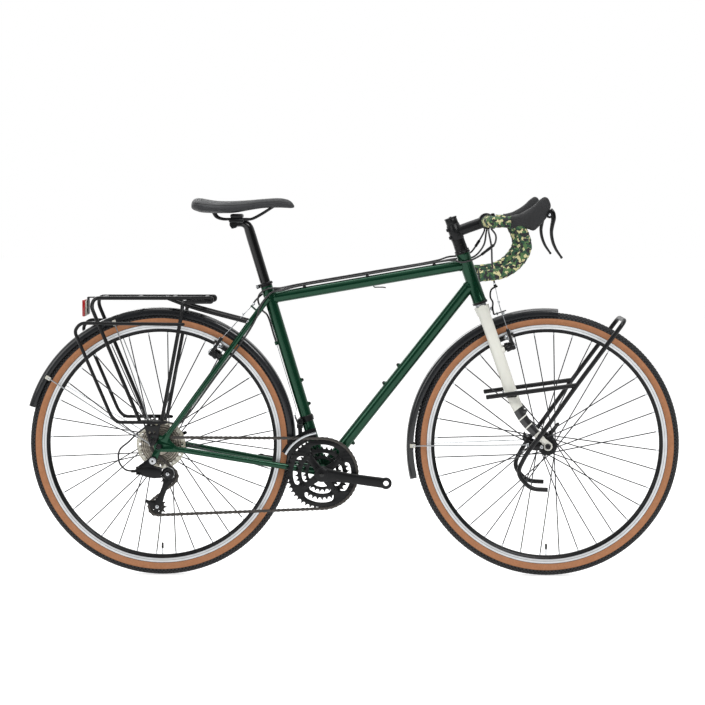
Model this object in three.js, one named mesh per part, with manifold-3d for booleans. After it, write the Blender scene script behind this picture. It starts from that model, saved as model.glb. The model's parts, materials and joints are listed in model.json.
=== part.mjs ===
// A touring bicycle with drop handlebar, triple chainset, cantilever brakes, mudguards and racks.
// Millimetres. Origin at the middle of the bottom bracket, +X forwards, +Z up, drive side at -Y.
import * as THREE from 'three';
import { mergeVertices } from 'three/addons/utils/BufferGeometryUtils.js';
import Module from 'manifold-3d';

const wasm = await Module();
wasm.setup();

// Wheel size, and the gaps round the wheels that set the layout of the frame
const rimSeatRadius = 311;
const tyreHeight = 39;
const tyreRadius = rimSeatRadius + tyreHeight;
const tyreFrameGap = 83.5;
const tyreSpacing = 321;
const tyreCrownGap = 53;

// Layout of the frame
const wheelbase = tyreRadius * 2 + tyreSpacing;
const chainstayLength = tyreRadius + tyreFrameGap;
const bracketDrop = 73;
const headAngle = 70.5;
const seatAngle = 73.2;
const forkRake = 42.4;
const forkLength = tyreRadius + tyreCrownGap;
const lowerCupHeight = 13;
const headTubeLength = 134;
const seatTubeLength = 523.5;
const topTubeSeatDrop = 44;
const topTubeHeadDrop = 30;
const downTubeHeadRise = 56;
const freeGap = 0.35;
const runningGap = 0.8;

// Wheels and tyres
const tyreWidth = 40;
const rimDepth = 14;
const rimWallRise = 6;
const rimWidth = 21;
const spokeRadius = 1.1;
const spokeCount = 36;
const spokeStagger = 4.6;
const spokeCrossing = 6.6;
const spokeShift = 0.68;
const flangeRadius = 22;
const flangeThickness = 7.2;
const hubShellRadius = 13;
const frontFlangeOffset = 34;
const rearFlangeLeft = 35;
const rearFlangeRight = 17;
const axleRadius = 5;
const axleNutRadius = 9;
const frontHubWidth = 100;
const rearHubWidth = 135;
const endThickness = 6;
const axleOverhang = 7;
const leverReach = 60;
const leverThickness = 5;
const leverBarrel = 5.5;
const frontLeverAngle = 54;
const rearLeverAngle = 20;

// Frame tubes
const headTubeRadius = 18;
const headBoreRadius = 15.9;
const steererRadius = 14.3;
const cupRadius = 20.5;
const seatTubeRadius = 15.9;
const seatPostRadius = 13.6;
const seatBoreDepth = 260;
const topTubeRadius = 14.5;
const downTubeRadius = 15.9;
const shellRadius = 20;
const shellWidth = 68;
const shellBoreRadius = 13.4;
const stayRootOffset = 29;
const stayTyreGap = 9.5;
const chainstayHeight = 20;
const chainstayBreadth = 13;
const chainstayTipHeight = 15;
const seatstayRadius = 8;
const seatstayTipRadius = 7;
const seatstayRootOffset = 18;
const seatstayWaist = 38;
const dropoutReach = 46;
const dropoutBossRadius = 15;
const hangerDrop = 38;
const hangerBack = 17;
const hangerRadius = 9;
const collarRadius = 20;
const collarHeight = 11;
const bossRadius = 6;
const bossRise = 3;
const cableRun = 17.5;
const cableGuideLength = 9;

// Fork, stem and handlebar
const bladeTopDepth = 31;
const bladeTopBreadth = 19;
const bladeTipDepth = 15;
const bladeTipBreadth = 13;
const bladeTopOffset = 39;
const bladeStraight = 270;
const crownHeight = 24;
const crownDepth = 34;
const stackHeight = 101;
const stemClampRise = 26;
const stemClampHeight = 43;
const stemReach = 84;
const stemSlope = 12.5;
const stemRadius = 14.5;
const stemClampRadius = 19;
const faceRadius = 21;
const faceWidth = 46;
const barRadius = 13;
const barClampRadius = 15.9;
const barWidth = 420;
const tapeRadius = 16;
const tapeStart = 46;
const hookReach = 92;
const hookDrop = 136;
const hoodRadius = 18;
const hoodReach = 66;
const hoodRise = 60;
const leverLength = 116;
const leverBreadth = 15;
const leverDepth = 9;
const leverPinRadius = 2.2;

// Saddle and post
const postRise = 143;
const postInsertion = 170;
const postSetback = 33;
const postHeadRise = 32;
const clampLength = 42;
const clampHeight = 17;
const railRadius = 3.6;
const railOffset = 22;
const saddleLength = 269;
const saddleWidth = 150;
const saddleDepth = 40;
const saddleRise = 43;
const saddleBack = 118;

// Transmission
const chainPitch = 12.7;
const rollerHalfHeight = 3.9;
const rollerHalfLength = 2.7;
const plateFace = 1.7;
const plateThickness = 1.3;
const toothThickness = 1.8;
const toothRise = 3;
const ringTeeth = [46, 34, 24];
const ringSpacing = 7.6;
const ringLine = 55;
const ringBandWidth = 13;
const cogTeeth = [11, 13, 15, 18, 21, 24, 28, 32];
const cogSpacing = 4.8;
const cogLine = 60;
const carrierRadius = 16.5;
const pulleyTeeth = 11;
const pulleyBore = 3.4;
const pulleyBoltRadius = 2.6;
const protectorRadius = 78;
const protectorThickness = 1.6;
const crankLength = 170;
const crankAngle = -7.6;
const crankBossRadius = 21;
const crankEyeRadius = 13;
const crankWaist = 10.5;
const crankThickness = 13;
const crankInner = 64;
const crankSplay = 8;
const crankLeftInner = 60;
const pedalBoreRadius = 7;
const spindleRadius = 12;
const spiderReach = 82;
const spiderBoltCircle = 52;
const spiderArmWidth = 17;
const spiderThickness = 5;
const spiderCapRadius = 8;
const spiderArmCount = 4;

// Gear mechanisms
const guideDrop = 81;
const guideForward = 24;
const cageLength = 86;
const cageLean = 250;
const cageSwing = 14;
const cageClearance = 4.6;
const cagePlateThickness = 1.6;
const cageEndRadius = 12;
const cageTailReach = 22;
const linkBack = 51;
const linkDrop = 63;
const linkThickness = 11;
const linkHeight = 12;
const linkSwing = 30;
const linkTilt = 25.5;
const knuckleRadius = 15;
const knuckleWidth = 18;
const mountThickness = 6;
const changerBandHeight = 16;
const changerBandThickness = 3;
const changerBandRise = 147;
const changerGap = 4.5;
const changerDepth = 17;
const changerPlateSpan = 11.5;
const changerPlate = 1.8;
const changerArmRise = 27;
const changerArmBack = 12;
const changerPivotRadius = 6;
const changerPivotAngle = 119;
const changerArcAngles = [98, 110, 123, 137, 152];
const changerBridgeAngles = [108, 150];

// Brakes
const brakePostDrop = 33;
const brakePostReach = rimSeatRadius - brakePostDrop;
const padGap = 1.5;
const padThickness = 9;
const padHeight = 11;
const padLength = 52;
const brakeArmThickness = 9;
const brakeArmWidth = 15;
const brakePostOffset = 43;
const brakePostRadius = 5;
const brakeForward = 48;
const brakeBackward = 40;
const brakeHubLength = 24;
const brakeArmRise = 44;
const brakeArmSplay = 22;
const yokeHeight = 9;
const yokeWidth = 14;
const yokeThickness = 4;
const hangerThickness = 5;
const cordRadius = 2.5;
const adjusterRadius = 4;
const stopShare = 0.68;
const stopRise = seatTubeLength * stopShare;
const stopLength = 10;
const lowLaneOffset = 6;
const lowLaneRise = 4.8;
const highLaneRise = 9.4;
const wireRadius = 1.1;

// Mudguards and racks
const rearGuardGap = 6.5;
const rearGuardRadius = tyreRadius + rearGuardGap;
const rearGuardGrowth = 10;
const rearGuardStart = -11;
const rearGuardEnd = 163.8;
const rearGuardSpans = 16;
const frontGuardGap = 10;
const frontGuardRadius = tyreRadius + frontGuardGap;
const frontGuardGrowth = 14;
const frontGuardStart = 85.6;
const frontGuardEnd = 194.3;
const frontGuardSpans = 11;
const guardSideGap = 4;
const guardBossRadius = 4;
const bridgeRadius = 5.6;
const lowBridgeGap = 17;
const lowBridgeReach = tyreRadius + lowBridgeGap;
const highBridgeShare = 0.6168;
const chainBridgeGap = 13.5;
const chainBridgeReach = tyreRadius + chainBridgeGap;
const guardDepth = 17;
const guardThickness = 1.6;
const guardStayRadius = 1.9;
const rackRodRadius = 4.5;
const rackThinRadius = 4;
const rackHalfWidth = 55;
const pannierOffset = 80;
const rackTyreGap = 39;
const rackTop = tyreRadius + rackTyreGap;
const rackRear = 170;
const rackFront = 139;
const spineWidth = 36;
const spineThickness = 3;
const reflectorForward = -199;
const reflectorDrop = 27.5;
const reflectorRise = rackTop - reflectorDrop;
const legOffset = 74;
const footPlateThickness = 4;
const lowRiderOffset = 85;
const reflectorWidth = 86;
const reflectorHeight = 44;
const reflectorDepth = 9;

// Routes on the side view, each point forwards and up from the anchor that its name gives
const rearLegFromRearAxle = [[-176, 367], [-49.5, 64]];
const frontLegFromRearAxle = [[62, 372], [7, 66.5]];
const pannierFromRearAxle = [[66, 321], [-203.5, 324.5], [-220, 303.5], [-125.5, 81], [-109.5, 64], [19, 64]];
const footFromRearAxle = [[-48, 70], [-40, 58], [-24, 0], [-10, 4], [-3, 24], [4, 58], [14, 62], [12, 70]];
const rackStayFromTop = [[16, -1], [86, -25]];
const rackStayOnSeatstay = [-34.7, 4.9];
const lowRiderHoopShares = [0.56, 0.9486];
const lowRiderFromFrontAxle = [[75, 168], [-8, 50], [-59, -17], [-84, -68], [-47, -109], [-2, -111]];
const lowBridgeFromFrontAxle = [-42, 5];
const lowClampFromFrontAxle = [-98, 139];
const lowRailFromFrontAxle = [[-162, 132], [72, 164]];
const lowLugFromFrontAxle = [[-56, 30], [-48, 14], [-21, 4], [-10, 5], [-11, -7], [-30, -11], [-52, -8],
  [-62, 10]];
const rearGuardClipShares = [[-0.8583, 0.5049], [-0.3492, 0.9257]];
const rearGuardEyes = [[-22.7, 5], [-11.2, 22]];
const frontGuardClipShares = [-1.0111, -0.0083];
const frontGuardEye = [-54, 5];
// Hanger strap upwards and forwards from the crown, and the points that the wires pass
const hangerFromCrown = [[-32, 24], [-15, 26.5], [0, 32], [15, 30.5], [33, 40], [36, 58]];
const frontNoseFromCrown = [35.9, 52.3];
const frontYokeFromCrown = [-5.4, 46.1];
const rearNoseFromBridge = [2.5, 21.4];
const rearYokeFromBridge = [-26.5, 26.6];
// Cord routes forwards, sideways and up from the bar centre, then from the seat cluster and the rear axle
const rearShiftFromBar = [[10, -60, -19], [23, -45, -38], [19, -30, -62], [-14, -25, -88], [-40, -22.5, -102],
  [-65, -22.5, -108], [-87, -13, -103]];
const rearBrakeFromBar = [[6, 60, -19], [1, 32, -28], [-6, 15, -63], [-28.5, 20, -92], [-52, 23, -100],
  [-77, 22, -100], [-97, 12, -102]];
const frontShiftFromBar = [[-2, 76, -19], [-5, 42, -29], [-17, 28, -51], [-28, 26, -68], [-40, 29, -83],
  [-60, 31, -92], [-82, 21, -93], [-102, 6, -95]];
const frontBrakeFromBar = [[4, -52, -19], [5, -30, -29], [13, -10, -67], [15, -2, -106], [19, 0, -150]];
const rearBrakeFromCluster = [[26.6, 13, 22], [6.6, 21, 22], [-11.4, 23.5, 17], [-29.4, 14, 4],
  [-42.4, 4, -10]];
const frontShiftFromCluster = [[26.6, -12, 28], [8.6, -21, 28], [-9.4, -24.5, 25], [-27.4, -16, 11],
  [-31.4, -6, -7], [-21.4, 0, -31]];
const rearShiftFromCluster = [[28.6, -13, 21], [10.6, -22, 19], [-2.4, -32.5, 11]];
const changerLoopFromAxle = [[20, -58, 62], [-5, -59, 62], [-25, -59.5, 57], [-43, -59.5, 45], [-62, -60, 30],
  [-80, -66, 12], [-104, -76, -10], [-105, -80, -40], [-88, -80, -61], [-66, -79, -65]];
const hookShares = [[0, 0], [0.52, 0], [0.76, -0.03], [0.86, -0.14], [0.97, -0.31], [1, -0.5],
  [0.76, -0.77], [0.35, -0.95], [-0.27, -1.01]];
const hoodShares = [[0, 0], [0.45, 0.08], [0.85, 0.3], [1.06, 0.66], [1.06, 1]];
const hoodWidthShares = [[0.95, 0.95], [0.9, 1.05], [0.88, 1.15], [0.8, 0.9], [0.55, 0.5]];
const leverShares = [[-0.04, 0.16], [0.1, 0], [0.2, -0.25], [0.24, -0.6], [0.3, -0.95]];
const leverWidthShares = [[0.9, 1.5], [1, 1.3], [1, 0.9], [0.95, 0.8], [0.6, 0.6]];
// Saddle stations: distance from the tail, half width, top and underside, all as shares
const saddleShares = [[0, 0.36, 0.66, 0.5], [0.03, 0.66, 0.9, 0.3], [0.1, 0.95, 1, 0.14], [0.2, 1, 0.86,
  0.04],
  [0.32, 0.78, 0.78, 0], [0.45, 0.5, 0.8, 0.08], [0.6, 0.34, 0.88, 0.22], [0.75, 0.27, 0.96, 0.36],
  [0.88, 0.25, 0.98, 0.44], [0.96, 0.2, 0.84, 0.42], [1, 0.1, 0.62, 0.5]];
const saddleRingShares = [[0, 1], [0.55, 0.97], [0.88, 0.78], [1, 0.45], [0.93, 0.12], [0.6, 0]];
const railShares = [[-1.02, 0.98, 1.6], [-0.86, 0.2, 1.2], [-0.6, -0.1, 1], [0.6, -0.1, 1], [1.02, 0.5,
  0.8], [1.5, 1.4, 0.45],
  [1.75, 1.85, 0.35]];

// Places along the tubes: bosses, guides, cord lanes and the cross bars of the rear platform
const seatTubeBossShares = [0.475, 0.35];
const downTubeBossShares = [[0.54, 1], [0.445, 1], [0.17, -1]];
const guideShares = [0.18, 0.5, 0.84];
const laneShares = [0.86, 0.5, 0.14];
const crossBarShares = [0.14, 0.42, 0.7, 0.96];

// Detail of the facets
const frameSides = 8;
const rodSides = 6;
const cordSides = 4;
const rackSides = 5;
const wheelSides = 36;
const hubSides = 9;
const discSides = 12;

const fullTurn = 360;
const degree = 2 * Math.PI / fullTurn;
const sideAxis = new THREE.Vector3(0, 1, 0);
const upAxis = new THREE.Vector3(0, 0, 1);
const foreAxis = new THREE.Vector3(1, 0, 0);
const at = (x, y, z) => new THREE.Vector3(x, y, z);
const along = (start, direction, distance) => start.clone().addScaledVector(direction, distance);
const between = (a, b, share) => a.clone().lerp(b, share);

// Joins and cuts of closed meshes
const toSolid = (geometry) => {
  const bare = geometry.clone();
  bare.deleteAttribute('normal');
  bare.deleteAttribute('uv');
  const merged = mergeVertices(bare, freeGap / 1000);
  return new wasm.Manifold(new wasm.Mesh({
    numProp: 3,
    vertProperties: new Float32Array(merged.attributes.position.array),
    triVerts: new Uint32Array(merged.index.array)
  }));
};
const toGeometry = (solid) => {
  const mesh = solid.getMesh();
  const geometry = new THREE.BufferGeometry();
  geometry.setAttribute('position', new THREE.BufferAttribute(new Float32Array(mesh.vertProperties), 3));
  geometry.setIndex(new THREE.BufferAttribute(new Uint32Array(mesh.triVerts), 1));
  return geometry;
};
const join = (...pieces) => toGeometry(pieces.map(toSolid).reduce((sum, piece) => sum.add(piece)));
const cut = (piece, ...tools) => toGeometry(tools.map(toSolid)
  .reduce((left, tool) => left.subtract(tool), toSolid(piece)));

// A closed skin through rings of equal count; the ends are capped, or the last ring meets the first
const skin = (rings, flat, closed = false) => {
  const count = rings[0].length;
  const positions = rings.flatMap((ring) => ring.flatMap((point) => [point.x, point.y, point.z]));
  const faces = [];
  const spans = closed ? rings.length : rings.length - 1;
  for (let i = 0; i < spans; i += 1) {
    const next = (i + 1) % rings.length;
    for (let j = 0; j < count; j += 1) {
      const k = (j + 1) % count;
      faces.push([i * count + j, next * count + j, next * count + k]);
      faces.push([i * count + j, next * count + k, i * count + k]);
    }
  }
  if (!closed) {
    const last = (rings.length - 1) * count;
    const corners = flat.map(([a, b]) => new THREE.Vector2(a, b));
    if (THREE.ShapeUtils.area(corners) < 0) {
      for (const face of faces) face.reverse();
    }
    for (const cap of THREE.ShapeUtils.triangulateShape(corners, [])) {
      const [a, b, c] = THREE.ShapeUtils.area(cap.map((index) => corners[index])) > 0 ? cap : cap.slice()
        .reverse();
      faces.push([a, b, c], [last + a, last + c, last + b]);
    }
  }
  let volume = 0;
  const corner = (index) => at(positions[index * 3], positions[index * 3 + 1], positions[index * 3 + 2]);
  for (const [a, b, c] of faces) volume += corner(a).dot(corner(b).cross(corner(c)));
  if (volume < 0) {
    for (const face of faces) face.reverse();
  }
  const geometry = new THREE.BufferGeometry();
  geometry.setAttribute('position', new THREE.Float32BufferAttribute(positions, 3));
  geometry.setIndex(faces.flat());
  return geometry;
};
const circle = (sides, phase = 0) => Array.from({ length: sides }, (_, i) => {
  const angle = (i + phase) * 2 * Math.PI / sides;
  return [Math.cos(angle), Math.sin(angle)];
});
const boxSection = [[-1, -1], [1, -1], [1, 1], [-1, 1]];

// A section carried along a path; widths are half sizes sideways and across at each station
const sweep = (path, section, widths, sideways = sideAxis) => {
  const rings = [];
  let side = sideways.clone();
  path.forEach((point, i) => {
    const before = path[Math.max(i - 1, 0)];
    const after = path[Math.min(i + 1, path.length - 1)];
    const ahead = after.clone().sub(before).normalize();
    side = side.clone().addScaledVector(ahead, -side.dot(ahead)).normalize();
    const across = ahead.clone().cross(side);
    const [breadth, depth] = typeof widths === 'number' ? [widths, widths] : widths(i / (path.length - 1));
    rings.push(section.map(([a, b]) => point.clone().addScaledVector(side, a * breadth)
      .addScaledVector(across, b * depth)));
  });
  return skin(rings, section);
};
const rod = (path, radius, sides = rodSides, sideways = sideAxis) => sweep(path, circle(sides, 1 / 2),
  radius, sideways);
const mix = (from, to) => (share) => from.map((value, i) => value + (to[i] - value) * share);
const stops = (table, breadth, depth) => (share) => {
  const place = share * (table.length - 1);
  const low = Math.min(Math.floor(place), table.length - 2);
  const part = place - low;
  return [breadth, depth].map((size, i) => size * (table[low][i] + (table[low + 1][i] - table[low][i])
    * part));
};
const smooth = (points, count) => new THREE.CatmullRomCurve3(points, false, 'centripetal').getPoints(count);

// Rounded corners on a path of straight runs
const rounded = (points, radius, steps = 2) => {
  const path = [points[0]];
  for (let i = 1; i < points.length - 1; i += 1) {
    const back = points[i - 1].clone().sub(points[i]);
    const ahead = points[i + 1].clone().sub(points[i]);
    const reach = Math.min(radius, back.length() / 2.2, ahead.length() / 2.2);
    const start = along(points[i], back.normalize(), reach);
    const end = along(points[i], ahead.normalize(), reach);
    for (let step = 0; step <= steps; step += 1) {
      const share = step / steps;
      path.push(between(between(start, points[i], share), between(points[i], end, share), share));
    }
  }
  path.push(points[points.length - 1]);
  return path;
};

// Turned pieces about an axis through a centre: stations are [distance along the axis, radius]
const turned = (centre, axis, stations, sides = hubSides) => {
  const side = Math.abs(axis.z) > 0.9 ? foreAxis.clone() : upAxis.clone();
  side.addScaledVector(axis, -side.dot(axis)).normalize();
  const across = axis.clone().cross(side);
  const section = circle(sides);
  const rings = stations.map(([distance, radius]) => section.map(([a, b]) => along(centre, axis, distance)
    .addScaledVector(side, a * radius).addScaledVector(across, b * radius)));
  return skin(rings, section);
};
// A ring turned about the side axis: profile is a closed loop of [radius, side]
const ringOf = (centre, profile, sides, axis = sideAxis) => {
  const side = Math.abs(axis.z) > 0.9 ? foreAxis.clone() : upAxis.clone();
  side.addScaledVector(axis, -side.dot(axis)).normalize();
  const across = axis.clone().cross(side);
  const rings = circle(sides).map(([a, b]) => profile.map(([radius, distance]) =>
    along(centre, axis, distance)
    .addScaledVector(side, a * radius).addScaledVector(across, b * radius)));
  return skin(rings, profile, true);
};
// A flat plate seen from the side: outline points are [x, z], its middle plane is at y
const plate = (outline, y, thickness, holes = []) => {
  const shape = new THREE.Shape(outline.map(([x, z]) => new THREE.Vector2(x, z)));
  holes.forEach((hole) => shape.holes.push(new THREE.Path(hole.map(([x, z]) => new THREE.Vector2(x, z)))));
  const geometry = new THREE.ExtrudeGeometry(shape, { depth: thickness, bevelEnabled: false, steps: 1 });
  geometry.rotateX(Math.PI / 2);
  geometry.translate(0, y + thickness / 2, 0);
  return geometry;
};
const disc = (x, z, radius, sides = discSides, phase = 0) => circle(sides, phase)
  .map(([a, b]) => [x + a * radius, z + b * radius]);
// A straight flat arm with two rounded ends of given radii
const armOutline = (a, b, radiusA, radiusB, sides = 3) => {
  const angle = Math.atan2(b.z - a.z, b.x - a.x);
  const outline = [];
  for (let i = 0; i <= sides; i += 1) {
    const turn = angle - Math.PI / 2 + i * Math.PI / sides;
    outline.push([b.x + Math.cos(turn) * radiusB, b.z + Math.sin(turn) * radiusB]);
  }
  for (let i = 0; i <= sides; i += 1) {
    const turn = angle + Math.PI / 2 + i * Math.PI / sides;
    outline.push([a.x + Math.cos(turn) * radiusA, a.z + Math.sin(turn) * radiusA]);
  }
  return outline;
};
const block = (centre, x, y, z, turn = 0) => {
  const geometry = new THREE.BoxGeometry(x, y, z);
  geometry.rotateY(-turn);
  geometry.translate(centre.x, centre.y, centre.z);
  return geometry;
};

const bike = new THREE.Group();
const finishes = {
  green: [0x0c3b27, 0.3, 0.1], cream: [0xe4e4d8, 0.35, 0], black: [0x17181a, 0.45, 0.2],
    satin: [0x202226, 0.5, 0.4],
  rubber: [0x1b1b1c, 0.85, 0], tyre: [0xb9784f, 0.85, 0], silver: [0xb9bcc0, 0.35, 0.9],
    steel: [0x8b8d90, 0.4, 0.9],
  tape: [0x4d5a35, 0.8, 0], saddle: [0x2b2c2f, 0.7, 0], red: [0xb01818, 0.25, 0], ivory: [0xdcdcc6, 0.5, 0]
};
const add = (name, geometry, finish) => {
  const [color, roughness, metalness] = finishes[finish];
  const mesh = new THREE.Mesh(geometry, new THREE.MeshStandardMaterial({ color, roughness, metalness }));
  mesh.name = name;
  bike.add(mesh);
};

// Anchors
const bracket = at(0, 0, 0);
const rearAxle = at(-Math.sqrt(chainstayLength ** 2 - bracketDrop ** 2), 0, bracketDrop);
const frontAxle = at(rearAxle.x + wheelbase, 0, bracketDrop);
const steerUp = at(-Math.cos(headAngle * degree), 0, Math.sin(headAngle * degree));
const steerFore = at(Math.sin(headAngle * degree), 0, Math.cos(headAngle * degree));
const seatUp = at(-Math.cos(seatAngle * degree), 0, Math.sin(seatAngle * degree));
const seatFore = at(Math.sin(seatAngle * degree), 0, Math.cos(seatAngle * degree));
const forkTop = along(along(frontAxle, steerFore, -forkRake), steerUp, forkLength);
const headFoot = along(forkTop, steerUp, lowerCupHeight);
const onHead = (rise, fore = 0, side = 0) => along(along(along(headFoot, steerUp, rise), steerFore,
  fore), sideAxis, side);
const onSeat = (rise, fore = 0, side = 0) => along(along(along(bracket, seatUp, rise), seatFore, fore),
  sideAxis, side);
const fromRear = ([x, z], side = 0) => at(rearAxle.x + x, side, rearAxle.z + z);
const fromFront = ([x, z], side = 0) => at(frontAxle.x + x, side, frontAxle.z + z);
const sides = [['right', -1], ['left', 1]];

// Frame tubes
const headTube = ringOf(headFoot, [[headBoreRadius, -lowerCupHeight / 2], [cupRadius, -lowerCupHeight / 2],
  [cupRadius, 0], [headTubeRadius, 0], [headTubeRadius, headTubeLength], [cupRadius, headTubeLength],
  [cupRadius, headTubeLength + lowerCupHeight / 2], [headBoreRadius, headTubeLength + lowerCupHeight / 2]],
  frameSides, steerUp);
add('head_tube', headTube, 'green');

const clearOf = (start, axis, length, radius, sidesCount = frameSides) =>
  turned(start, axis, [[0, radius + freeGap], [length, radius + freeGap]], sidesCount);
const seatTubeSolid = turned(bracket, seatUp, [[0, seatTubeRadius],
  [seatTubeLength - collarHeight, seatTubeRadius],
  [seatTubeLength - collarHeight, collarRadius], [seatTubeLength, collarRadius]], frameSides);
const collarEar = block(onSeat(seatTubeLength - collarHeight / 2, -collarRadius), collarHeight,
  collarHeight, collarHeight);
const shellClear = turned(at(0, -shellWidth, 0), sideAxis, [[0, shellRadius + freeGap],
  [shellWidth * 2, shellRadius + freeGap]], discSides);
const seatTubeBosses = seatTubeBossShares.map((share) => turned(onSeat(seatTubeLength * share), seatFore,
  [[0, bossRadius], [seatTubeRadius + bossRise, bossRadius]], rodSides));
const cordBehind = seatTubeRadius + cordRadius + freeGap;
const cordStop = turned(onSeat(stopRise, -cordBehind), seatUp, [[0, cordRadius * 2],
  [stopLength, cordRadius * 2]], rodSides);
const cordHole = turned(onSeat(stopRise - stopLength, -cordBehind), seatUp, [[0, cordRadius + freeGap],
  [stopLength * 3, cordRadius + freeGap]], cordSides);
add('seat_tube', cut(join(seatTubeSolid, collarEar, ...seatTubeBosses, cordStop), cordHole,
  turned(onSeat(seatTubeLength - seatBoreDepth), seatUp, [[0, seatPostRadius + freeGap],
    [seatBoreDepth * 2, seatPostRadius + freeGap]], frameSides), shellClear), 'green');

const topTubeSeat = onSeat(seatTubeLength - topTubeSeatDrop);
const topTubeHead = onHead(headTubeLength - topTubeHeadDrop);
const topTubeDirection = topTubeHead.clone().sub(topTubeSeat).normalize();
const topTubeOver = topTubeDirection.clone().cross(sideAxis);
const topTubeLength = topTubeHead.distanceTo(topTubeSeat);
const topTubeGuides = guideShares.map((share) => block(along(along(topTubeSeat, topTubeDirection,
  topTubeLength * share), topTubeOver, topTubeRadius), cableGuideLength, cableRun, bossRise,
Math.atan2(topTubeDirection.z, topTubeDirection.x)));
const headClear = clearOf(onHead(-headTubeLength), steerUp, headTubeLength * 3, headTubeRadius);
const seatClear = clearOf(bracket, seatUp, seatTubeLength, seatTubeRadius);
add('top_tube', cut(join(turned(topTubeSeat, topTubeDirection, [[0, topTubeRadius],
  [topTubeLength, topTubeRadius]],
  frameSides), ...topTubeGuides), headClear, seatClear), 'green');

const downTubeHead = onHead(downTubeHeadRise);
const downTubeDirection = downTubeHead.clone().normalize();
const downTubeOver = at(-downTubeDirection.z, 0, downTubeDirection.x);
const downTubeLength = downTubeHead.length();
const downTubeBosses = downTubeBossShares.map(([share, face]) => turned(along(bracket,
  downTubeDirection, downTubeLength * share), downTubeOver.clone().multiplyScalar(face),
[[0, bossRadius], [downTubeRadius + bossRise, bossRadius]], rodSides));
add('down_tube', cut(join(turned(bracket, downTubeDirection, [[0, downTubeRadius],
  [downTubeLength, downTubeRadius]],
  frameSides), ...downTubeBosses), headClear, seatClear, shellClear), 'green');
add('bracket_shell', ringOf(bracket, [[shellBoreRadius, -shellWidth / 2], [shellRadius, -shellWidth / 2],
  [shellRadius, shellWidth / 2], [shellBoreRadius, shellWidth / 2]], discSides), 'green');

// Stays with their dropouts
const rearEnd = rearHubWidth / 2;
const seatCluster = onSeat(seatTubeLength - topTubeSeatDrop, -seatTubeRadius / 2);
const chainRoot = bracket.clone();
const stayTip = (target, reach) => along(rearAxle, target.clone().sub(rearAxle).setY(0).normalize(), reach);
const chainTip = stayTip(chainRoot, dropoutReach);
const seatTip = stayTip(seatCluster, dropoutReach * 0.8);
const staySide = rearEnd + endThickness / 2 - chainstayBreadth / 6;
const tyreSide = tyreWidth / 2 + stayTyreGap + chainstayBreadth / 2;
const stayUp = seatTip.clone().sub(rearAxle).normalize();
const highBridgeReach = lowBridgeReach + (seatCluster.distanceTo(rearAxle) - lowBridgeReach)
  * highBridgeShare;
const stayOver = at(-stayUp.z, 0, stayUp.x);
const stayTable = [[0, staySide], [0.32, staySide * 0.9], [0.72, seatstayWaist], [0.86, seatstayWaist * 0.84],
  [0.96, seatstayRootOffset + seatstayRadius / 2], [1.01, seatstayRootOffset + seatstayRadius / 4]];
const sideAt = (share) => {
  const next = Math.max(stayTable.findIndex(([stop]) => stop >= share), 1);
  const [low, from] = stayTable[next - 1];
  const [high, to] = stayTable[next];
  return from + (to - from) * (share - low) / (high - low);
};
const shareAt = (reach) => (reach - seatTip.distanceTo(rearAxle)) / seatTip.distanceTo(seatCluster);
const onStay = (share, over, side) => along(between(seatTip, seatCluster, share), stayOver, over).setY(side);
const stayClears = [];
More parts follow.
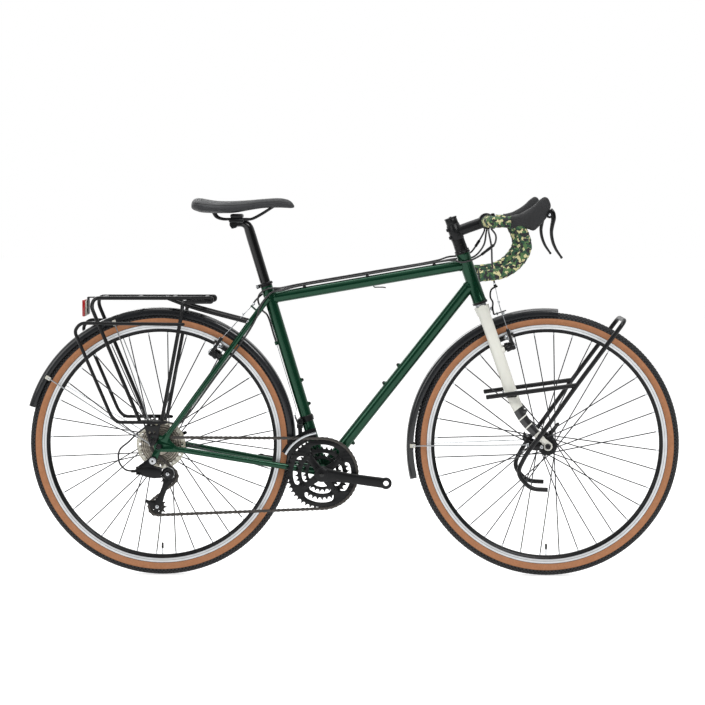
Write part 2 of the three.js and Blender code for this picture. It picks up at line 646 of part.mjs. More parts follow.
for (const [name, hand] of sides) {
  const end = hand * (rearEnd + endThickness / 2);
  const chainPath = [[0.045, stayRootOffset], [0.14, stayRootOffset + bossRise / 2], [0.21, tyreSide],
    [0.32, tyreSide + (staySide - tyreSide) * 0.18],
    [1, staySide]].map(([share, side]) => between(chainRoot, chainTip, share).setY(hand * side));
  const outline = armOutline(chainTip, rearAxle, chainstayTipHeight / 2, dropoutBossRadius);
  const upper = armOutline(seatTip, rearAxle, seatstayTipRadius, dropoutBossRadius);
  const pieces = [plate(outline, end, endThickness), plate(upper, end, endThickness),
    plate([[chainTip.x, chainTip.z - chainstayTipHeight / 2], [chainTip.x,
      chainTip.z + chainstayTipHeight / 2],
      [seatTip.x, seatTip.z], [seatTip.x - dropoutBossRadius, seatTip.z], [rearAxle.x, rearAxle.z]], end,
        endThickness)];
  if (hand < 0) pieces.push(plate(armOutline(rearAxle, fromRear([-hangerBack, -hangerDrop]),
    dropoutBossRadius / 2, hangerRadius),
    end, endThickness));
  const chainstay = sweep(chainPath, circle(frameSides, 1 / 2),
    mix([chainstayBreadth / 2, chainstayHeight / 2],
    [chainstayBreadth / 2, chainstayTipHeight / 2]));
  if (hand > 0) {
    const bridgeAt = stayTip(chainRoot, chainBridgeReach);
    pieces.push(rod([bridgeAt.clone().setY(bossRise * 1.4 + chainstayBreadth / 2 - tyreSide),
      bridgeAt.clone().setY(tyreSide)], bridgeRadius, rodSides, upAxis));
  }
  add(`chainstay_${name}`, cut(join(chainstay, ...pieces), shellClear, turned(rearAxle, sideAxis,
    [[-rearHubWidth, axleRadius + runningGap], [rearHubWidth, axleRadius + runningGap]])), 'green');

  const stay = sweep(stayTable.map(([share, side]) => onStay(share, 0, side).setY(hand * side)),
    circle(frameSides, 1 / 2),
    mix([seatstayTipRadius, seatstayTipRadius], [seatstayRadius, seatstayRadius]));
  stayClears.push(sweep(stayTable.map(([share, side]) => onStay(share, 0, side).setY(hand * side)),
    circle(frameSides, 1 / 2),
    mix([seatstayTipRadius + freeGap, seatstayTipRadius + freeGap], [seatstayRadius + freeGap,
      seatstayRadius + freeGap])));
  const dropoutClears = [plate(armOutline(chainTip, rearAxle, chainstayTipHeight,
    dropoutBossRadius + seatstayTipRadius), end, endThickness * 3),
    plate(armOutline(seatTip, rearAxle, seatstayTipRadius + freeGap,
      dropoutBossRadius + seatstayTipRadius), end, endThickness * 3)];
  const post = turned(along(rearAxle, stayUp, brakePostReach).setY(hand * brakePostOffset), stayOver,
    [[0, brakePostRadius], [brakeBackward, brakePostRadius]], rodSides);
  const parts = [stay, post];
  if (hand > 0) {
    for (const reach of [lowBridgeReach, highBridgeReach]) {
      const share = shareAt(reach);
      parts.push(rod([onStay(share, 0, seatstayRadius * 1.2 + freeGap - sideAt(share)), onStay(share, 0,
        sideAt(share))], bridgeRadius, rodSides, upAxis));
    }
    const [noseUp, noseOver] = rearNoseFromBridge;
    const nose = along(along(rearAxle, stayUp, highBridgeReach + noseUp), stayOver, noseOver);
    parts.push(cut(sweep([along(rearAxle, stayUp, highBridgeReach), along(nose, stayOver,
      yokeThickness)], boxSection, () => [yokeWidth / 2, hangerThickness / 2]),
      turned(along(nose, stayUp, -stopLength), stayUp, [[0, wireRadius + runningGap * 2],
        [stopLength * 2, wireRadius + runningGap * 2]], cordSides)));
  }
  add(`seatstay_${name}`, cut(join(...parts), ...dropoutClears, clearOf(bracket, seatUp,
    seatTubeLength - collarHeight - freeGap, seatTubeRadius)), 'green');
}

// Fork
const forkHead = onHead(-lowerCupHeight);
add('fork_crown', join(turned(forkHead, steerUp, [[-crownHeight, headTubeRadius], [-freeGap, cupRadius],
  [0, cupRadius - freeGap]], frameSides), turned(forkHead, steerUp, [[-crownHeight / 2, steererRadius],
  [lowerCupHeight + headTubeLength + stackHeight - freeGap, steererRadius]], frameSides),
block(along(forkHead, steerUp, -crownHeight / 2), crownDepth,
  (bladeTopOffset - bladeTopBreadth * Math.cos(Math.PI / 6) / 2 - freeGap) * 2,
  crownHeight, (90 - headAngle) * degree), turned(along(forkHead, steerUp, -crownHeight * 0.6),
    steerFore, [[0, bossRadius],
  [cupRadius + bossRise * 0.8, bossRadius]], rodSides)), 'cream');
const frontEnd = frontHubWidth / 2;
const bladeSide = frontEnd + endThickness / 2;
for (const [name, hand] of sides) {
  const straight = along(forkHead, steerUp, -bladeStraight);
  const tip = along(frontAxle, frontAxle.clone().sub(straight).normalize(), -dropoutBossRadius);
  const knee = between(straight, tip, 0.45).addScaledVector(steerFore, -forkRake * 0.2);
  const nearTip = between(straight, tip, 0.8).addScaledVector(steerFore, -forkRake * 0.1);
  const spread = (share) => bladeTopOffset + share * (bladeSide - bladeTopOffset);
  const bladePath = [[forkHead, 0], [between(forkHead, straight, 0.5), 0.5], [straight, 0.75], [knee, 1],
    [nearTip, 1],
    [tip, 1]].map(([point, share]) => point.clone().setY(hand * spread(share)));
  const blade = sweep(bladePath, circle(frameSides - 2, 1 / 2), (share) =>
    mix([bladeTopBreadth / 2, bladeTopDepth / 2],
    [bladeTipBreadth / 2, bladeTipDepth / 2])(Math.max(share - 0.35, 0) / 0.65));
  const end = plate(armOutline(tip, frontAxle, bladeTipDepth / 2, dropoutBossRadius * 0.8),
    hand * bladeSide, endThickness);
  const postFoot = along(along(frontAxle, steerUp, brakePostReach), steerFore, -forkRake)
    .setY(hand * brakePostOffset);
  const post = turned(postFoot, steerFore, [[0, brakePostRadius], [brakeForward, brakePostRadius]], rodSides);
  add(`fork_blade_${name}`, cut(join(blade, end, post), turned(at(frontAxle.x, -frontHubWidth,
    frontAxle.z), sideAxis,
    [[0, axleRadius + runningGap], [frontHubWidth * 2, axleRadius + runningGap]], 10)), 'cream');
}

// Stem and handlebar
const stackFoot = headTubeLength + lowerCupHeight / 2 + freeGap;
const stackTop = headTubeLength + stackHeight;
const stemFoot = headTubeLength + stemClampRise + lowerCupHeight;
const stemMiddle = onHead(stemFoot + stemClampHeight / 2);
const barCentre = at(stemMiddle.x + stemReach * Math.cos(stemSlope * degree), 0,
  stemMiddle.z + stemReach * Math.sin(stemSlope * degree) + stemClampHeight / 4);
const bore = (point, axis, radius, reach) => turned(along(point, axis, -reach), axis,
  [[0, radius], [reach * 2, radius]], frameSides);
const stem = join(turned(onHead(stackFoot), steerUp, [[0, cupRadius - freeGap],
  [stemFoot - stackFoot, stemClampRadius - freeGap],
  [stemFoot - stackFoot, stemClampRadius], [stemFoot - stackFoot + stemClampHeight, stemClampRadius],
  [stemFoot - stackFoot + stemClampHeight, stemClampRadius - bossRise], [stackTop - stackFoot,
    stemClampRadius - bossRise]], frameSides),
sweep([stemMiddle, barCentre], circle(frameSides, 1 / 2), stemRadius),
turned(at(barCentre.x, -faceWidth / 2, barCentre.z), sideAxis, [[0, faceRadius],
  [faceWidth, faceRadius]], frameSides),
...[0.25, 0.75].map((share) => block(onHead(stemFoot + stemClampHeight * share, -stemClampRadius),
  bossRadius * 1.5, stemClampRadius, bossRadius * 1.5)));
add('stem', cut(stem, bore(onHead(0), steerUp, steererRadius + freeGap, headTubeLength * 3),
  bore(barCentre, sideAxis, barClampRadius + freeGap, faceWidth)), 'black');
const barEnd = tapeStart + tapeRadius;
add('handlebar', turned(at(barCentre.x, -barEnd, barCentre.z), sideAxis, [[0, barRadius],
  [barEnd - faceWidth / 1.6, barRadius],
  [barEnd - faceWidth / 1.8, barClampRadius], [barEnd + faceWidth / 1.8, barClampRadius],
    [barEnd + faceWidth / 1.6, barRadius],
  [barEnd * 2, barRadius]], frameSides), 'satin');
const fromBar = ([x, z], side) => at(barCentre.x + x, side, barCentre.z + z);
const tapePaths = {};
for (const [name, hand] of sides) {
  const corner = hand * barWidth / 2;
  const hook = [fromBar([0, 0], hand * tapeStart), fromBar([0, 0], hand * (barWidth / 2 - hookReach * 0.5)),
    fromBar([hookReach * 0.16, 0], corner * 0.975),
    ...hookShares.slice(1).map(([x, z]) => fromBar([x * hookReach, z * hookDrop], corner))];
  tapePaths[name] = smooth(hook, 16);
  const hollow = turned(at(barCentre.x, hand > 0 ? 0 : -barEnd - freeGap, barCentre.z), sideAxis,
    [[0, barRadius + freeGap], [barEnd + freeGap, barRadius + freeGap]], frameSides);
  add(`tape_${name}`, cut(rod(tapePaths[name], tapeRadius, 8, upAxis), hollow), 'tape');
}
const hoodRoot = (hand) => fromBar([hookReach * 0.7, 0], hand * barWidth / 2);
const leverPivot = (hand) => hoodRoot(hand).add(at(hoodReach * 1.32, 0, hoodRise * 0.3));
for (const [name, hand] of sides) {
  const root = hoodRoot(hand);
  const pivot = leverPivot(hand);
  const hoodPath = hoodShares.map(([x, z]) => at(root.x + x * hoodReach, root.y, root.z + z * hoodRise));
  const hood = sweep(smooth(hoodPath, 6), circle(8, 1 / 2), stops(hoodWidthShares, hoodRadius, hoodRadius));
  const housing = turned(along(pivot, sideAxis, -hoodRadius * 0.7), sideAxis, [[0, hoodRadius * 0.5],
    [hoodRadius * 1.4, hoodRadius * 0.5]], 8);
  const arm = sweep([at(root.x + hoodReach * 0.8, root.y, root.z + hoodRise * 0.35), pivot], boxSection,
    () => [hoodRadius * 0.7, hoodRadius * 0.45]);
  const leverPath = leverShares.map(([x, z]) => at(pivot.x + x * leverLength, pivot.y,
    pivot.z + z * leverLength));
  const lever = sweep(smooth(leverPath, 6), circle(6, 1 / 2), stops(leverWidthShares, leverBreadth / 2,
    leverDepth / 2));
  const hub = turned(along(pivot, sideAxis, -leverBreadth * 0.35), sideAxis, [[0, hoodRadius * 0.36],
    [leverBreadth * 0.7, hoodRadius * 0.36]], 8);
  const slot = turned(along(pivot, sideAxis, -leverBreadth * 0.6), sideAxis, [[0, hoodRadius * 1.25],
    [leverBreadth * 1.2, hoodRadius * 1.25]], 8);
  const pin = turned(along(pivot, sideAxis, -hoodRadius * 0.6), sideAxis, [[0, leverPinRadius],
    [hoodRadius * 1.2, leverPinRadius]], rodSides);
  const eye = turned(along(pivot, sideAxis, -leverBreadth), sideAxis, [[0, leverPinRadius + runningGap],
    [leverBreadth * 2, leverPinRadius + runningGap]], 8);
  add(`hood_${name}`, join(cut(join(hood, arm, housing), rod(tapePaths[name], tapeRadius + freeGap, 8,
    upAxis), slot), pin), 'rubber');
  add(`lever_${name}`, cut(join(lever, hub), eye), 'satin');
}

// Seatpost with its rails, and the saddle
const postTop = onSeat(seatTubeLength + postRise);
const clampCentre = at(postTop.x - postSetback, 0, postTop.z + postHeadRise);
const railPath = (hand) => railShares.map(([x, z, y]) => at(clampCentre.x + x * saddleBack * 0.52,
  hand * y * railOffset,
  clampCentre.z + z * clampHeight * 1.2));
const lengthened = (path, extra) => [along(path[0], path[0].clone().sub(path[1]).normalize(), extra),
  ...path.slice(1, -1),
  along(path[path.length - 1], path[path.length - 1].clone().sub(path[path.length - 2]).normalize(), extra)];
add('seatpost', join(turned(onSeat(seatTubeLength - postInsertion), seatUp, [[0, seatPostRadius],
  [postInsertion + postRise, seatPostRadius]], frameSides),
  sweep([along(postTop, seatUp, -seatPostRadius), along(postTop, seatUp, seatPostRadius * 0.6),
    clampCentre], circle(frameSides - 2, 1 / 2),
    mix([seatPostRadius, seatPostRadius], [seatPostRadius * 1.3, seatPostRadius * 0.6])),
  block(clampCentre, clampLength, (railOffset + railRadius) * 2 + clampHeight / 2, clampHeight),
  ...sides.map(([, hand]) => rod(railPath(hand), railRadius))), 'black');
const saddleTail = at(clampCentre.x - saddleBack, 0, clampCentre.z + saddleRise - saddleDepth * 0.62);
const saddleFlat = [...saddleRingShares, ...saddleRingShares.slice(1).reverse().map(([a, b]) => [-a, b])];
const saddleRing = ([x, wide, top, low]) => saddleFlat.map(([a, b]) =>
  at(saddleTail.x + x * saddleLength, a * wide * saddleWidth / 2,
  saddleTail.z + (low + (top - low) * b) * saddleDepth));
add('saddle', cut(skin(saddleShares.map(saddleRing), saddleFlat),
  ...sides.map(([, hand]) => rod(lengthened(railPath(hand), freeGap), railRadius + freeGap))), 'saddle');

// Wheels
const bandShare = (share) => rimTop + (tyreRadius - rimTop) * share;
const rimTop = rimSeatRadius + rimWallRise;
const tyreProfile = [[rimTop + freeGap, -rimWidth / 2], [bandShare(0.5), -tyreWidth / 2],
  [bandShare(0.86), -tyreWidth * 0.36], [tyreRadius, 0]];
const mirrored = (profile) => [...profile, ...profile.slice().reverse().filter(([, y]) => y !== 0)
  .map(([r, y]) => [r, -y])];
const rimProfile = mirrored([[rimSeatRadius - rimDepth, -rimWidth / 4], [rimSeatRadius - rimDepth / 2,
  -rimWidth / 2], [rimTop, -rimWidth / 2]]);
const flangeTop = flangeRadius + spokeRadius * 3;
const hubProfile = (leftSide, rightSide, leftEnd, rightEnd) => [[axleRadius + runningGap, -rightEnd],
  [hubShellRadius, -rightEnd],
  [flangeTop, -rightSide - flangeThickness / 2], [flangeTop, -rightSide + flangeThickness / 2],
  [hubShellRadius, -rightSide + flangeThickness * 1.5], [hubShellRadius,
    leftSide - flangeThickness * 1.5], [flangeTop, leftSide - flangeThickness / 2],
  [flangeTop, leftSide + flangeThickness / 2], [hubShellRadius, leftEnd], [axleRadius + runningGap, leftEnd]];
const onCircle = (centre, angle, radius, side) => at(centre.x + Math.cos(angle) * radius, side,
  centre.z + Math.sin(angle) * radius);
const wheel = (axle, leftSide, rightSide, leftEnd, rightEnd) => {
  const pieces = [ringOf(axle, rimProfile, wheelSides), ringOf(axle,
    hubProfile(leftSide, rightSide, leftEnd, rightEnd), hubSides)];
  const step = 2 * Math.PI / spokeCount;
  for (let i = 0; i < spokeCount; i += 1) {
    const hand = i % 2 ? 1 : -1;
    const lead = Math.floor(i / 2) % 2 ? 1 : -1;
    const side = hand > 0 ? leftSide : rightSide;
    pieces.push(rod([onCircle(axle, (i + spokeShift + lead * spokeCrossing) * step, flangeRadius,
      hand * (side + lead * spokeStagger / 2)),
      onCircle(axle, (i + spokeShift) * step, rimSeatRadius - rimDepth / 2, 0)], spokeRadius, 3));
  }
  pieces.push(turned(at(axle.x, 0, axle.z - rimSeatRadius + rimDepth * 0.7), upAxis,
    [[0, axleRadius * 0.6], [rimDepth * 2.6, axleRadius * 0.5]], rodSides));
  return join(...pieces);
};
const frontHubEnd = frontEnd - axleRadius - freeGap;
const rearHubEnd = rearEnd - axleRadius - freeGap;
const cassetteInner = rearFlangeRight + flangeThickness / 2 + spokeStagger;
add('tyre_front', ringOf(frontAxle, mirrored(tyreProfile), wheelSides), 'tyre');
add('wheel_front', wheel(frontAxle, frontFlangeOffset, frontFlangeOffset, frontHubEnd, frontHubEnd),
  'silver');
add('tyre_rear', ringOf(rearAxle, mirrored(tyreProfile), wheelSides), 'tyre');
add('wheel_rear', wheel(rearAxle, rearFlangeLeft, rearFlangeRight, rearHubEnd, cassetteInner - freeGap),
  'silver');
const axlePiece = (centre, half) => {
  const nut = axleOverhang * 2;
  const outside = nut + endThickness + freeGap;
  const inside = nut + endThickness + axleRadius - freeGap;
  const far = nut + endThickness + half * 2;
  return turned(at(centre.x, -half - endThickness - nut, centre.z), sideAxis, [[0, axleNutRadius - bossRise],
    [nut - freeGap, axleNutRadius], [nut - freeGap, axleRadius], [outside, axleRadius], [outside,
      axleNutRadius],
    [inside, axleNutRadius], [inside, axleRadius], [far - axleRadius + freeGap, axleRadius],
      [far - axleRadius + freeGap, axleNutRadius],
    [far - freeGap, axleNutRadius], [far - freeGap, axleRadius], [far + endThickness + freeGap, axleRadius],
    [far + endThickness + freeGap, axleNutRadius], [far + endThickness + axleOverhang,
      axleNutRadius - bossRise]], 7);
};
const quickRelease = (centre, half, angle) => {
  const head = at(centre.x, half + endThickness + axleOverhang + leverBarrel + freeGap, centre.z);
  const aim = at(Math.cos(angle * degree), 0, Math.sin(angle * degree));
  const pivotAxis = aim.clone().cross(sideAxis);
  return join(turned(along(head, pivotAxis, -axleNutRadius), pivotAxis, [[0, leverBarrel],
    [axleNutRadius * 2, leverBarrel]], 8),
    sweep([head, along(along(head, sideAxis, freeGap * 2), aim, leverReach / 2), along(head, aim,
      leverReach)], boxSection,
      mix([leverThickness / 2, axleNutRadius * 0.8], [leverThickness / 2, axleNutRadius * 0.6])));
};
add('axle_front', axlePiece(frontAxle, frontEnd), 'silver');
add('axle_rear', axlePiece(rearAxle, rearEnd), 'silver');
add('quick_release_front', quickRelease(frontAxle, frontEnd, frontLeverAngle), 'black');
add('quick_release_rear', quickRelease(rearAxle, rearEnd, rearLeverAngle), 'black');

// Chain line: a closed path over the outer ring, the outer cog and the two jockey pulleys
const pitchRadius = (teeth) => chainPitch / (2 * Math.sin(Math.PI / teeth));
const guideCentre = fromRear([guideForward, -guideDrop]);
const pathOf = (lean) => {
  const tension = onCircle(guideCentre, lean * degree, cageLength, 0);
  const wheels = [[bracket, pitchRadius(ringTeeth[0]), 1], [rearAxle, pitchRadius(cogTeeth[0]), 1],
    [guideCentre, pitchRadius(pulleyTeeth), -1], [tension, pitchRadius(pulleyTeeth), 1]];
  const runs = wheels.map(([centre, radius, sense], i) => {
    const [nextCentre, nextRadius, nextSense] = wheels[(i + 1) % wheels.length];
    const gap = nextCentre.clone().sub(centre);
    const angle = Math.atan2(gap.z, gap.x) + Math.asin((sense * radius - nextSense
      * nextRadius) / Math.hypot(gap.x, gap.z));
    const normal = at(Math.sin(angle), 0, -Math.cos(angle));
    return [along(centre, normal, sense * radius), along(nextCentre, normal, nextSense * nextRadius)];
  });
  const parts = [];
  runs.forEach(([start, end], i) => {
    const next = (i + 1) % wheels.length;
    const [centre, radius, sense] = wheels[next];
    const leave = runs[next][0];
    const enter = Math.atan2(end.z - centre.z, end.x - centre.x);
    let turn = (Math.atan2(leave.z - centre.z, leave.x - centre.x) - enter) * sense;
    while (turn < 0) turn += 2 * Math.PI;
    parts.push({ length: start.distanceTo(end), place: (share) => between(start, end, share), from: i,
      to: next });
    parts.push({ length: turn * radius, place: (share) => onCircle(centre, enter + sense * turn * share,
      radius, 0), from: next, to: next });
  });
  return { parts, length: parts.reduce((sum, part) => sum + part.length, 0), tension };
};
const wheelLines = [-ringLine, -cogLine, -cogLine, -cogLine];
const placeOn = (path, distance) => {
  let left = distance;
  for (const part of path.parts) {
    if (left <= part.length) {
      const share = left / part.length;
      const point = part.place(share);
      point.y = wheelLines[part.from] + (wheelLines[part.to] - wheelLines[part.from]) * share;
      return { point, wheel: part.from === part.to ? part.from : -1 };
    }
    left -= part.length;
  }
  return { point: path.parts[0].place(0).setY(wheelLines[0]), wheel: -1 };
};
const stepAlong = (path) => {
  const pins = [placeOn(path, 0)];
  let distance = 0;
  while (distance < path.length - chainPitch) {
    let near = distance + chainPitch * 0.9;
    let far = Math.min(distance + chainPitch * 1.2, path.length);
    const last = pins[pins.length - 1].point;
    for (let i = 0; i < 40; i += 1) {
      const middle = (near + far) / 2;
      const { point } = placeOn(path, middle);
      if (Math.hypot(point.x - last.x, point.z - last.z) < chainPitch) near = middle;
      else far = middle;
    }
    distance = (near + far) / 2;
    pins.push(placeOn(path, distance));
  }
  return { pins, left: path.length - distance };
};
const slack = (lean, count) => {
  const { pins, left } = stepAlong(pathOf(lean));
  return (count - pins.length + 1) * chainPitch - left;
};
const linkCount = Math.round(stepAlong(pathOf(cageLean)).pins.length / 2) * 2;
let leanLow = cageLean - cageSwing;
let leanHigh = cageLean + cageSwing;
const rising = slack(leanHigh, linkCount) > slack(leanLow, linkCount);
for (let i = 0; i < 40; i += 1) {
  const middle = (leanLow + leanHigh) / 2;
  if ((slack(middle, linkCount) > 0) === rising) leanHigh = middle;
  else leanLow = middle;
}
const cagePath = pathOf((leanLow + leanHigh) / 2);
const pins = stepAlong(cagePath).pins.slice(0, linkCount);
const tensionCentre = cagePath.tension;
const phaseOn = (wheelIndex, centre) => {
  const onWheel = pins.filter((pin) => pin.wheel === wheelIndex);
  const pin = onWheel[Math.floor(onWheel.length / 2)].point;
  return Math.atan2(pin.z - centre.z, pin.x - centre.x);
};
// Corners of a station: right plate inner 0 1 and outer 2 3, left plate inner 4 5 and outer 6 7,
// then the back and front corners of the roller on the right plate 8 9 and on the left plate 10 11
const stations = pins.map(({ point }, i) => {
  const before = pins[(i + pins.length - 1) % pins.length].point;
  const after = pins[(i + 1) % pins.length].point;
  const ahead = after.clone().sub(before).normalize();
  const across = sideAxis.clone().cross(ahead).normalize();
  const place = (depth, level, forward) => along(along(along(point, sideAxis, depth), across, level),
    ahead, forward);
  return [...[-1, 1].flatMap((hand) => [plateFace, plateFace + plateThickness].flatMap((depth) =>
    [-1, 1].map((level) => place(hand * depth, level * rollerHalfHeight, 0)))),
  ...[-1, 1].flatMap((hand) => [-1, 1].map((end) => place(hand * plateFace, 0, end * rollerHalfLength)))];
});
const chainFaces = [];
const quad = (a, b, c, d) => chainFaces.push([a, c, b], [a, d, c]);
stations.forEach((station, i) => {
  const a = i * station.length;
  const b = ((i + 1) % stations.length) * station.length;
  quad(a + 2, b + 2, b + 3, a + 3);
  quad(a + 7, b + 7, b + 6, a + 6);
  quad(a + 3, b + 3, b + 1, a + 1);
  quad(a, b, b + 2, a + 2);
  quad(a + 5, b + 5, b + 7, a + 7);
  quad(a + 6, b + 6, b + 4, a + 4);
  quad(a + 1, b + 1, b + 8, a + 9);
  quad(a + 9, b + 8, b, a);
  quad(a + 5, a + 11, b + 10, b + 5);
  quad(a + 11, a + 4, b + 4, b + 10);
  quad(a + 1, a + 9, a + 11, a + 5);
  quad(a + 9, a, a + 4, a + 11);
  quad(a, a + 8, a + 10, a + 4);
  quad(a + 8, a + 1, a + 5, a + 10);
});
const chain = new THREE.BufferGeometry();
chain.setAttribute('position', new THREE.Float32BufferAttribute(stations.flat().flatMap((point) =>
  point.toArray()), 3));
chain.setIndex(chainFaces.flat());
add('chain', chain, 'steel');

// Toothed wheels: each gullet sits under a roller
const toothed = (centre, teeth, phase) => {
  const radius = pitchRadius(teeth);
  const floor = radius - rollerHalfHeight - runningGap;
  return Array.from({ length: teeth * 2 }, (_, i) => {
    const angle = phase + i * Math.PI / teeth;
    const reach = i % 2 ? radius + toothRise : floor;
    return [centre.x + Math.cos(angle) * reach, centre.z + Math.sin(angle) * reach];
  });
};
const cogs = cogTeeth.map((teeth, i) => plate(toothed(rearAxle, teeth, phaseOn(1, rearAxle)),
  -cogLine + i * cogSpacing, toothThickness));
const coreFoot = at(rearAxle.x, -cogLine - axleRadius / 2, rearAxle.z);
add('cassette', cut(join(...cogs, turned(coreFoot, sideAxis,
  [[0, carrierRadius], [-coreFoot.y - cassetteInner, carrierRadius]], 8)),
  turned(at(rearAxle.x, -rearHubWidth, rearAxle.z), sideAxis, [[0, axleRadius + runningGap],
    [rearHubWidth, axleRadius + runningGap]], 8)), 'steel');
const protectorSide = -cogLine + cogSpacing * (cogTeeth.length - 1) + toothThickness / 2 + freeGap
  + protectorThickness / 2;
add('spoke_protector', plate(disc(rearAxle.x, rearAxle.z, protectorRadius, 18), protectorSide,
  protectorThickness,
  [disc(rearAxle.x, rearAxle.z, carrierRadius + runningGap * 3, 9)]), 'ivory');
const pulley = (centre, wheelIndex) => {
  const half = cageClearance - cagePlateThickness / 2 - freeGap;
  return cut(join(plate(toothed(centre, pulleyTeeth, phaseOn(wheelIndex, centre)), -cogLine, toothThickness),
    turned(at(centre.x, -cogLine - half, centre.z), sideAxis, [[0, pulleyBore * 2],
      [half * 2, pulleyBore * 2]], 8)),
  turned(at(centre.x, -cogLine - half * 2, centre.z), sideAxis, [[0, pulleyBore],
    [half * 4, pulleyBore]], 8));
};
add('pulley_guide', pulley(guideCentre, 2), 'black');
add('pulley_tension', pulley(tensionCentre, 3), 'black');

// Cranks and chainrings
const aimAt = (angle) => at(Math.cos(angle * degree), 0, Math.sin(angle * degree));
const crankArm = (hand, inner) => {
  const eye = along(bracket, aimAt(crankAngle), -hand * crankLength);
  const middle = inner + crankThickness / 2;
  const path = [[0, 0], [0.3, 0.4], [0.75, 1], [1, 1]].map(([share, splay]) => between(bracket, eye,
    share).setY(hand * (middle + crankSplay * splay)));
  const crankRound = (centre, radius, count) => turned(along(centre, sideAxis, -crankThickness / 2), sideAxis,
    [[0, radius], [crankThickness, radius]], count);
  return cut(join(sweep(path, boxSection, (share) => [crankThickness / 2,
    Math.max(crankBossRadius * (0.8 - share), crankWaist)]),
    crankRound(path[0], crankBossRadius, 10), crankRound(path[3], crankEyeRadius, 10)),
  turned(along(path[3], sideAxis, -crankThickness), sideAxis, [[0, pedalBoreRadius],
    [crankThickness * 2, pedalBoreRadius]], 8));
};
const ringSides = ringTeeth.map((_, i) => -ringLine + i * ringSpacing);
const spiderAngles = Array.from({ length: spiderArmCount }, (_, i) =>
  crankAngle + (i + 1 / 2) * fullTurn / spiderArmCount);
const spiderSide = ringSides[0] - toothThickness / 2 - spiderThickness / 2 + freeGap;
const ringPieces = ringTeeth.map((teeth, i) => plate(toothed(bracket, teeth, i ? 0 : phaseOn(0,
  bracket)), ringSides[i], toothThickness,
  [disc(0, 0, pitchRadius(teeth) - rollerHalfHeight - ringBandWidth, i === 2 ? 10 : 16)]));
const capHeight = spiderThickness + bossRise / 2;
const spiderArms = spiderAngles.flatMap((angle) => {
  const column = (reach, radius, last) => turned(along(bracket, aimAt(angle), reach)
    .setY(spiderSide - spiderThickness / 2 - bossRise / 2),
    sideAxis, [[0, radius], [capHeight + ringSpacing * last + toothThickness, radius]], 5);
  return [sweep([crankBossRadius / 2, spiderReach].map((reach) => along(bracket, aimAt(angle), reach)
    .setY(spiderSide)), boxSection,
    mix([spiderThickness / 2, spiderArmWidth / 2], [spiderThickness / 2, spiderArmWidth / 3])),
  column(spiderBoltCircle, spiderCapRadius, 1), column(spiderBoltCircle * 0.65, spiderCapRadius * 0.7, 2)];
});
add('crank_right', join(crankArm(-1, crankInner), ...ringPieces, ...spiderArms,
  turned(at(0, -crankInner - crankThickness / 2, 0), sideAxis, [[0, crankBossRadius],
    [crankThickness / 2 + spiderThickness, crankBossRadius],
    [crankThickness / 2 + spiderThickness, spindleRadius], [crankInner + crankThickness / 2
      + crankLeftInner - freeGap, spindleRadius]], 10)), 'black');
add('crank_left', crankArm(1, crankLeftInner), 'black');

// Rear gear mechanism: mount on the hanger, swinging link, knuckle and cage
const hangerEnd = rearEnd + endThickness;
const mountFoot = fromRear([-hangerBack, -hangerDrop], -hangerEnd - freeGap - mountThickness / 2);
const linkFoot = fromRear([-linkBack, -linkDrop], -cogLine - cageClearance * 4);
const swingAxis = at(0, Math.sin(linkTilt * degree), Math.cos(linkTilt * degree));
const linkHead = guideCentre.clone().add(at(-freeGap * 4, 0, hangerRadius)).setY(linkFoot.y);
const linkBody = (grow, angle = 0) => sweep([at(-linkThickness / 3 - grow, 0, 0),
  at(linkHead.x - linkFoot.x - knuckleRadius - freeGap * 3, 0, linkHead.z - linkFoot.z)], boxSection,
() => [linkThickness / 2 + grow, linkHeight / 2 + grow]).applyQuaternion(
  new THREE.Quaternion().setFromAxisAngle(swingAxis, angle * degree)).translate(linkFoot.x, linkFoot.y,
    linkFoot.z);
add('changer_mount', cut(join(plate(armOutline(mountFoot, linkFoot, hangerRadius * 1.3,
  hangerRadius * 1.3), mountFoot.y, mountThickness),
  ...[-1, 1].map((level) => block(along(linkFoot.clone().setY((mountFoot.y + linkFoot.y) / 2
    - linkThickness / 3), upAxis,
    level * (linkHeight / 2 + freeGap + mountThickness / 3)), hangerRadius * 2, linkThickness * 1.7,
      mountThickness / 1.5)),
  turned(along(mountFoot, sideAxis, -mountThickness), sideAxis, [[0, hangerRadius * 0.8],
    [mountThickness, hangerRadius]], 8)),
...[0, 1, 2, 3].map((step) => linkBody(freeGap, step * linkSwing / 3))), 'black');
add('changer_link', linkBody(0), 'satin');
const knuckleSide = -cogLine - cageClearance - cagePlateThickness / 2 - freeGap;
add('changer_knuckle', turned(along(linkHead.clone().setY(knuckleSide), sideAxis, -knuckleWidth), sideAxis,
  [[0, knuckleRadius * 0.8], [knuckleWidth * 0.2, knuckleRadius], [knuckleWidth, knuckleRadius]], 10),
    'black');
const cageAim = tensionCentre.clone().sub(guideCentre).normalize();
const cageSide = at(-cageAim.z, 0, cageAim.x);
const cageOutline = [...armOutline(guideCentre, tensionCentre, cageEndRadius, cageEndRadius)];
const tail = armOutline(tensionCentre, along(along(tensionCentre, cageSide, -cageTailReach), cageAim,
  -cageEndRadius / 3), cageEndRadius, cageEndRadius / 2);
const cagePlates = [-1, 1].flatMap((hand) => [plate(cageOutline, -cogLine + hand * cageClearance,
  cagePlateThickness),
  ...(hand < 0 ? [plate(tail, -cogLine + hand * cageClearance, cagePlateThickness)] : [])]);
const cageBolts = [guideCentre, tensionCentre].map((centre) =>
  turned(at(centre.x, -cogLine - cageClearance, centre.z), sideAxis,
  [[0, pulleyBoltRadius], [cageClearance * 2, pulleyBoltRadius]], 6));
add('changer_cage', join(...cagePlates, ...cageBolts), 'black');

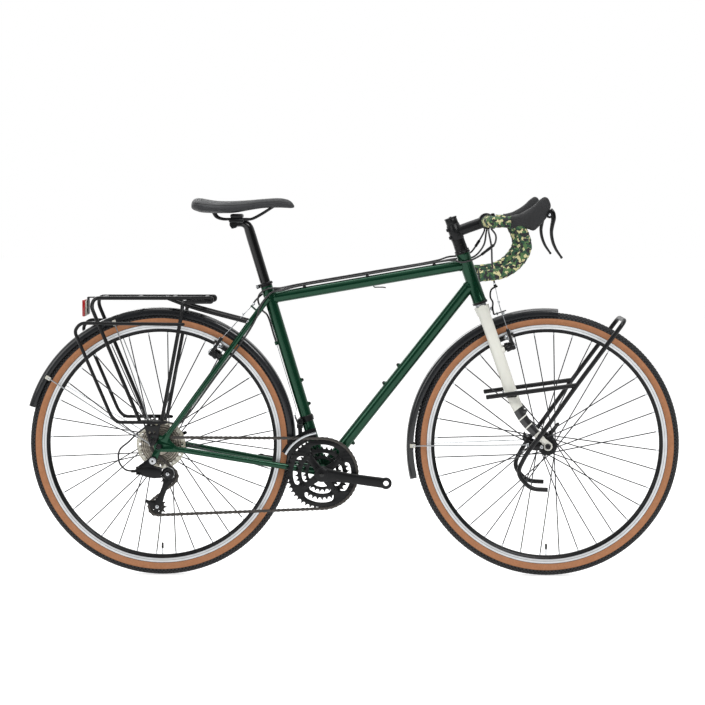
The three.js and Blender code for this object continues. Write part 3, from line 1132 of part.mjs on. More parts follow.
// Front gear mechanism: band on the seat tube and the swinging cage
const ringTip = pitchRadius(ringTeeth[0]) + toothRise + changerGap;
const changerArc = (inner, outer) => {
  return [...changerArcAngles.map((angle) => onCircle(bracket, angle * degree, inner, 0)),
    ...changerArcAngles.slice().reverse().map((angle) => onCircle(bracket, angle * degree, outer,
      0))].map((point) => [point.x, point.z]);
};
const changerTop = ringTip + rollerHalfHeight + changerDepth;
const changerPivot = onCircle(bracket, changerPivotAngle * degree, changerTop,
  -seatTubeRadius * 2 - changerPivotRadius * 2)
  .add(at(0, 0, changerPivotRadius * 3));
const bandMiddle = onSeat(changerBandRise);
const bandArm = -changerPivot.y - changerPivotRadius * 2 - freeGap;
add('changer_band', cut(join(turned(along(bandMiddle, seatUp, -changerBandHeight / 2), seatUp,
  [[0, seatTubeRadius + changerBandThickness],
  [changerBandHeight, seatTubeRadius + changerBandThickness]], frameSides),
    block(at(changerPivot.x, -changerPivotRadius - bandArm / 2,
  (changerPivot.z + bandMiddle.z) / 2), changerBandHeight, bandArm, changerBandHeight * 1.25)),
    seatClear), 'black');
const changerArmTop = changerPivot.clone().add(at(-changerArmBack, changerPivotRadius, changerArmRise));
add('changer_front', join(plate(changerArc(ringTip, changerTop), -ringLine - changerPlateSpan / 2,
  changerPlate),
  plate(changerArc(ringTip - changerDepth / 2, changerTop), -ringLine + changerPlateSpan / 2, changerPlate),
  ...changerBridgeAngles.map((angle) => block(onCircle(bracket, angle * degree, changerTop - changerPlate,
    -ringLine), changerPlate * 4, changerPlateSpan, changerPlate,
    (angle - 90) * degree)),
  sweep([onCircle(bracket, changerPivotAngle * degree, changerTop - changerPlate * 2,
    -ringLine + changerPlateSpan / 2), changerPivot], boxSection,
    () => [changerPivotRadius, changerPivotRadius]),
  turned(along(changerPivot, foreAxis, -changerBandHeight / 2), foreAxis, [[0, changerPivotRadius],
    [changerBandHeight, changerPivotRadius]], 8),
  rod([along(changerPivot, foreAxis, -changerBandHeight * 0.3), changerArmTop], changerPlate, 4)), 'silver');

// Brake arms and pads
const brakeArm = (axle, up, over, hand, postEnd) => {
  const hubFoot = along(along(axle, up, brakePostReach), over, postEnd - brakeHubLength)
    .setY(hand * brakePostOffset);
  const onArm = (share, side) => along(along(hubFoot, over, brakeHubLength - brakeArmThickness / 2), up,
    brakeArmRise * share).setY(hand * side);
  const padReach = rimSeatRadius - padHeight / 2;
  const lean = Math.asin((postEnd - brakeHubLength * 0.75) / padReach);
  const radial = along(up.clone().multiplyScalar(Math.cos(lean)), over, Math.sin(lean));
  const tangent = at(radial.z, 0, -radial.x);
  const padAt = along(axle, radial, padReach).setY(hand * (rimWidth / 2 + padGap + padThickness / 2));
  const armTop = onArm(1, brakePostOffset + brakeArmSplay);
  return { armTop, geometry: cut(join(
    turned(hubFoot, over, [[0, brakePostRadius * 1.9], [brakeHubLength, brakePostRadius * 1.9]], 8),
    sweep([onArm(-0.1, brakePostOffset), onArm(0.5, brakePostOffset + brakeArmSplay * 0.15), armTop],
      boxSection,
      (share) => [brakeArmWidth / 2 * (1 - share * 0.4), brakeArmThickness / 2]),
    sweep([along(padAt, tangent, -padLength / 2), along(padAt, tangent, padLength / 2)], boxSection,
      () => [padThickness / 2, padHeight / 2]),
    rod([padAt, onArm(0.6, brakePostOffset)], brakePostRadius * 0.8, rodSides, up)
  ), turned(along(hubFoot, over, -brakeHubLength / 2), over, [[0, brakePostRadius + freeGap],
    [brakeHubLength * 2, brakePostRadius + freeGap]], rodSides)) };
};
const frontArms = {};
const rearArms = {};
for (const [name, hand] of sides) {
  frontArms[name] = brakeArm(frontAxle, steerUp, steerFore, hand, brakeForward - forkRake);
  rearArms[name] = brakeArm(rearAxle, stayUp, stayOver, hand, brakeBackward);
  add(`brake_front_${name}`, frontArms[name].geometry, 'black');
  add(`brake_rear_${name}`, rearArms[name].geometry, 'black');
}

// Front cord hanger with its mudguard tab
const onCrown = ([rise, fore]) => along(along(forkHead, steerUp, rise), steerFore, fore);
const overFront = ([rise, fore]) => along(along(frontAxle, steerUp, rise), steerFore, fore);
const overBridge = ([rise, back]) => along(along(rearAxle, stayUp, highBridgeReach + rise), stayOver, back);
const hangerRoute = hangerFromCrown.map(onCrown);
const frontNose = onCrown(frontNoseFromCrown);
const tabTip = along(hangerRoute[0], steerFore, crownDepth);
add('cord_hanger', cut(join(sweep(hangerRoute, boxSection, () => [yokeWidth / 2, hangerThickness / 2]),
  sweep([hangerRoute[0], tabTip], boxSection, () => [yokeWidth / 2, hangerThickness / 3])),
turned(along(frontNose, steerUp, -stopLength), steerUp, [[0, wireRadius + runningGap * 2],
  [stopLength * 2, wireRadius + runningGap * 2]], cordSides)), 'black');

// Cords: housing, bare wire, yoke and straddle are one piece each
const lane = (side, rise) => laneShares.map((share) =>
  along(along(topTubeSeat, topTubeDirection, topTubeLength * share),
  topTubeOver, topTubeRadius + rise).setY(side));
const fromBarAll = (route) => route.map(([x, y, z]) => at(barCentre.x + x, y, barCentre.z + z));
const fromClusterAll = (route) => route.map(([x, y, z]) => at(topTubeSeat.x + x, y, topTubeSeat.z + z));
const fromRearAll = (route) => route.map(([x, y, z]) => at(rearAxle.x + x, y, rearAxle.z + z));
const housing = (points, steps = 2) => rod(smooth(points, (points.length - 1) * steps), cordRadius,
  cordSides);
const adjuster = (points) => rod(points.slice(2, 4), adjusterRadius, rodSides);
const wire = (points) => rod(points, wireRadius, 3);
const straddle = (arms, yokeAt) => [block(yokeAt, yokeThickness, yokeWidth, yokeHeight),
  ...sides.map(([name, hand]) => wire([yokeAt, along(arms[name].armTop, sideAxis, -hand
    * (brakeArmWidth / 2 + freeGap))]))];
const seatOf = (nose, up) => along(nose, up, hangerThickness / 2 + runningGap * 2);
const frontYoke = onCrown(frontYokeFromCrown);
const rearYoke = overBridge(rearYokeFromBridge);
const rearNose = overBridge(rearNoseFromBridge);
add('cord_brake_front', join(housing([...fromBarAll(frontBrakeFromBar), seatOf(frontNose, steerUp)]),
  wire([seatOf(frontNose, steerUp), frontNose, frontYoke]), ...straddle(frontArms, frontYoke)), 'black');
add('cord_brake_rear', join(housing([...fromBarAll(rearBrakeFromBar), ...lane(lowLaneOffset, lowLaneRise),
  ...fromClusterAll(rearBrakeFromCluster), seatOf(rearNose, stayUp)]),
wire([seatOf(rearNose, stayUp), rearNose, rearYoke]), ...straddle(rearArms, rearYoke)), 'black');
const stopTop = onSeat(stopRise + stopLength + freeGap, -cordBehind);
add('cord_shift_front', join(housing([...fromBarAll(frontShiftFromBar), ...lane(0, highLaneRise),
  ...fromClusterAll(frontShiftFromCluster),
  onSeat((stopRise + seatTubeLength) / 2, -cordBehind - runningGap * 2),
  onSeat(stopRise + stopLength * 3, -cordBehind - freeGap), stopTop]),
    adjuster(fromBarAll(frontShiftFromBar)),
wire([stopTop, onSeat(stopRise / 2, -cordBehind), along(changerArmTop, upAxis, changerPlate * 2)])), 'black');
const besideStay = seatstayRadius + cordRadius + freeGap * 2;
const stayRun = [[0.95, 0.3, 1], [0.88, -0.5, 0.9], [0.78, -1, 0.2], [0.45, -1, 0], [0.16, -1, 0], [0.09,
  -0.5, -0.9]]
  .map(([share, over, out]) => onStay(share, over * besideStay, -sideAt(share) - out * besideStay));
add('cord_shift_rear', join(housing([...fromBarAll(rearShiftFromBar), ...lane(-lowLaneOffset,
  lowLaneRise), ...fromClusterAll(rearShiftFromCluster),
  ...stayRun, ...fromRearAll(changerLoopFromAxle)]), adjuster(fromBarAll(rearShiftFromBar))), 'black');

// Mudguards with their wire stays
const guardHalf = tyreWidth / 2 + guardSideGap;
const guardHalfProfile = [[-1, 1], [-0.35, 1], [0, 0.55]];
const guardOuter = [...guardHalfProfile.map(([r, y]) => [r * guardDepth, -y * guardHalf]),
  ...guardHalfProfile.slice().reverse().map(([r, y]) => [r * guardDepth, y * guardHalf])];
const guardInner = guardOuter.slice().reverse().map(([r, y]) => [r === -guardDepth ? r : r
  - guardThickness, y - Math.sign(y) * guardThickness]);
const guardProfile = [...guardOuter, ...guardInner];
const guard = (axle, start, end, radius, growth, spans) => skin(Array.from({ length: spans + 1 }, (_, i) => {
  const angle = (start + (end - start) * i / spans) * degree;
  return guardProfile.map(([r, y]) => onCircle(axle, angle, radius + growth * i / spans + r, y));
}), guardProfile);
const guardStay = ([x1, z1], [x2, z2], axle, side, hand) => rod([at(axle.x + x1, hand * (guardHalf
  + guardStayRadius / 3), axle.z + z1),
  at(axle.x + x2, hand * side, axle.z + z2)], guardStayRadius, 4);
const rearStaySide = rearEnd + endThickness - guardStayRadius;
const frontStaySide = frontEnd + endThickness + footPlateThickness + guardStayRadius * 2;
const guardBoss = overFront([frontGuardRadius - guardThickness, bossRadius]);
add('mudguard_front', join(guard(frontAxle, frontGuardStart, frontGuardEnd, frontGuardRadius,
  frontGuardGrowth, frontGuardSpans),
  ...sides.map(([, hand]) => guardStay(frontGuardClipShares.map((share) => share * frontGuardRadius),
    frontGuardEye,
    frontAxle, frontStaySide, hand)),
  turned(guardBoss, steerUp, [[0, guardBossRadius], [tabTip.clone().sub(guardBoss).dot(steerUp)
    - hangerThickness / 3 - freeGap, guardBossRadius]], rodSides)), 'satin');
add('mudguard_rear', join(guard(rearAxle, rearGuardStart, rearGuardEnd, rearGuardRadius, rearGuardGrowth,
  rearGuardSpans),
  ...sides.flatMap(([, hand]) => rearGuardClipShares.map(([x, z], i) =>
    guardStay([x * rearGuardRadius, z * rearGuardRadius],
    rearGuardEyes[i], rearAxle, rearStaySide, hand)))), 'satin');

// Rear rack: side loops with their foot plates, the platform and the reflector
const footSide = rearEnd + endThickness + freeGap + footPlateThickness / 2;
for (const [name, hand] of sides) {
  const loop = rounded([fromRear(rearLegFromRearAxle[1], hand * legOffset),
    fromRear(rearLegFromRearAxle[0], hand * legOffset),
    fromRear([-rackRear, rackTop], hand * rackHalfWidth), fromRear([rackFront, rackTop],
      hand * rackHalfWidth),
    fromRear([rackFront, rackTop - rackRodRadius * 2.3], hand * rackHalfWidth),
    fromRear([frontLegFromRearAxle[0][0], rackTop - rackRodRadius * 2.3], hand * (rackHalfWidth + bossRise)),
    fromRear([frontLegFromRearAxle[0][0], frontLegFromRearAxle[0][1] - rackRodRadius * 4], hand * legOffset),
    fromRear(frontLegFromRearAxle[1], hand * legOffset)], rackRodRadius * 4, 2);
  const rail = rounded(pannierFromRearAxle.map((point) => fromRear(point, hand * pannierOffset)),
    rackRodRadius * 4, 2);
  add(`rack_rear_${name}`, join(rod(loop, rackRodRadius, rackSides), rod(rail, rackThinRadius, rackSides),
    plate(footFromRearAxle.map(([x, z]) => [rearAxle.x + x, rearAxle.z + z]), hand * footSide,
      footPlateThickness)), 'black');
}
const crossReach = rackHalfWidth - rackRodRadius - freeGap;
const spineRear = reflectorForward + reflectorDepth / 2 + freeGap;
const spineFront = rackFront - rackRodRadius;
const crossBars = crossBarShares.map((share) => {
  const x = spineRear + (spineFront - spineRear) * share;
  return rod([fromRear([x, rackTop], -crossReach), fromRear([x, rackTop], crossReach)], rackThinRadius,
    rodSides, upAxis);
});
const rackStaySide = sideAt(shareAt(highBridgeReach - bridgeRadius * 6));
const rackStays = sides.map(([, hand]) => rod([...rackStayFromTop.map(([x, z], i) => fromRear([x, rackTop
  + z],
  hand * (i ? rackStaySide : spineWidth / 2.6))), overBridge(rackStayOnSeatstay)
    .setY(hand * rackStaySide)], rackThinRadius, rackSides));
add('rack_rear_top', cut(join(block(fromRear([(spineRear + spineFront) / 2, rackTop]),
  spineFront - spineRear, spineWidth, spineThickness),
  block(fromRear([spineRear + spineThickness / 2, (rackTop + reflectorRise - reflectorHeight / 3) / 2]),
    spineThickness, spineWidth,
    rackTop - reflectorRise + reflectorHeight / 3 + spineThickness), ...crossBars, ...rackStays),
      ...stayClears), 'black');
add('reflector', block(fromRear([reflectorForward, reflectorRise]), reflectorDepth, reflectorWidth,
  reflectorHeight), 'red');

// Front rack: two halves that meet over the wheel
for (const [name, hand] of sides) {
  const hoop = lowRiderHoopShares.map((share) => share * tyreRadius);
  const rest = lowRiderFromFrontAxle;
  const tube = rounded([fromFront(hoop, hand * freeGap / 2), fromFront(hoop, hand * lowRiderOffset),
    ...rest.map((point) => fromFront(point, hand * lowRiderOffset))], rackRodRadius * 6, 3);
  const rail = lowRailFromFrontAxle.map((point) => fromFront(point, hand * lowRiderOffset));
  const lug = frontEnd + endThickness + freeGap + footPlateThickness / 2;
  const crossAt = [lowBridgeFromFrontAxle, lowClampFromFrontAxle];
  add(`rack_front_${name}`, join(rod(tube, rackRodRadius, rackSides, at(rest[0][1] - hoop[1], 0,
    hoop[0] - rest[0][0]).normalize()), rod(rail, rackRodRadius, rackSides),
    plate(lowLugFromFrontAxle.map(([x, z]) => [frontAxle.x + x, frontAxle.z + z]), hand * lug,
      footPlateThickness),
    ...crossAt.map((point) => rod([fromFront(point, hand * lug), fromFront(point,
      hand * lowRiderOffset)], rackRodRadius, rackSides, upAxis)),
    block(fromFront(lowClampFromFrontAxle, hand * (lug + endThickness / 4)), clampLength * 0.75,
      footPlateThickness, clampHeight * 1.4, (90 - headAngle) * degree)), 'black');
}

export default bike;
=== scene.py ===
import json
import math

import bpy
from mathutils import Matrix, Vector

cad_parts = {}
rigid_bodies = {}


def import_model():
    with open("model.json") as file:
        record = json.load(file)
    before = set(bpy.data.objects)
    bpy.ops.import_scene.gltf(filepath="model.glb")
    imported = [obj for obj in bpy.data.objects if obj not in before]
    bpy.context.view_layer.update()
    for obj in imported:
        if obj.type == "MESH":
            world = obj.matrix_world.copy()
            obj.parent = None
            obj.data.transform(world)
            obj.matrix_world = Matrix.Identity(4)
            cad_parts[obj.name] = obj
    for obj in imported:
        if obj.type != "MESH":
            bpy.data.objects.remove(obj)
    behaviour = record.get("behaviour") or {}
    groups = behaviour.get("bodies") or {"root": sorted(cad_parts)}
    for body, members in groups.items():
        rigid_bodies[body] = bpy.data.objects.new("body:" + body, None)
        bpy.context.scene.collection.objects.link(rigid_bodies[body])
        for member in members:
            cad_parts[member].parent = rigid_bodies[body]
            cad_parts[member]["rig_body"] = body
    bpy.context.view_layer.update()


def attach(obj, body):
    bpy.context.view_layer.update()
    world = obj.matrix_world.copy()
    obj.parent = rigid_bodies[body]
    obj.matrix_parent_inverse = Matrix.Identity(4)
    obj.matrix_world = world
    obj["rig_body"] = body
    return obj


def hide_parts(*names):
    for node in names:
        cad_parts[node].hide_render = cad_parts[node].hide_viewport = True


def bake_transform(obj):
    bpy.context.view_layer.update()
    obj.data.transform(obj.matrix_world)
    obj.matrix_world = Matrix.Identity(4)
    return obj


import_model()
bpy.ops.object.select_all(action="DESELECT")

# Main layout of the bicycle in millimetres and degrees, as the frame has it
layout = {
    "tyreRadius": 350,
    "tyreWidth": 40,
    "wheelbase": 1021,
    "chainstayLength": 433.5,
    "bracketDrop": 73,
    "headAngle": 70.5,
    "seatAngle": 73.2,
    "forkRake": 42.4,
    "forkLength": 403,
    "cupHeight": 13,
    "headTubeLength": 134,
    "stackHeight": 101,
    "seatTubeLength": 523.5,
    "topTubeSeatDrop": 44,
    "topTubeHeadDrop": 30,
    "downTubeHeadRise": 56,
    "frontHubWidth": 100,
    "rearHubWidth": 135,
    "endThickness": 6,
}
millimetre = 0.001
fitGap = 0.35  # left between pieces that sit against each other
hands = (("Right", -1), ("Left", 1))
sideAxis = Vector((0, 1, 0))
upAxis = Vector((0, 0, 1))
foreAxis = Vector((1, 0, 0))


def at(x, y, z):
    return Vector((x, y, z))


def along(point, direction, distance):
    return point + direction * distance


def between(a, b, share):
    return a.lerp(b, share)


def aim(angle):
    turn = math.radians(angle)
    return at(math.cos(turn), 0, math.sin(turn))


def atSide(point, side):
    return at(point.x, side, point.z)


def leaning(angle):
    turn = math.radians(angle)
    return at(-math.cos(turn), 0, math.sin(turn)), at(math.sin(turn), 0, math.cos(turn))


steerUp, steerFore = leaning(layout["headAngle"])
seatUp, seatFore = leaning(layout["seatAngle"])
bracket = at(0, 0, 0)
rearAxle = at(
    -math.sqrt(layout["chainstayLength"] ** 2 - layout["bracketDrop"] ** 2), 0, layout["bracketDrop"]
)
frontAxle = at(rearAxle.x + layout["wheelbase"], 0, layout["bracketDrop"])
forkHead = along(along(frontAxle, steerFore, -layout["forkRake"]), steerUp, layout["forkLength"])
headFoot = along(forkHead, steerUp, layout["cupHeight"])
rearEnd = layout["rearHubWidth"] / 2
frontEnd = layout["frontHubWidth"] / 2


def onHead(rise, fore=0, side=0):
    return headFoot + steerUp * rise + steerFore * fore + sideAxis * side


def onSeat(rise, fore=0, side=0):
    return bracket + seatUp * rise + seatFore * fore + sideAxis * side


def onCrown(rise, fore, side=0):
    return forkHead + steerUp * rise + steerFore * fore + sideAxis * side


def fromRear(x, z, side=0):
    return at(rearAxle.x + x, side, rearAxle.z + z)


def fromFront(x, z, side=0):
    return at(frontAxle.x + x, side, frontAxle.z + z)


# Paths, all as lists of points in millimetres
def smoothPath(points, steps=8):
    ends = [points[0] * 2 - points[1], *points, points[-1] * 2 - points[-2]]
    path = []
    for i in range(1, len(ends) - 2):
        a, b, c, d = ends[i - 1 : i + 3]
        first = (b - a).length ** 0.5
        second = first + (c - b).length ** 0.5
        third = second + (d - c).length ** 0.5
        for step in range(steps):
            t = first + (second - first) * step / steps
            ab = a.lerp(b, t / first)
            bc = b.lerp(c, (t - first) / (second - first))
            cd = c.lerp(d, (t - second) / (third - second))
            near = ab.lerp(bc, t / second)
            far = bc.lerp(cd, (t - first) / (third - first))
            path.append(near.lerp(far, (t - first) / (second - first)))
    return path + [points[-1].copy()]


def roundedPath(points, radius, steps=6):
    path = [points[0]]
    for before, corner, after in zip(points, points[1:], points[2:]):
        back, ahead = before - corner, after - corner
        reach = min(radius, back.length / 2.2, ahead.length / 2.2)
        start, end = along(corner, back.normalized(), reach), along(corner, ahead.normalized(), reach)
        for step in range(steps + 1):
            share = step / steps
            path.append(between(between(start, corner, share), between(corner, end, share), share))
    return path + [points[-1]]


def evenPath(points, spacing):
    lengths = [0]
    for a, b in zip(points, points[1:]):
        lengths.append(lengths[-1] + (b - a).length)
    count = max(round(lengths[-1] / spacing), 2)
    path, j = [], 0
    for i in range(count + 1):
        distance = lengths[-1] * i / count
        while j < len(lengths) - 2 and lengths[j + 1] < distance:
            j += 1
        share = (distance - lengths[j]) / max(lengths[j + 1] - lengths[j], 1e-9)
        path.append(between(points[j], points[j + 1], share))
    return path


# Sections, in unit sizes
def circle(sides, start=0):
    return [
        (math.cos(2 * math.pi * (i + start) / sides), math.sin(2 * math.pi * (i + start) / sides))
        for i in range(sides)
    ]


def softBox(power=4, sides=24):
    section = []
    for a, b in circle(sides, 0.5):
        reach = (abs(a) ** power + abs(b) ** power) ** (-1 / power)
        section.append((a * reach, b * reach))
    return section


def mix(start, end):
    return lambda share: [a + (b - a) * share for a, b in zip(start, end)]


def stops(table, *sizes):
    def sizesAt(share):
        place = share * (len(table) - 1)
        low = min(int(place), len(table) - 2)
        return [
            size * (a + (b - a) * (place - low)) for size, a, b in zip(sizes, table[low], table[low + 1])
        ]

    return sizesAt


# Small tools for making and finishing pieces
def activate(*pieces):
    bpy.ops.object.select_all(action="DESELECT")
    for piece in pieces:
        piece.select_set(True)
    bpy.context.view_layer.objects.active = pieces[0]


def joined(name, pieces):
    pieces = list(pieces)
    activate(*pieces)
    if len(pieces) > 1:
        bpy.ops.object.join()
    piece = bpy.context.object
    piece.name = name
    return piece


def copied(piece, matrix=None):
    copy = piece.copy()
    copy.data = piece.data.copy()
    bpy.context.collection.objects.link(copy)
    if matrix is not None:
        copy.data.transform(matrix)
        if matrix.determinant() < 0:
            copy.data.flip_normals()
    return copy


def turnAbout(centre, axis, angle):
    place = Matrix.Translation(centre * millimetre)
    return place @ Matrix.Rotation(math.radians(angle), 4, axis) @ place.inverted()


def softened(piece, width, segments=2, angle=30):
    activate(piece)
    bevel = piece.modifiers.new("edges", "BEVEL")
    bevel.width = width * millimetre
    bevel.segments = segments
    bevel.limit_method = "ANGLE"
    bevel.angle_limit = math.radians(angle)
    bevel.harden_normals = False
    bpy.ops.object.modifier_apply(modifier="edges")
    return piece


# Welds the active mesh and turns its faces outward
def cleaned(fillEnds=False):
    bpy.ops.object.mode_set(mode="EDIT")
    bpy.ops.mesh.select_all(action="SELECT")
    bpy.ops.mesh.remove_doubles(threshold=millimetre / 100)
    if fillEnds:
        bpy.ops.mesh.fill_holes(sides=0)
    bpy.ops.mesh.select_all(action="SELECT")
    bpy.ops.mesh.normals_make_consistent(inside=False)
    bpy.ops.object.mode_set(mode="OBJECT")


# A grid wrapped onto rings of points, which also closes along its path where pathCloses is set
def skinned(name, rings, pathCloses=False, edge=0):
    rings = [[*ring, ring[0]] for ring in rings]
    if pathCloses:
        rings.append(rings[0])
    bpy.ops.mesh.primitive_grid_add(x_subdivisions=len(rings[0]) - 1, y_subdivisions=len(rings) - 1)
    piece = bpy.context.object
    piece.name = name
    piece.data.vertices.foreach_set(
        "co", [value * millimetre for ring in rings for point in ring for value in point]
    )
    cleaned(fillEnds=not pathCloses)
    piece.matrix_world = Matrix.Identity(4)
    return softened(piece, edge) if edge else piece


def sweepRings(path, section, sizes, sideways=sideAxis):
    rings, side = [], sideways.copy()
    for i, point in enumerate(path):
        ahead = (path[min(i + 1, len(path) - 1)] - path[max(i - 1, 0)]).normalized()
        side = (side - ahead * side.dot(ahead)).normalized()
        across = ahead.cross(side)
        breadth, depth = sizes(i / (len(path) - 1)) if callable(sizes) else sizes
        rings.append([point + side * (a * breadth) + across * (b * depth) for a, b in section])
    return rings


def swept(name, path, sizes, section=None, sideways=sideAxis, edge=0):
    return skinned(name, sweepRings(path, section or circle(24), sizes, sideways), edge=edge)


# A round rod or tube is a bevelled curve turned into a mesh
def rod(name, path, radius, sides=12, cap=True):
    curve = bpy.data.curves.new(name, "CURVE")
    curve.dimensions = "3D"
    curve.bevel_depth = millimetre
    curve.bevel_resolution = max(sides // 4, 1)
    curve.use_fill_caps = cap
    spline = curve.splines.new("POLY")
    spline.points.add(len(path) - 1)
    for i, (point, vector) in enumerate(zip(spline.points, path)):
        point.co = (*(vector * millimetre), 1)
        point.radius = radius(i / (len(path) - 1)) if callable(radius) else radius
    piece = bpy.data.objects.new(name, curve)
    bpy.context.collection.objects.link(piece)
    activate(piece)
    bpy.ops.object.convert(target="MESH")
    return bpy.context.object


def acrossAxis(axis):
    side = foreAxis if abs(axis.z) > 0.9 else upAxis
    side = (side - axis * side.dot(axis)).normalized()
    return side, axis.cross(side)


# Turned pieces: stations are (distance along the axis, radius)
def turned(name, centre, axis, stations, sides=32, edge=0):
    side, across = acrossAxis(axis)
    rings = [
        [
            along(centre, axis, distance) + side * (a * radius) + across * (b * radius)
            for a, b in circle(sides)
        ]
        for distance, radius in stations
    ]
    return skinned(name, rings, edge=edge)


# Stations of a plain round length, and of one with both ends chamfered
def straight(length, radius, start=0):
    return [(start, radius), (start + length, radius)]


def blunt(length, radius, edge=1, drop=1):
    return [(0, radius - drop), (edge, radius), (length - edge, radius), (length, radius - drop)]


# Rings: the profile is a closed loop of (radius, distance along the axis)
def ringed(name, centre, profile, sides=96, axis=sideAxis, edge=0):
    side, across = acrossAxis(axis)
    rings = [
        [
            along(centre, axis, distance) + side * (a * radius) + across * (b * radius)
            for radius, distance in profile
        ]
        for a, b in circle(sides)
    ]
    return skinned(name, rings, pathCloses=True, edge=edge)


# A flat plate seen from the side: a filled curve with its own holes and rounded edges
def plate(name, outline, side, thickness, holes=(), edge=0.3):
    curve = bpy.data.curves.new(name, "CURVE")
    curve.dimensions = "2D"
    curve.fill_mode = "BOTH"
    curve.extrude = (thickness / 2 - edge) * millimetre
    curve.bevel_depth = edge * millimetre
    curve.bevel_resolution = 1
    curve.offset = -edge * millimetre
    for loop in [outline, *holes]:
        spline = curve.splines.new("POLY")
        spline.points.add(len(loop) - 1)
        for point, (x, z) in zip(spline.points, loop):
            point.co = (x * millimetre, z * millimetre, 0, 1)
        spline.use_cyclic_u = True
    piece = bpy.data.objects.new(name, curve)
    bpy.context.collection.objects.link(piece)
    piece.rotation_euler = (math.pi / 2, 0, 0)
    piece.location = (0, side * millimetre, 0)
    activate(piece)
    bpy.ops.object.convert(target="MESH")
    bpy.ops.object.transform_apply(location=True, rotation=True, scale=True)
    cleaned()
    return bpy.context.object


def disc(x, z, radius, sides=32):
    return [(x + a * radius, z + b * radius) for a, b in circle(sides)]


def armOutline(a, b, radiusA, radiusB, sides=12):
    angle = math.atan2(b.z - a.z, b.x - a.x)
    outline = []
    for centre, radius, start in ((b, radiusB, -math.pi / 2), (a, radiusA, math.pi / 2)):
        for i in range(sides + 1):
            turn = angle + start + i * math.pi / sides
            outline.append((centre.x + math.cos(turn) * radius, centre.z + math.sin(turn) * radius))
    return outline


def boxed(name, centre, sizes, turn=0, edge=0.8):
    bpy.ops.mesh.primitive_cube_add(
        size=1, location=centre * millimetre, rotation=(0, -turn, 0),
        scale=[size * millimetre for size in sizes]
    )
    bpy.ops.object.transform_apply(location=True, rotation=True, scale=True)
    piece = bpy.context.object
    piece.name = name
    return softened(piece, edge) if edge else piece


def painted(piece, material):
    piece.data.materials.clear()
    piece.data.materials.append(material)
    return piece


# A button-head bolt standing on a face; its hexagon socket is a thin near-black hexagon on the head,
# painted shade for the hole
def bolt(name, foot, axis, radius=4, height=3, metal=None):
    head = turned(
        name, foot, axis,
        [
            (-height, radius * 0.5), (0, radius * 0.5), (0, radius), (height * 0.5, radius),
            (height, radius * 0.62)
        ], 20
    )
    socket = turned(
        name + "Socket", foot, axis, [(height * 0.9, radius * 0.42), (height * 1.03, radius * 0.42)], 6
    )
    return joined(name, [painted(head, metal or silverAlloy), painted(socket, socketShade)])


# Joins the parts of one finished piece, paints what has no material yet, and ties it to its body
def gather(name, body, slotName, material, parts, *nodes, smoothAngle=35):
    for part in parts:
        if not part.data.materials:
            part.data.materials.append(material)
    piece = joined(name, parts)
    bpy.ops.object.shade_smooth_by_angle(angle=math.radians(smoothAngle))
    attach(piece, body)
    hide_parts(*nodes)
    return piece


# Shared shader groups
def linear(code):
    channels = [int(code[i : i + 2], 16) / 255 for i in (1, 3, 5)]
    return (*[c / 12.92 if c <= 0.04045 else ((c + 0.055) / 1.055) ** 2.4 for c in channels], 1)


def startGroup(name, inputs, outputs):
    group = bpy.data.node_groups.new(name, "ShaderNodeTree")
    group.interface.new_socket("Vector", in_out="INPUT", socket_type="NodeSocketVector")
    for label, value in inputs.items():
        kind = "NodeSocketColor" if isinstance(value, tuple) else "NodeSocketFloat"
        socket = group.interface.new_socket(label, in_out="INPUT", socket_type=kind)
        socket.default_value = value
    for label, kind in outputs.items():
        group.interface.new_socket(label, in_out="OUTPUT", socket_type=kind)
    return group, group.nodes.new("NodeGroupInput"), group.nodes.new("NodeGroupOutput")


# Inputs are given by name, or by number as i0, i1 and so on
def addNode(tree, kind, settings=None, **inputs):
    node = tree.nodes.new(kind)
    for key, value in (settings or {}).items():
        setattr(node, key, value)
    for label, value in inputs.items():
        numbered = label[0] == "i" and label[1:].isdigit()
        socket = node.inputs[int(label[1:]) if numbered else label.replace("_", " ")]
        if isinstance(value, bpy.types.NodeSocket):
            tree.links.new(value, socket)
        else:
            socket.default_value = value
    return node


def calculate(tree, operation, a, b=0.0, c=0.0, clamp=False):
    return addNode(
        tree, "ShaderNodeMath", {"operation": operation, "use_clamp": clamp}, i0=a, i1=b, i2=c
    ).outputs[0]


def mapped(tree, value, low, high, toLow=0.0, toHigh=1.0):
    return addNode(
        tree, "ShaderNodeMapRange", {"clamp": True}, Value=value, From_Min=low, From_Max=high, To_Min=toLow,
        To_Max=toHigh
    ).outputs[0]


def noise(tree, vector, scale, detail=4.0, rough=0.5):
    return addNode(
        tree, "ShaderNodeTexNoise", None, Vector=vector, Scale=scale, Detail=detail, Roughness=rough
    ).outputs["Fac"]


def blended(tree, share, a, b, mode="MIX"):
    node = tree.nodes.new("ShaderNodeMix")
    node.data_type = "RGBA"
    node.blend_type = mode
    for socket, value in ((node.inputs[0], share), (node.inputs[6], a), (node.inputs[7], b)):
        if isinstance(value, bpy.types.NodeSocket):
            tree.links.new(value, socket)
        else:
            socket.default_value = value
    return node.outputs[2]


# Handling marks: soft smudges and short fine scratches, for roughness
marksGroup, start, end = startGroup(
    "handlingMarks", {"Size": 12.0}, {"Smudge": "NodeSocketFloat", "Scratch": "NodeSocketFloat"}
)
smudge = noise(marksGroup, start.outputs["Vector"], start.outputs["Size"], 5.0, 0.6)
marksGroup.links.new(mapped(marksGroup, smudge, 0.35, 0.7), end.inputs["Smudge"])
streaked = addNode(
    marksGroup, "ShaderNodeMapping", None, Vector=start.outputs["Vector"], Rotation=(0.3, 0.9, 0.5),
    Scale=(40, 260, 900)
)
scratch = noise(marksGroup, streaked.outputs[0], 1.0, 2.0)
marksGroup.links.new(mapped(marksGroup, scratch, 0.66, 0.74), end.inputs["Scratch"])

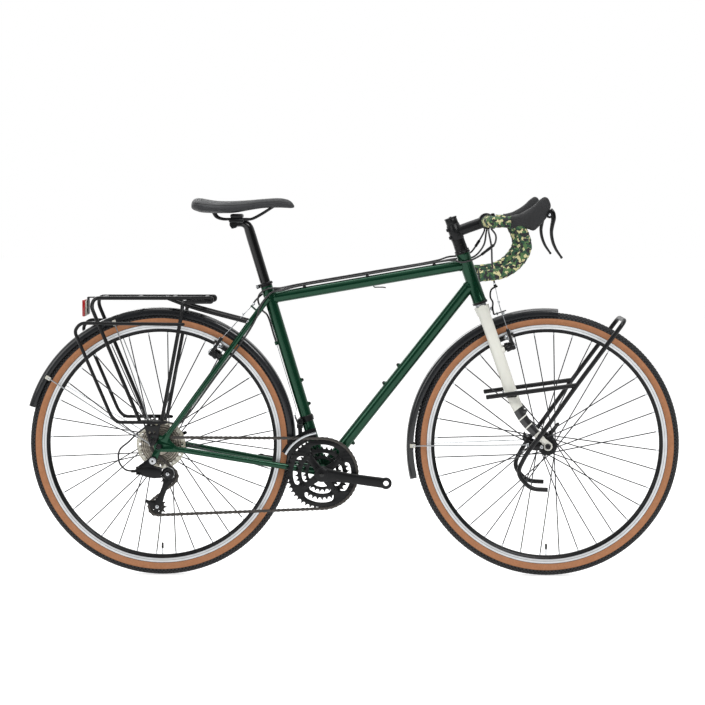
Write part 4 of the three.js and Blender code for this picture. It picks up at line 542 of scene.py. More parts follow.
# Road dust: more of it low down and on faces that look up
dustGroup, start, end = startGroup(
    "roadDust", {"Amount": 0.3, "Low": -0.25, "High": 0.45}, {"Mask": "NodeSocketFloat"}
)
height = addNode(dustGroup, "ShaderNodeSeparateXYZ", None, Vector=start.outputs["Vector"]).outputs["Z"]
lowness = addNode(
    dustGroup, "ShaderNodeMapRange", {"clamp": True}, Value=height, From_Min=start.outputs["Low"],
    From_Max=start.outputs["High"], To_Min=1.0, To_Max=0.15
).outputs[0]
facing = addNode(
    dustGroup, "ShaderNodeSeparateXYZ", None,
    Vector=dustGroup.nodes.new("ShaderNodeNewGeometry").outputs["Normal"]
).outputs["Z"]
settled = mapped(dustGroup, facing, -0.2, 1.0, 0.35, 1.0)
patches = mapped(dustGroup, noise(dustGroup, start.outputs["Vector"], 38.0, 6.0, 0.65), 0.38, 0.72)
mask = calculate(dustGroup, "MULTIPLY", calculate(dustGroup, "MULTIPLY", lowness, settled), patches)
dustGroup.links.new(
    calculate(dustGroup, "MULTIPLY", mask, start.outputs["Amount"], clamp=True), end.inputs["Mask"]
)

# Fine grain of leather, rubber and textured paint, for bump height
grainGroup, start, end = startGroup(
    "fineGrain", {"Size": 900.0, "Cells": 0.5}, {"Height": "NodeSocketFloat"}
)
cells = addNode(
    grainGroup, "ShaderNodeTexVoronoi", {"feature": "DISTANCE_TO_EDGE"}, Vector=start.outputs["Vector"],
    Scale=start.outputs["Size"]
).outputs["Distance"]
cells = mapped(grainGroup, cells, 0.0, 0.35)
specks = noise(grainGroup, start.outputs["Vector"], start.outputs["Size"], 3.0)
grainGroup.links.new(
    addNode(grainGroup, "ShaderNodeMix", None, i0=start.outputs["Cells"], i2=specks, i3=cells).outputs[0],
    end.inputs["Height"]
)


def startMaterial(name):
    material = bpy.data.materials.new(name)
    material.use_nodes = True
    tree = material.node_tree
    shader = tree.nodes["Principled BSDF"]
    place = tree.nodes.new("ShaderNodeTexCoord").outputs["Object"]
    return material, tree, shader, place


def usedGroup(tree, group, place, **inputs):
    node = tree.nodes.new("ShaderNodeGroup")
    node.node_tree = group
    tree.links.new(place, node.inputs["Vector"])
    for label, value in inputs.items():
        node.inputs[label].default_value = value
    return node


# Any plain surface: its colour or colours, sheen, marks, dust and grain are set here
def surface(
    name, colour, rough, metal=0.0, coat=0.0, dust=0.25, grain=None, grainDepth=0.1, marks=0.08, tint=0.06,
    colourFrom=None, dustColour="#8d8577", gloss=0.5
):
    material, tree, shader, place = startMaterial(name)
    base = colourFrom(tree, place) if colourFrom else linear(colour)
    spots = noise(tree, place, 55.0, 4.0)
    shade = mapped(tree, spots, 0.3, 0.7, 1 - tint, 1 + tint)
    plain = base if isinstance(base, bpy.types.NodeSocket) else base[:3]
    varied = addNode(tree, "ShaderNodeVectorMath", {"operation": "SCALE"}, i0=plain, Scale=shade).outputs[0]
    mask = usedGroup(tree, dustGroup, place, Amount=dust).outputs["Mask"]
    tree.links.new(blended(tree, mask, varied, linear(dustColour)), shader.inputs["Base Color"])
    worn = usedGroup(tree, marksGroup, place)
    smudged = calculate(tree, "MULTIPLY_ADD", worn.outputs["Smudge"], marks, rough)
    scratched = calculate(tree, "MULTIPLY", worn.outputs["Scratch"], marks)
    roughness = calculate(tree, "ADD", smudged, scratched)
    tree.links.new(
        calculate(tree, "MULTIPLY_ADD", mask, 0.4, roughness, clamp=True), shader.inputs["Roughness"]
    )
    shader.inputs["Metallic"].default_value = metal
    shader.inputs["Coat Weight"].default_value = coat
    shader.inputs["Coat Roughness"].default_value = 0.08
    shader.inputs["Specular IOR Level"].default_value = gloss
    if grain:
        height = usedGroup(tree, grainGroup, place, Size=grain[0], Cells=grain[1]).outputs["Height"]
        bump = addNode(tree, "ShaderNodeBump", None, Height=height, Strength=grainDepth, Distance=0.001)
        tree.links.new(bump.outputs[0], shader.inputs["Normal"])
    return material


# Colour fields of single materials
def camouflage(tree, place):
    warp = addNode(tree, "ShaderNodeTexNoise", None, Vector=place, Scale=120.0, Detail=1.0).outputs["Color"]
    bent = addNode(
        tree, "ShaderNodeVectorMath", {"operation": "MULTIPLY_ADD"}, i0=warp, i1=(0.008, 0.008, 0.008),
        i2=place
    ).outputs[0]

    def shifted(step):
        return addNode(tree, "ShaderNodeVectorMath", {"operation": "ADD"}, i0=bent, i1=step).outputs[0]

    first = noise(tree, bent, 92.0, 0.5)
    second = noise(tree, shifted((0.7, 0.3, 0.1)), 84.0, 0.5)
    third = noise(tree, shifted((0.1, 0.9, 0.4)), 100.0, 0.5)
    colour = blended(
        tree, mapped(tree, first, 0.49, 0.5), linear(tapeColours["darkGreen"]), linear(tapeColours["olive"])
    )
    colour = blended(tree, mapped(tree, second, 0.56, 0.57), colour, linear(tapeColours["cream"]))
    return blended(tree, mapped(tree, third, 0.55, 0.56), colour, linear(tapeColours["black"]))


def axleDistance(tree, place, axle):
    flat = addNode(
        tree, "ShaderNodeVectorMath", {"operation": "MULTIPLY"}, i0=place, i1=(1, 0, 1)
    ).outputs[0]
    return addNode(
        tree, "ShaderNodeVectorMath", {"operation": "DISTANCE"}, i0=flat, i1=tuple(axle * millimetre)
    ).outputs["Value"]


def inBand(tree, value, low, high, edge=0.4):
    rise = mapped(tree, value, (low - edge) * millimetre, (low + edge) * millimetre)
    fall = mapped(tree, value, (high - edge) * millimetre, (high + edge) * millimetre, 1.0, 0.0)
    return calculate(tree, "MULTIPLY", rise, fall)


def forkBands(tree, place):
    distance = axleDistance(tree, place, frontAxle)
    colour = blended(
        tree, inBand(tree, distance, *forkPaint["blackBand"]), linear(forkPaint["cream"]),
        linear(forkPaint["black"])
    )
    for ring in forkPaint["whiteRings"]:
        colour = blended(tree, inBand(tree, distance, *ring), colour, linear(forkPaint["white"]))
    return colour


def wallOf(axle):
    def colour(tree, place):
        distance = axleDistance(tree, place, axle)
        mottled = blended(
            tree, mapped(tree, noise(tree, place, 240.0, 5.0, 0.7), 0.3, 0.75), linear(tyreColours["tan"]),
            linear(tyreColours["tanShade"])
        )
        tan = inBand(tree, distance, *tyreColours["wallRadii"])
        return blended(tree, tan, linear(tyreColours["black"]), mottled)

    return colour


# The silver track carries a thin grey line of painted shade, standing for a groove the rim's shape does not
# have
def trackOf(axle):
    def colour(tree, place):
        distance = axleDistance(tree, place, axle)
        silver = blended(
            tree, inBand(tree, distance, *rimColours["grooveShadeRadii"], 0.2), linear(rimColours["silver"]),
            linear(rimColours["grooveShade"])
        )
        return blended(
            tree, inBand(tree, distance, *rimColours["trackRadii"]), linear(rimColours["black"]), silver
        )

    return colour


# Painted shade: a dark band on each cog just outside the tips of the smaller one before it, where that cog
# shades it
def cogRings(tree, place):
    distance = axleDistance(tree, place, rearAxle)
    colour = linear(cogColours["steel"])
    for radius in cogColours["ringRadii"]:
        ring = inBand(tree, distance, radius, radius + cogColours["ringWidth"], 1.0)
        colour = blended(tree, ring, colour, linear(cogColours["paintedShade"]))
    return colour


# Cog steel, and bands of painted shade at the listed radii
cogColours = {
    "steel": "#a09a8e", "paintedShade": "#2c2823", "ringRadii": (25.1, 27.1, 31.1, 35.1, 39.2, 45.2, 51.3),
    "ringWidth": 2
}
tapeColours = {"darkGreen": "#1d4630", "olive": "#47683c", "cream": "#c6c08f", "black": "#15171a"}
forkPaint = {
    "cream": "#dfdfd6", "black": "#141517", "white": "#e8e8e0", "blackBand": (46, 127),
    "whiteRings": [(73, 76), (100, 103)]
}
tyreColours = {"tan": "#b17b58", "tanShade": "#9c6a49", "black": "#141415", "wallRadii": (318.4, 334)}
rimColours = {
    "silver": "#d2d4d6", "black": "#101113", "grooveShade": "#55585b", "trackRadii": (306.5, 318),
    "grooveShadeRadii": (311.2, 312)
}

greenPaint = surface(
    "greenPaint", "#063a25", 0.17, metal=0.55, coat=0.22, dust=0.015, marks=0.05, gloss=0.3
)
creamPaint = surface("creamPaint", "#dfdfd6", 0.3, coat=0.4, dust=0.02, tint=0.02, colourFrom=forkBands)
satinBlack = surface("satinBlack", "#0e0f11", 0.29, metal=0.1, dust=0.025, gloss=0.24)
glossBlack = surface("glossBlack", "#0a0b0c", 0.14, metal=0.1, coat=0.35, dust=0.02, gloss=0.25)
rackCoat = surface(
    "rackCoat", "#0c0d0f", 0.28, dust=0.025, gloss=0.26, grain=(2600.0, 0.0), grainDepth=0.06
)
blackPlastic = surface(
    "blackPlastic", "#0f0f10", 0.5, dust=0.12, gloss=0.35, grain=(1800.0, 0.0), grainDepth=0.08
)
# Painted shade: near-black hexagons stand for the shaded inside of bolt sockets
socketShade = surface("socketShade", "#070707", 0.6, dust=0.1)
tapeCloth = surface(
    "tapeCloth", "#59603a", 0.72, dust=0.05, colourFrom=camouflage, grain=(700.0, 0.3), grainDepth=0.2
)
hoodRubber = surface(
    "hoodRubber", "#18191b", 0.62, dust=0.03, gloss=0.4, grain=(1300.0, 0.8), grainDepth=0.25
)
saddleLeather = surface(
    "saddleLeather", "#1d1f22", 0.5, dust=0.03, gloss=0.45, grain=(850.0, 0.85), grainDepth=0.3
)
saddleBase = surface("saddleBase", "#131314", 0.5, dust=0.2)
frontTyreRubber = surface(
    "frontTyreRubber", "#141415", 0.78, dust=0.1, gloss=0.3, colourFrom=wallOf(frontAxle),
    grain=(1500.0, 0.2), grainDepth=0.2
)
rearTyreRubber = surface(
    "rearTyreRubber", "#141415", 0.78, dust=0.1, gloss=0.3, colourFrom=wallOf(rearAxle),
    grain=(1500.0, 0.2), grainDepth=0.2
)
treadRubber = surface("treadRubber", "#26272a", 0.6, dust=0.12, gloss=0.4)
frontRimMetal = surface(
    "frontRimMetal", "#c6c8ca", 0.3, metal=0.6, dust=0.05, colourFrom=trackOf(frontAxle)
)
rearRimMetal = surface("rearRimMetal", "#c6c8ca", 0.3, metal=0.6, dust=0.05, colourFrom=trackOf(rearAxle))
spokeSteel = surface("spokeSteel", "#2b2d30", 0.36, metal=0.4, dust=0.04, gloss=0.4)
stayWire = surface("stayWire", "#a3a6a8", 0.3, metal=0.9, dust=0.1)
silverAlloy = surface("silverAlloy", "#c2c5c8", 0.26, metal=0.9, dust=0.12)
dullAlloy = surface("dullAlloy", "#9b9ea2", 0.38, metal=0.9, dust=0.2)
chainSteel = surface(
    "chainSteel", "#45423f", 0.36, metal=0.6, dust=0.25, marks=0.18, dustColour="#211e1b", gloss=0.4
)
cogSteel = surface(
    "cogSteel", "#9a968f", 0.32, metal=0.8, dust=0.1, dustColour="#2a251f", colourFrom=cogRings
)
cordCover = surface("cordCover", "#131416", 0.36, coat=0.15, dust=0.08)
cordWire = surface("cordWire", "#9da0a4", 0.32, metal=0.9, dust=0.1)
guardPlastic = surface("guardPlastic", "#15171a", 0.24, coat=0.4, dust=0.025, gloss=0.3)
palePlastic = surface("palePlastic", "#bdbbb0", 0.4, dust=0.08)
padRubber = surface("padRubber", "#191919", 0.8, dust=0.3)


def clearDisc():
    material, tree, shader, place = startMaterial("clearDisc")
    cloud = mapped(tree, noise(tree, place, 40.0, 3.0), 0.3, 0.7)
    tree.links.new(blended(tree, cloud, linear("#e2dfd0"), linear("#d3cfba")), shader.inputs["Base Color"])
    shader.inputs["Roughness"].default_value = 0.28
    shader.inputs["Transmission Weight"].default_value = 0.35
    tree.links.new(mapped(tree, cloud, 0.0, 1.0, 0.72, 0.82), shader.inputs["Alpha"])
    return material


# The lens shows rows of small corner cubes under its smooth face
def reflectorLens():
    material, tree, shader, place = startMaterial("reflectorLens")
    cells = addNode(
        tree, "ShaderNodeTexVoronoi", {"feature": "F1"}, Vector=place, Scale=380.0, Randomness=0.0
    ).outputs["Distance"]
    tree.links.new(
        blended(tree, mapped(tree, cells, 0.1, 0.6), linear("#e3141a"), linear("#8a070b")),
        shader.inputs["Base Color"]
    )
    shader.inputs["Roughness"].default_value = 0.12
    shader.inputs["Coat Weight"].default_value = 0.6
    bump = addNode(tree, "ShaderNodeBump", None, Height=cells, Strength=0.5, Distance=0.001)
    tree.links.new(bump.outputs[0], shader.inputs["Normal"])
    return material


protectorPlastic = clearDisc()
redLens = reflectorLens()
print("materials ready:", len(bpy.data.materials))


# Frame tubes
tubes = {
    "headRadius": 18,
    "headFlare": 0.8,
    "cupRadius": 20.5,
    "seatRadius": 15.9,
    "topRadius": 14.5,
    "downRadius": 15.9,
    "shellRadius": 20,
    "shellWidth": 68,
    "collarRadius": 20,
    "collarHeight": 11,
    "bossRadius": 6,
    "bossRise": 3,
    "weldRise": 1.3,
    "seatBossShares": (0.475, 0.35),
    "downBossShares": ((0.54, 1), (0.445, 1), (0.17, -1)),
    "guideShares": (0.18, 0.5, 0.84),
    "hookPlaces": [(-15, 0.7), (-14, -3.5), (-4, -6), (10, -8.5), (16, -11)],
    "hookReach": 290,
    "hookRadius": 1.6,
}
topTubeSeat = onSeat(layout["seatTubeLength"] - layout["topTubeSeatDrop"])
topTubeHead = onHead(layout["headTubeLength"] - layout["topTubeHeadDrop"])
topTubeDirection = (topTubeHead - topTubeSeat).normalized()
topTubeOver = topTubeDirection.cross(sideAxis)
topTubeLength = (topTubeHead - topTubeSeat).length
downTubeHead = onHead(layout["downTubeHeadRise"])
downTubeDirection = downTubeHead.normalized()
downTubeOver = at(-downTubeDirection.z, 0, downTubeDirection.x)
downTubeLength = downTubeHead.length


def weldBead(name, point, direction, radius, reach):
    top = radius + tubes["weldRise"]
    stations = [(reach - 5, radius), (reach - 2.5, (radius + top) / 2), (reach, top), (reach + 3, top)]
    return turned(name, point, direction, stations, 32)


def buildHeadTube():
    length, cup = layout["headTubeLength"], layout["cupHeight"]
    radius, flare = tubes["headRadius"], tubes["headRadius"] + tubes["headFlare"]
    stations = [
        (0, flare), (4, flare), (6, radius), (length - 6, radius), (length - 4, flare), (length, flare)
    ]
    tube = turned("headTube", headFoot, steerUp, stations, 48)
    gather("headTube", "frame", "green_paint", greenPaint, [tube], "head_tube")
    cups = []
    top = tubes["cupRadius"]
    stations = [
        (0, top - 1.2), (0.8, top), (cup * 0.28, top), (cup * 0.32, top - 0.7), (cup * 0.48, top - 0.9)
    ]
    for foot, direction in ((headFoot, -steerUp), (onHead(length), steerUp)):
        cups.append(turned("cup", foot, direction, stations, 48, edge=0.25))
    gather("headsetCups", "frame", "black_alloy", satinBlack, cups, "head_tube")


def bossAt(name, foot, axis, tubeRadius):
    radius, rise = tubes["bossRadius"], tubes["bossRise"]
    stations = [(0, radius), (rise - 1, radius), (rise + 0.2, radius - 1)]
    boss = turned(name, along(foot, axis, tubeRadius - 1), axis, stations, 24)
    screw = bolt(name + "Bolt", along(foot, axis, tubeRadius + rise - 1.2), axis, 4.4, 4.6, satinBlack)
    return boss, screw


def buildMainTubes():
    seatLength = layout["seatTubeLength"]
    seatRadius, collarHeight = tubes["seatRadius"], tubes["collarHeight"]
    green = [turned("seatTube", bracket, seatUp, straight(seatLength - collarHeight, seatRadius), 48)]
    green.append(weldBead("seatWeld", bracket, seatUp, seatRadius, tubes["shellRadius"]))
    screws = []
    for share in tubes["seatBossShares"]:
        boss, screw = bossAt("seatBoss", onSeat(seatLength * share), seatFore, seatRadius)
        green.append(boss)
        screws.append(screw)
    gather("seatTube", "frame", "green_paint", greenPaint, green, "seat_tube")

    stations = [(0, 15.9), (3.4, 16), (4, 18), (4.6, 18.8), (9, 18.8), (10, 18), (11, 16.4), (11, 13.8)]
    collar = turned("collar", onSeat(seatLength - collarHeight), seatUp, stations, 48)
    middle, behind = seatLength - collarHeight / 2, -tubes["collarRadius"]
    lean = math.radians(90 - layout["seatAngle"])
    ears = [
        boxed("collarEar", onSeat(middle, behind - 1.5, hand * 4), (10, 5, collarHeight - 1), lean, 1.2)
        for hand in (-1, 1)
    ]
    clampBolt = bolt("collarBolt", onSeat(middle, behind - 2.5, -6.5), -sideAxis, 3.6, 3)
    gather("seatCollar", "frame", "black_alloy", satinBlack, [collar, *ears, clampBolt], "seat_tube")

    foot = onSeat(seatLength * 0.68, -seatRadius - 2.85)
    holder = turned(
        "frontShiftStop", foot, seatUp, [(0, 3.6), (1, 4.6), (10, 4.6), (10, 2.7), (2, 2.7)], 20
    )
    gather("frontShiftStop", "frame", "green_paint", greenPaint, [holder], "seat_tube")

    radius = tubes["topRadius"]
    top = turned("topTube", topTubeSeat, topTubeDirection, straight(topTubeLength - 22, radius, 10), 48)
    beads = [weldBead("topBead", topTubeSeat, topTubeDirection, radius, seatRadius)]
    beads.append(weldBead("topBead", topTubeHead, -topTubeDirection, radius, tubes["headRadius"]))
    gather("topTube", "frame", "green_paint", greenPaint, [top, *beads], "top_tube")
    guides = []
    turn = math.atan2(topTubeDirection.z, topTubeDirection.x)
    for share in tubes["guideShares"]:
        foot = along(along(topTubeSeat, topTubeDirection, topTubeLength * share), topTubeOver, radius)
        guides.append(boxed("guideFoot", foot, (9, 17.5, 3), turn, 0.8))
        for side in (-8.6, -3, 3, 8.6):
            guides.append(
                boxed("guideLip", along(atSide(foot, side), topTubeOver, 2), (7, 1, 4.6), turn, 0.4)
            )
    gather("topTubeGuides", "frame", "black_alloy", satinBlack, guides, "top_tube")

    radius = tubes["downRadius"]
    green = [turned("downTube", bracket, downTubeDirection, straight(downTubeLength - 10, radius), 48)]
    green.append(weldBead("downWeld", bracket, downTubeDirection, radius, tubes["shellRadius"]))
    green.append(weldBead("downHeadWeld", downTubeHead, -downTubeDirection, radius, tubes["headRadius"]))
    for share, face in tubes["downBossShares"]:
        foot = along(bracket, downTubeDirection, downTubeLength * share)
        boss, screw = bossAt("downBoss", foot, downTubeOver * face, radius)
        green.append(boss)
        screws.append(screw)
    gather("downTube", "frame", "green_paint", greenPaint, green, "down_tube")
    gather("bottleBolts", "frame", "black_alloy", satinBlack, screws, "seat_tube", "down_tube")

    # A small hook hangs under the top tube, near its middle
    anchor = along(
        along(topTubeSeat, topTubeDirection, tubes["hookReach"]), topTubeOver, 1 - tubes["topRadius"]
    )
    path = smoothPath(
        [along(along(anchor, topTubeDirection, x), topTubeOver, z) for x, z in tubes["hookPlaces"]], 6
    )
    gather(
        "underHook", "frame", "black_alloy", satinBlack, [rod("underHook", path, tubes["hookRadius"])],
        "top_tube"
    )


def buildShell():
    width = tubes["shellWidth"]
    shell = turned("bracketShell", at(0, -width / 2, 0), sideAxis, blunt(width, tubes["shellRadius"]), 64)
    gather("bracketShell", "frame", "green_paint", greenPaint, [shell], "bracket_shell")
    cups = []
    for hand in (-1, 1):
        cups.append(
            turned(
                "bearingCup", at(0, hand * width / 2, 0), sideAxis * hand,
                [(0, 17.5), (1.6, 18), (3.4, 17.4), (3.4, 13)], 48
            )
        )
    gather("bracketCups", "frame", "black_alloy", satinBlack, cups, "bracket_shell")
    spindle = turned("spindle", at(0, -66, 0), sideAxis, straight(126, 9), 32)
    gather("spindle", "cranks", "steel", dullAlloy, [spindle], "crank_right")


# Stays, bridges and dropouts
stays = {
    "dropoutReach": 46,
    "dropoutRadius": 15,
    "chainBreadth": 13,
    "rootSide": 29,
    "tyreGap": 9.5,
    "bridgeRadius": 5.6,
    "postReach": 278,
    "postSide": 43,
    "postRadius": 5,
    "postBack": 40,
}
seatCluster = onSeat(layout["seatTubeLength"] - layout["topTubeSeatDrop"], -tubes["seatRadius"] / 2)
chainTip = along(rearAxle, (bracket - rearAxle).normalized(), stays["dropoutReach"])
seatTip = along(rearAxle, (seatCluster - rearAxle).normalized(), stays["dropoutReach"] * 0.8)
stayUp = (seatTip - rearAxle).normalized()
stayOver = at(-stayUp.z, 0, stayUp.x)
staySide = rearEnd + layout["endThickness"] / 2 - stays["chainBreadth"] / 6
tyreSide = layout["tyreWidth"] / 2 + stays["tyreGap"] + stays["chainBreadth"] / 2
stayTable = [(0, staySide), (0.32, staySide * 0.9), (0.72, 38), (0.86, 38 * 0.84), (0.96, 22), (1.01, 20)]


def staySideAt(share):
    for (low, start), (high, end) in zip(stayTable, stayTable[1:]):
        if share <= high:
            return start + (end - start) * (share - low) / (high - low)
    return stayTable[-1][1]


def onStay(share, over, side):
    return atSide(along(between(seatTip, seatCluster, share), stayOver, over), side)


def shareAt(reach):
    return (reach - (seatTip - rearAxle).length) / (seatCluster - seatTip).length


lowBridgeReach = layout["tyreRadius"] + 17
highBridgeReach = lowBridgeReach + ((seatCluster - rearAxle).length - lowBridgeReach) * 0.6168


def overBridge(rise, back, side=0):
    return atSide(along(along(rearAxle, stayUp, highBridgeReach + rise), stayOver, back), side)


rearNose = overBridge(2.5, 21.4)
rearYoke = overBridge(-26.5, 26.6)


def buildStays():
    for name, hand in hands:
        route = [
            (0.045, stays["rootSide"]), (0.14, stays["rootSide"] + 1.5), (0.21, tyreSide),
            (0.32, tyreSide + (staySide - tyreSide) * 0.18), (1, staySide)
        ]
        path = smoothPath(
            [atSide(between(bracket, chainTip, share), hand * side) for share, side in route], 10
        )
        chainstay = swept("chainstay", path, mix((6.5, 10), (6.5, 7.5)), circle(32))
        tip = turned(
            "chainTip", atSide(chainTip, hand * staySide), (rearAxle - chainTip).normalized(),
            [(-8, 7), (0, 7.2), (7, 6), (13, 3)], 24
        )
        end = hand * (rearEnd + layout["endThickness"] / 2)
        hole = disc(rearAxle.x, rearAxle.z, 5.8)
        dropout = [
            plate(
                "dropoutLow", armOutline(chainTip, rearAxle, 7.5, stays["dropoutRadius"]), end, 6, [hole],
                0.6
            ),
            plate(
                "dropoutHigh", armOutline(seatTip, rearAxle, 7, stays["dropoutRadius"] - 0.2), end, 5.8,
                [hole], 0.6
            ),
            plate(
                "dropoutWeb",
                [
                    (chainTip.x, chainTip.z - 5), (chainTip.x, chainTip.z + 7),
                    (chainTip.x - 14, chainTip.z + 22), (seatTip.x, seatTip.z),
                    (seatTip.x - 12, seatTip.z - 4), (rearAxle.x + 2, rearAxle.z + 8)
                ], end, 5.4, [], 0.6
            ),
        ]
        if hand < 0:
            dropout.append(
                plate(
                    "hanger", armOutline(fromRear(-4, -10), fromRear(-17, -38), 8, 9), end, 6,
                    [disc(rearAxle.x - 17, rearAxle.z - 38, 4)], 0.6
                )
            )
        for x, z in ((-48, 70), (12, 66)):
            eye = fromRear(x * 0.32, z * 0.36, end - hand * 3)
            dropout.append(turned("rackEye", eye, sideAxis * hand, straight(6.4, 5.5), 20, edge=0.4))
        gather(
            "chainstay" + name, "frame", "green_paint", greenPaint, [chainstay, tip, *dropout],
            "chainstay_" + name.lower()
        )

        upper = swept(
            "seatstay", smoothPath([onStay(share, 0, hand * side) for share, side in stayTable], 8),
            mix((7, 7), (8, 8)), circle(32)
        )
        cap = turned(
            "seatstayTip", atSide(seatTip, hand * staySide), -stayUp, [(-8, 7), (0, 7.1), (7, 6), (14, 3)],
            24
        )
        parts = [upper, cap]
        if hand > 0:
            for reach in (lowBridgeReach, highBridgeReach):
                share = shareAt(reach)
                parts.append(
                    rod(
                        "stayBridge",
                        [onStay(share, 0, -staySideAt(share) + 5), onStay(share, 0, staySideAt(share) - 5)],
                        stays["bridgeRadius"], 20
                    )
                )
            strap = [along(rearAxle, stayUp, highBridgeReach), along(rearNose, stayOver, 4)]
            parts.append(swept("noseStrap", strap, (7, 2.5), softBox(6)))
            chainBridge = atSide(
                along(rearAxle, (bracket - rearAxle).normalized(), layout["tyreRadius"] + 13.5), 0
            )
            parts.append(
                rod(
                    "chainBridge", [atSide(chainBridge, -tyreSide + 4), atSide(chainBridge, tyreSide - 4)],
                    stays["bridgeRadius"], 20
                )
            )
        gather(
            "seatstay" + name, "frame", "green_paint", greenPaint, parts, "seatstay_" + name.lower(),
            "chainstay_left"
        )
        foot = atSide(along(rearAxle, stayUp, stays["postReach"]), hand * stays["postSide"])
        stations = [(0, 8), (6, 8), (9, stays["postRadius"]), (stays["postBack"], stays["postRadius"])]
        post = turned("brakePost", foot, stayOver, stations, 24)
        screw = bolt("brakePostBolt", along(foot, stayOver, stays["postBack"]), stayOver, 6, 4)
        gather(
            "rearBrakePost" + name, "frame", "steel", silverAlloy, [painted(post, satinBlack), screw],
            "seatstay_" + name.lower()
        )


# Fork: crown, two curved blades with their ends, and the brake posts
fork = {
    "bladeTop": (9.5, 15.5),
    "bladeTip": (6.5, 7.5),
    "topSide": 39,
    "straight": 270,
    "crownHeight": 24,
    "steererRadius": 14.3,
    "postForward": 48,
}
bladeSide = frontEnd + layout["endThickness"] / 2
bladeBend = along(forkHead, steerUp, -fork["straight"])
bladeTip = along(frontAxle, (frontAxle - bladeBend).normalized(), -stays["dropoutRadius"])


def bladePath(hand):
    knee = along(between(bladeBend, bladeTip, 0.45), steerFore, -layout["forkRake"] * 0.2)
    nearTip = along(between(bladeBend, bladeTip, 0.8), steerFore, -layout["forkRake"] * 0.1)
    route = [
        (forkHead, 0), (between(forkHead, bladeBend, 0.5), 0.5), (bladeBend, 0.75), (knee, 1), (nearTip, 1),
        (bladeTip, 1)
    ]
    return [
        atSide(point, hand * (fork["topSide"] + share * (bladeSide - fork["topSide"])))
        for point, share in route
    ]


def buildFork():
    def bladeSizes(share):
        drop = max(share - 0.35, 0) / 0.65
        return [a + (b - a) * drop for a, b in zip(fork["bladeTop"], fork["bladeTip"])]

    for name, hand in hands:
        blade = swept("blade", smoothPath(bladePath(hand), 12), bladeSizes, circle(36))
        shoulder = turned(
            "bladeShoulder", bladePath(hand)[0], steerUp, [(-2, 9.5), (0, 9.2), (3, 7), (4.5, 2)], 28
        )
        gather(
            "forkBlade" + name, "steering", "cream_paint", creamPaint, [blade, shoulder],
            "fork_blade_" + name.lower(), smoothAngle=50
        )
        side = hand * bladeSide
        end = plate(
            "forkEnd", armOutline(bladeTip, frontAxle, 8, 12), side, 6,
            [disc(frontAxle.x, frontAxle.z, 5.8)], 0.7
        )
        socket = turned(
            "forkEndSocket", atSide(bladeTip, side), (bladeTip - bladeBend).normalized(),
            [(-10, 6.6), (-1, 7.2), (6, 6.2), (12, 3)], 24
        )
        gather(
            "forkEnd" + name, "steering", "cream_paint", creamPaint, [end, socket],
            "fork_blade_" + name.lower()
        )
        foot = atSide(
            along(along(frontAxle, steerUp, stays["postReach"]), steerFore, -layout["forkRake"]),
            hand * stays["postSide"]
        )
        boss = turned("postBoss", foot, steerFore, [(0, 8), (19, 8), (20, 7)], 24)
        gather(
            "postBoss" + name, "steering", "cream_paint", creamPaint, [boss], "fork_blade_" + name.lower()
        )
        stations = straight(fork["postForward"] - 18, stays["postRadius"])
        post = turned("brakePost", along(foot, steerFore, 18), steerFore, stations, 24)
        screw = bolt("brakePostBolt", along(foot, steerFore, fork["postForward"]), steerFore, 6, 4)
        gather(
            "frontBrakePost" + name, "steering", "steel", silverAlloy, [painted(post, satinBlack), screw],
            "fork_blade_" + name.lower()
        )
        eye = atSide(fromFront(-61, 93), side + hand * 3)
        carrier = turned("carrierBoss", eye, sideAxis * hand, [(-4, 5.5), (3, 5.5)], 20, edge=0.5)
        gather(
            "carrierBoss" + name, "steering", "cream_paint", creamPaint, [carrier],
            "fork_blade_" + name.lower()
        )

    crown = boxed(
        "crown", along(forkHead, steerUp, -fork["crownHeight"] / 2), (34, 62, fork["crownHeight"]),
        math.radians(90 - layout["headAngle"]), 6
    )
    ring = turned("crownRace", forkHead, steerUp, [(-fork["crownHeight"], 18), (-2, 20.5), (0, 20.5)], 48)
    gather("forkCrown", "steering", "cream_paint", creamPaint, [crown, ring], "fork_crown", smoothAngle=50)
    top = layout["cupHeight"] + layout["headTubeLength"] + layout["stackHeight"]
    steerer = turned(
        "steerer", forkHead, steerUp, [(-2, fork["steererRadius"]), (top - 1, fork["steererRadius"])], 32
    )
    screw = bolt("crownBolt", onCrown(-fork["crownHeight"] * 0.6, 21), steerFore, 6, 4)
    gather("steerer", "steering", "steel", dullAlloy, [steerer, screw], "fork_crown")


buildHeadTube()
buildMainTubes()
buildShell()
buildStays()
buildFork()
print("frame and fork ready")


# Stem, handlebar with wound tape, hoods and brake levers
cockpit = {
    "clampRise": 26,
    "clampHeight": 43,
    "reach": 84,
    "slope": 12.5,
    "tubeRadius": 14.5,
    "clampRadius": 17.6,
    "faceRadius": 21,
    "faceWidth": 46,
    "barRadius": 13,
    "barClampRadius": 15.9,
    "barWidth": 420,
    "tapeRadius": 15,
    "tapeStart": 46,
    "tapeStep": 17,
    "tapeSpacing": 1.6,
    "tapeSides": 28,
    "hookReach": 92,
    "hookDrop": 136,
    "hoodReach": 66,
    "hoodRise": 60,
    "leverLength": 116,
    "leverBreadth": 15,
    "leverDepth": 9,
}
hookShares = [
    (0, 0), (0.52, 0), (0.76, -0.03), (0.86, -0.14), (0.97, -0.31), (1, -0.5), (0.76, -0.77), (0.35, -0.95),
    (-0.27, -1.01)
]
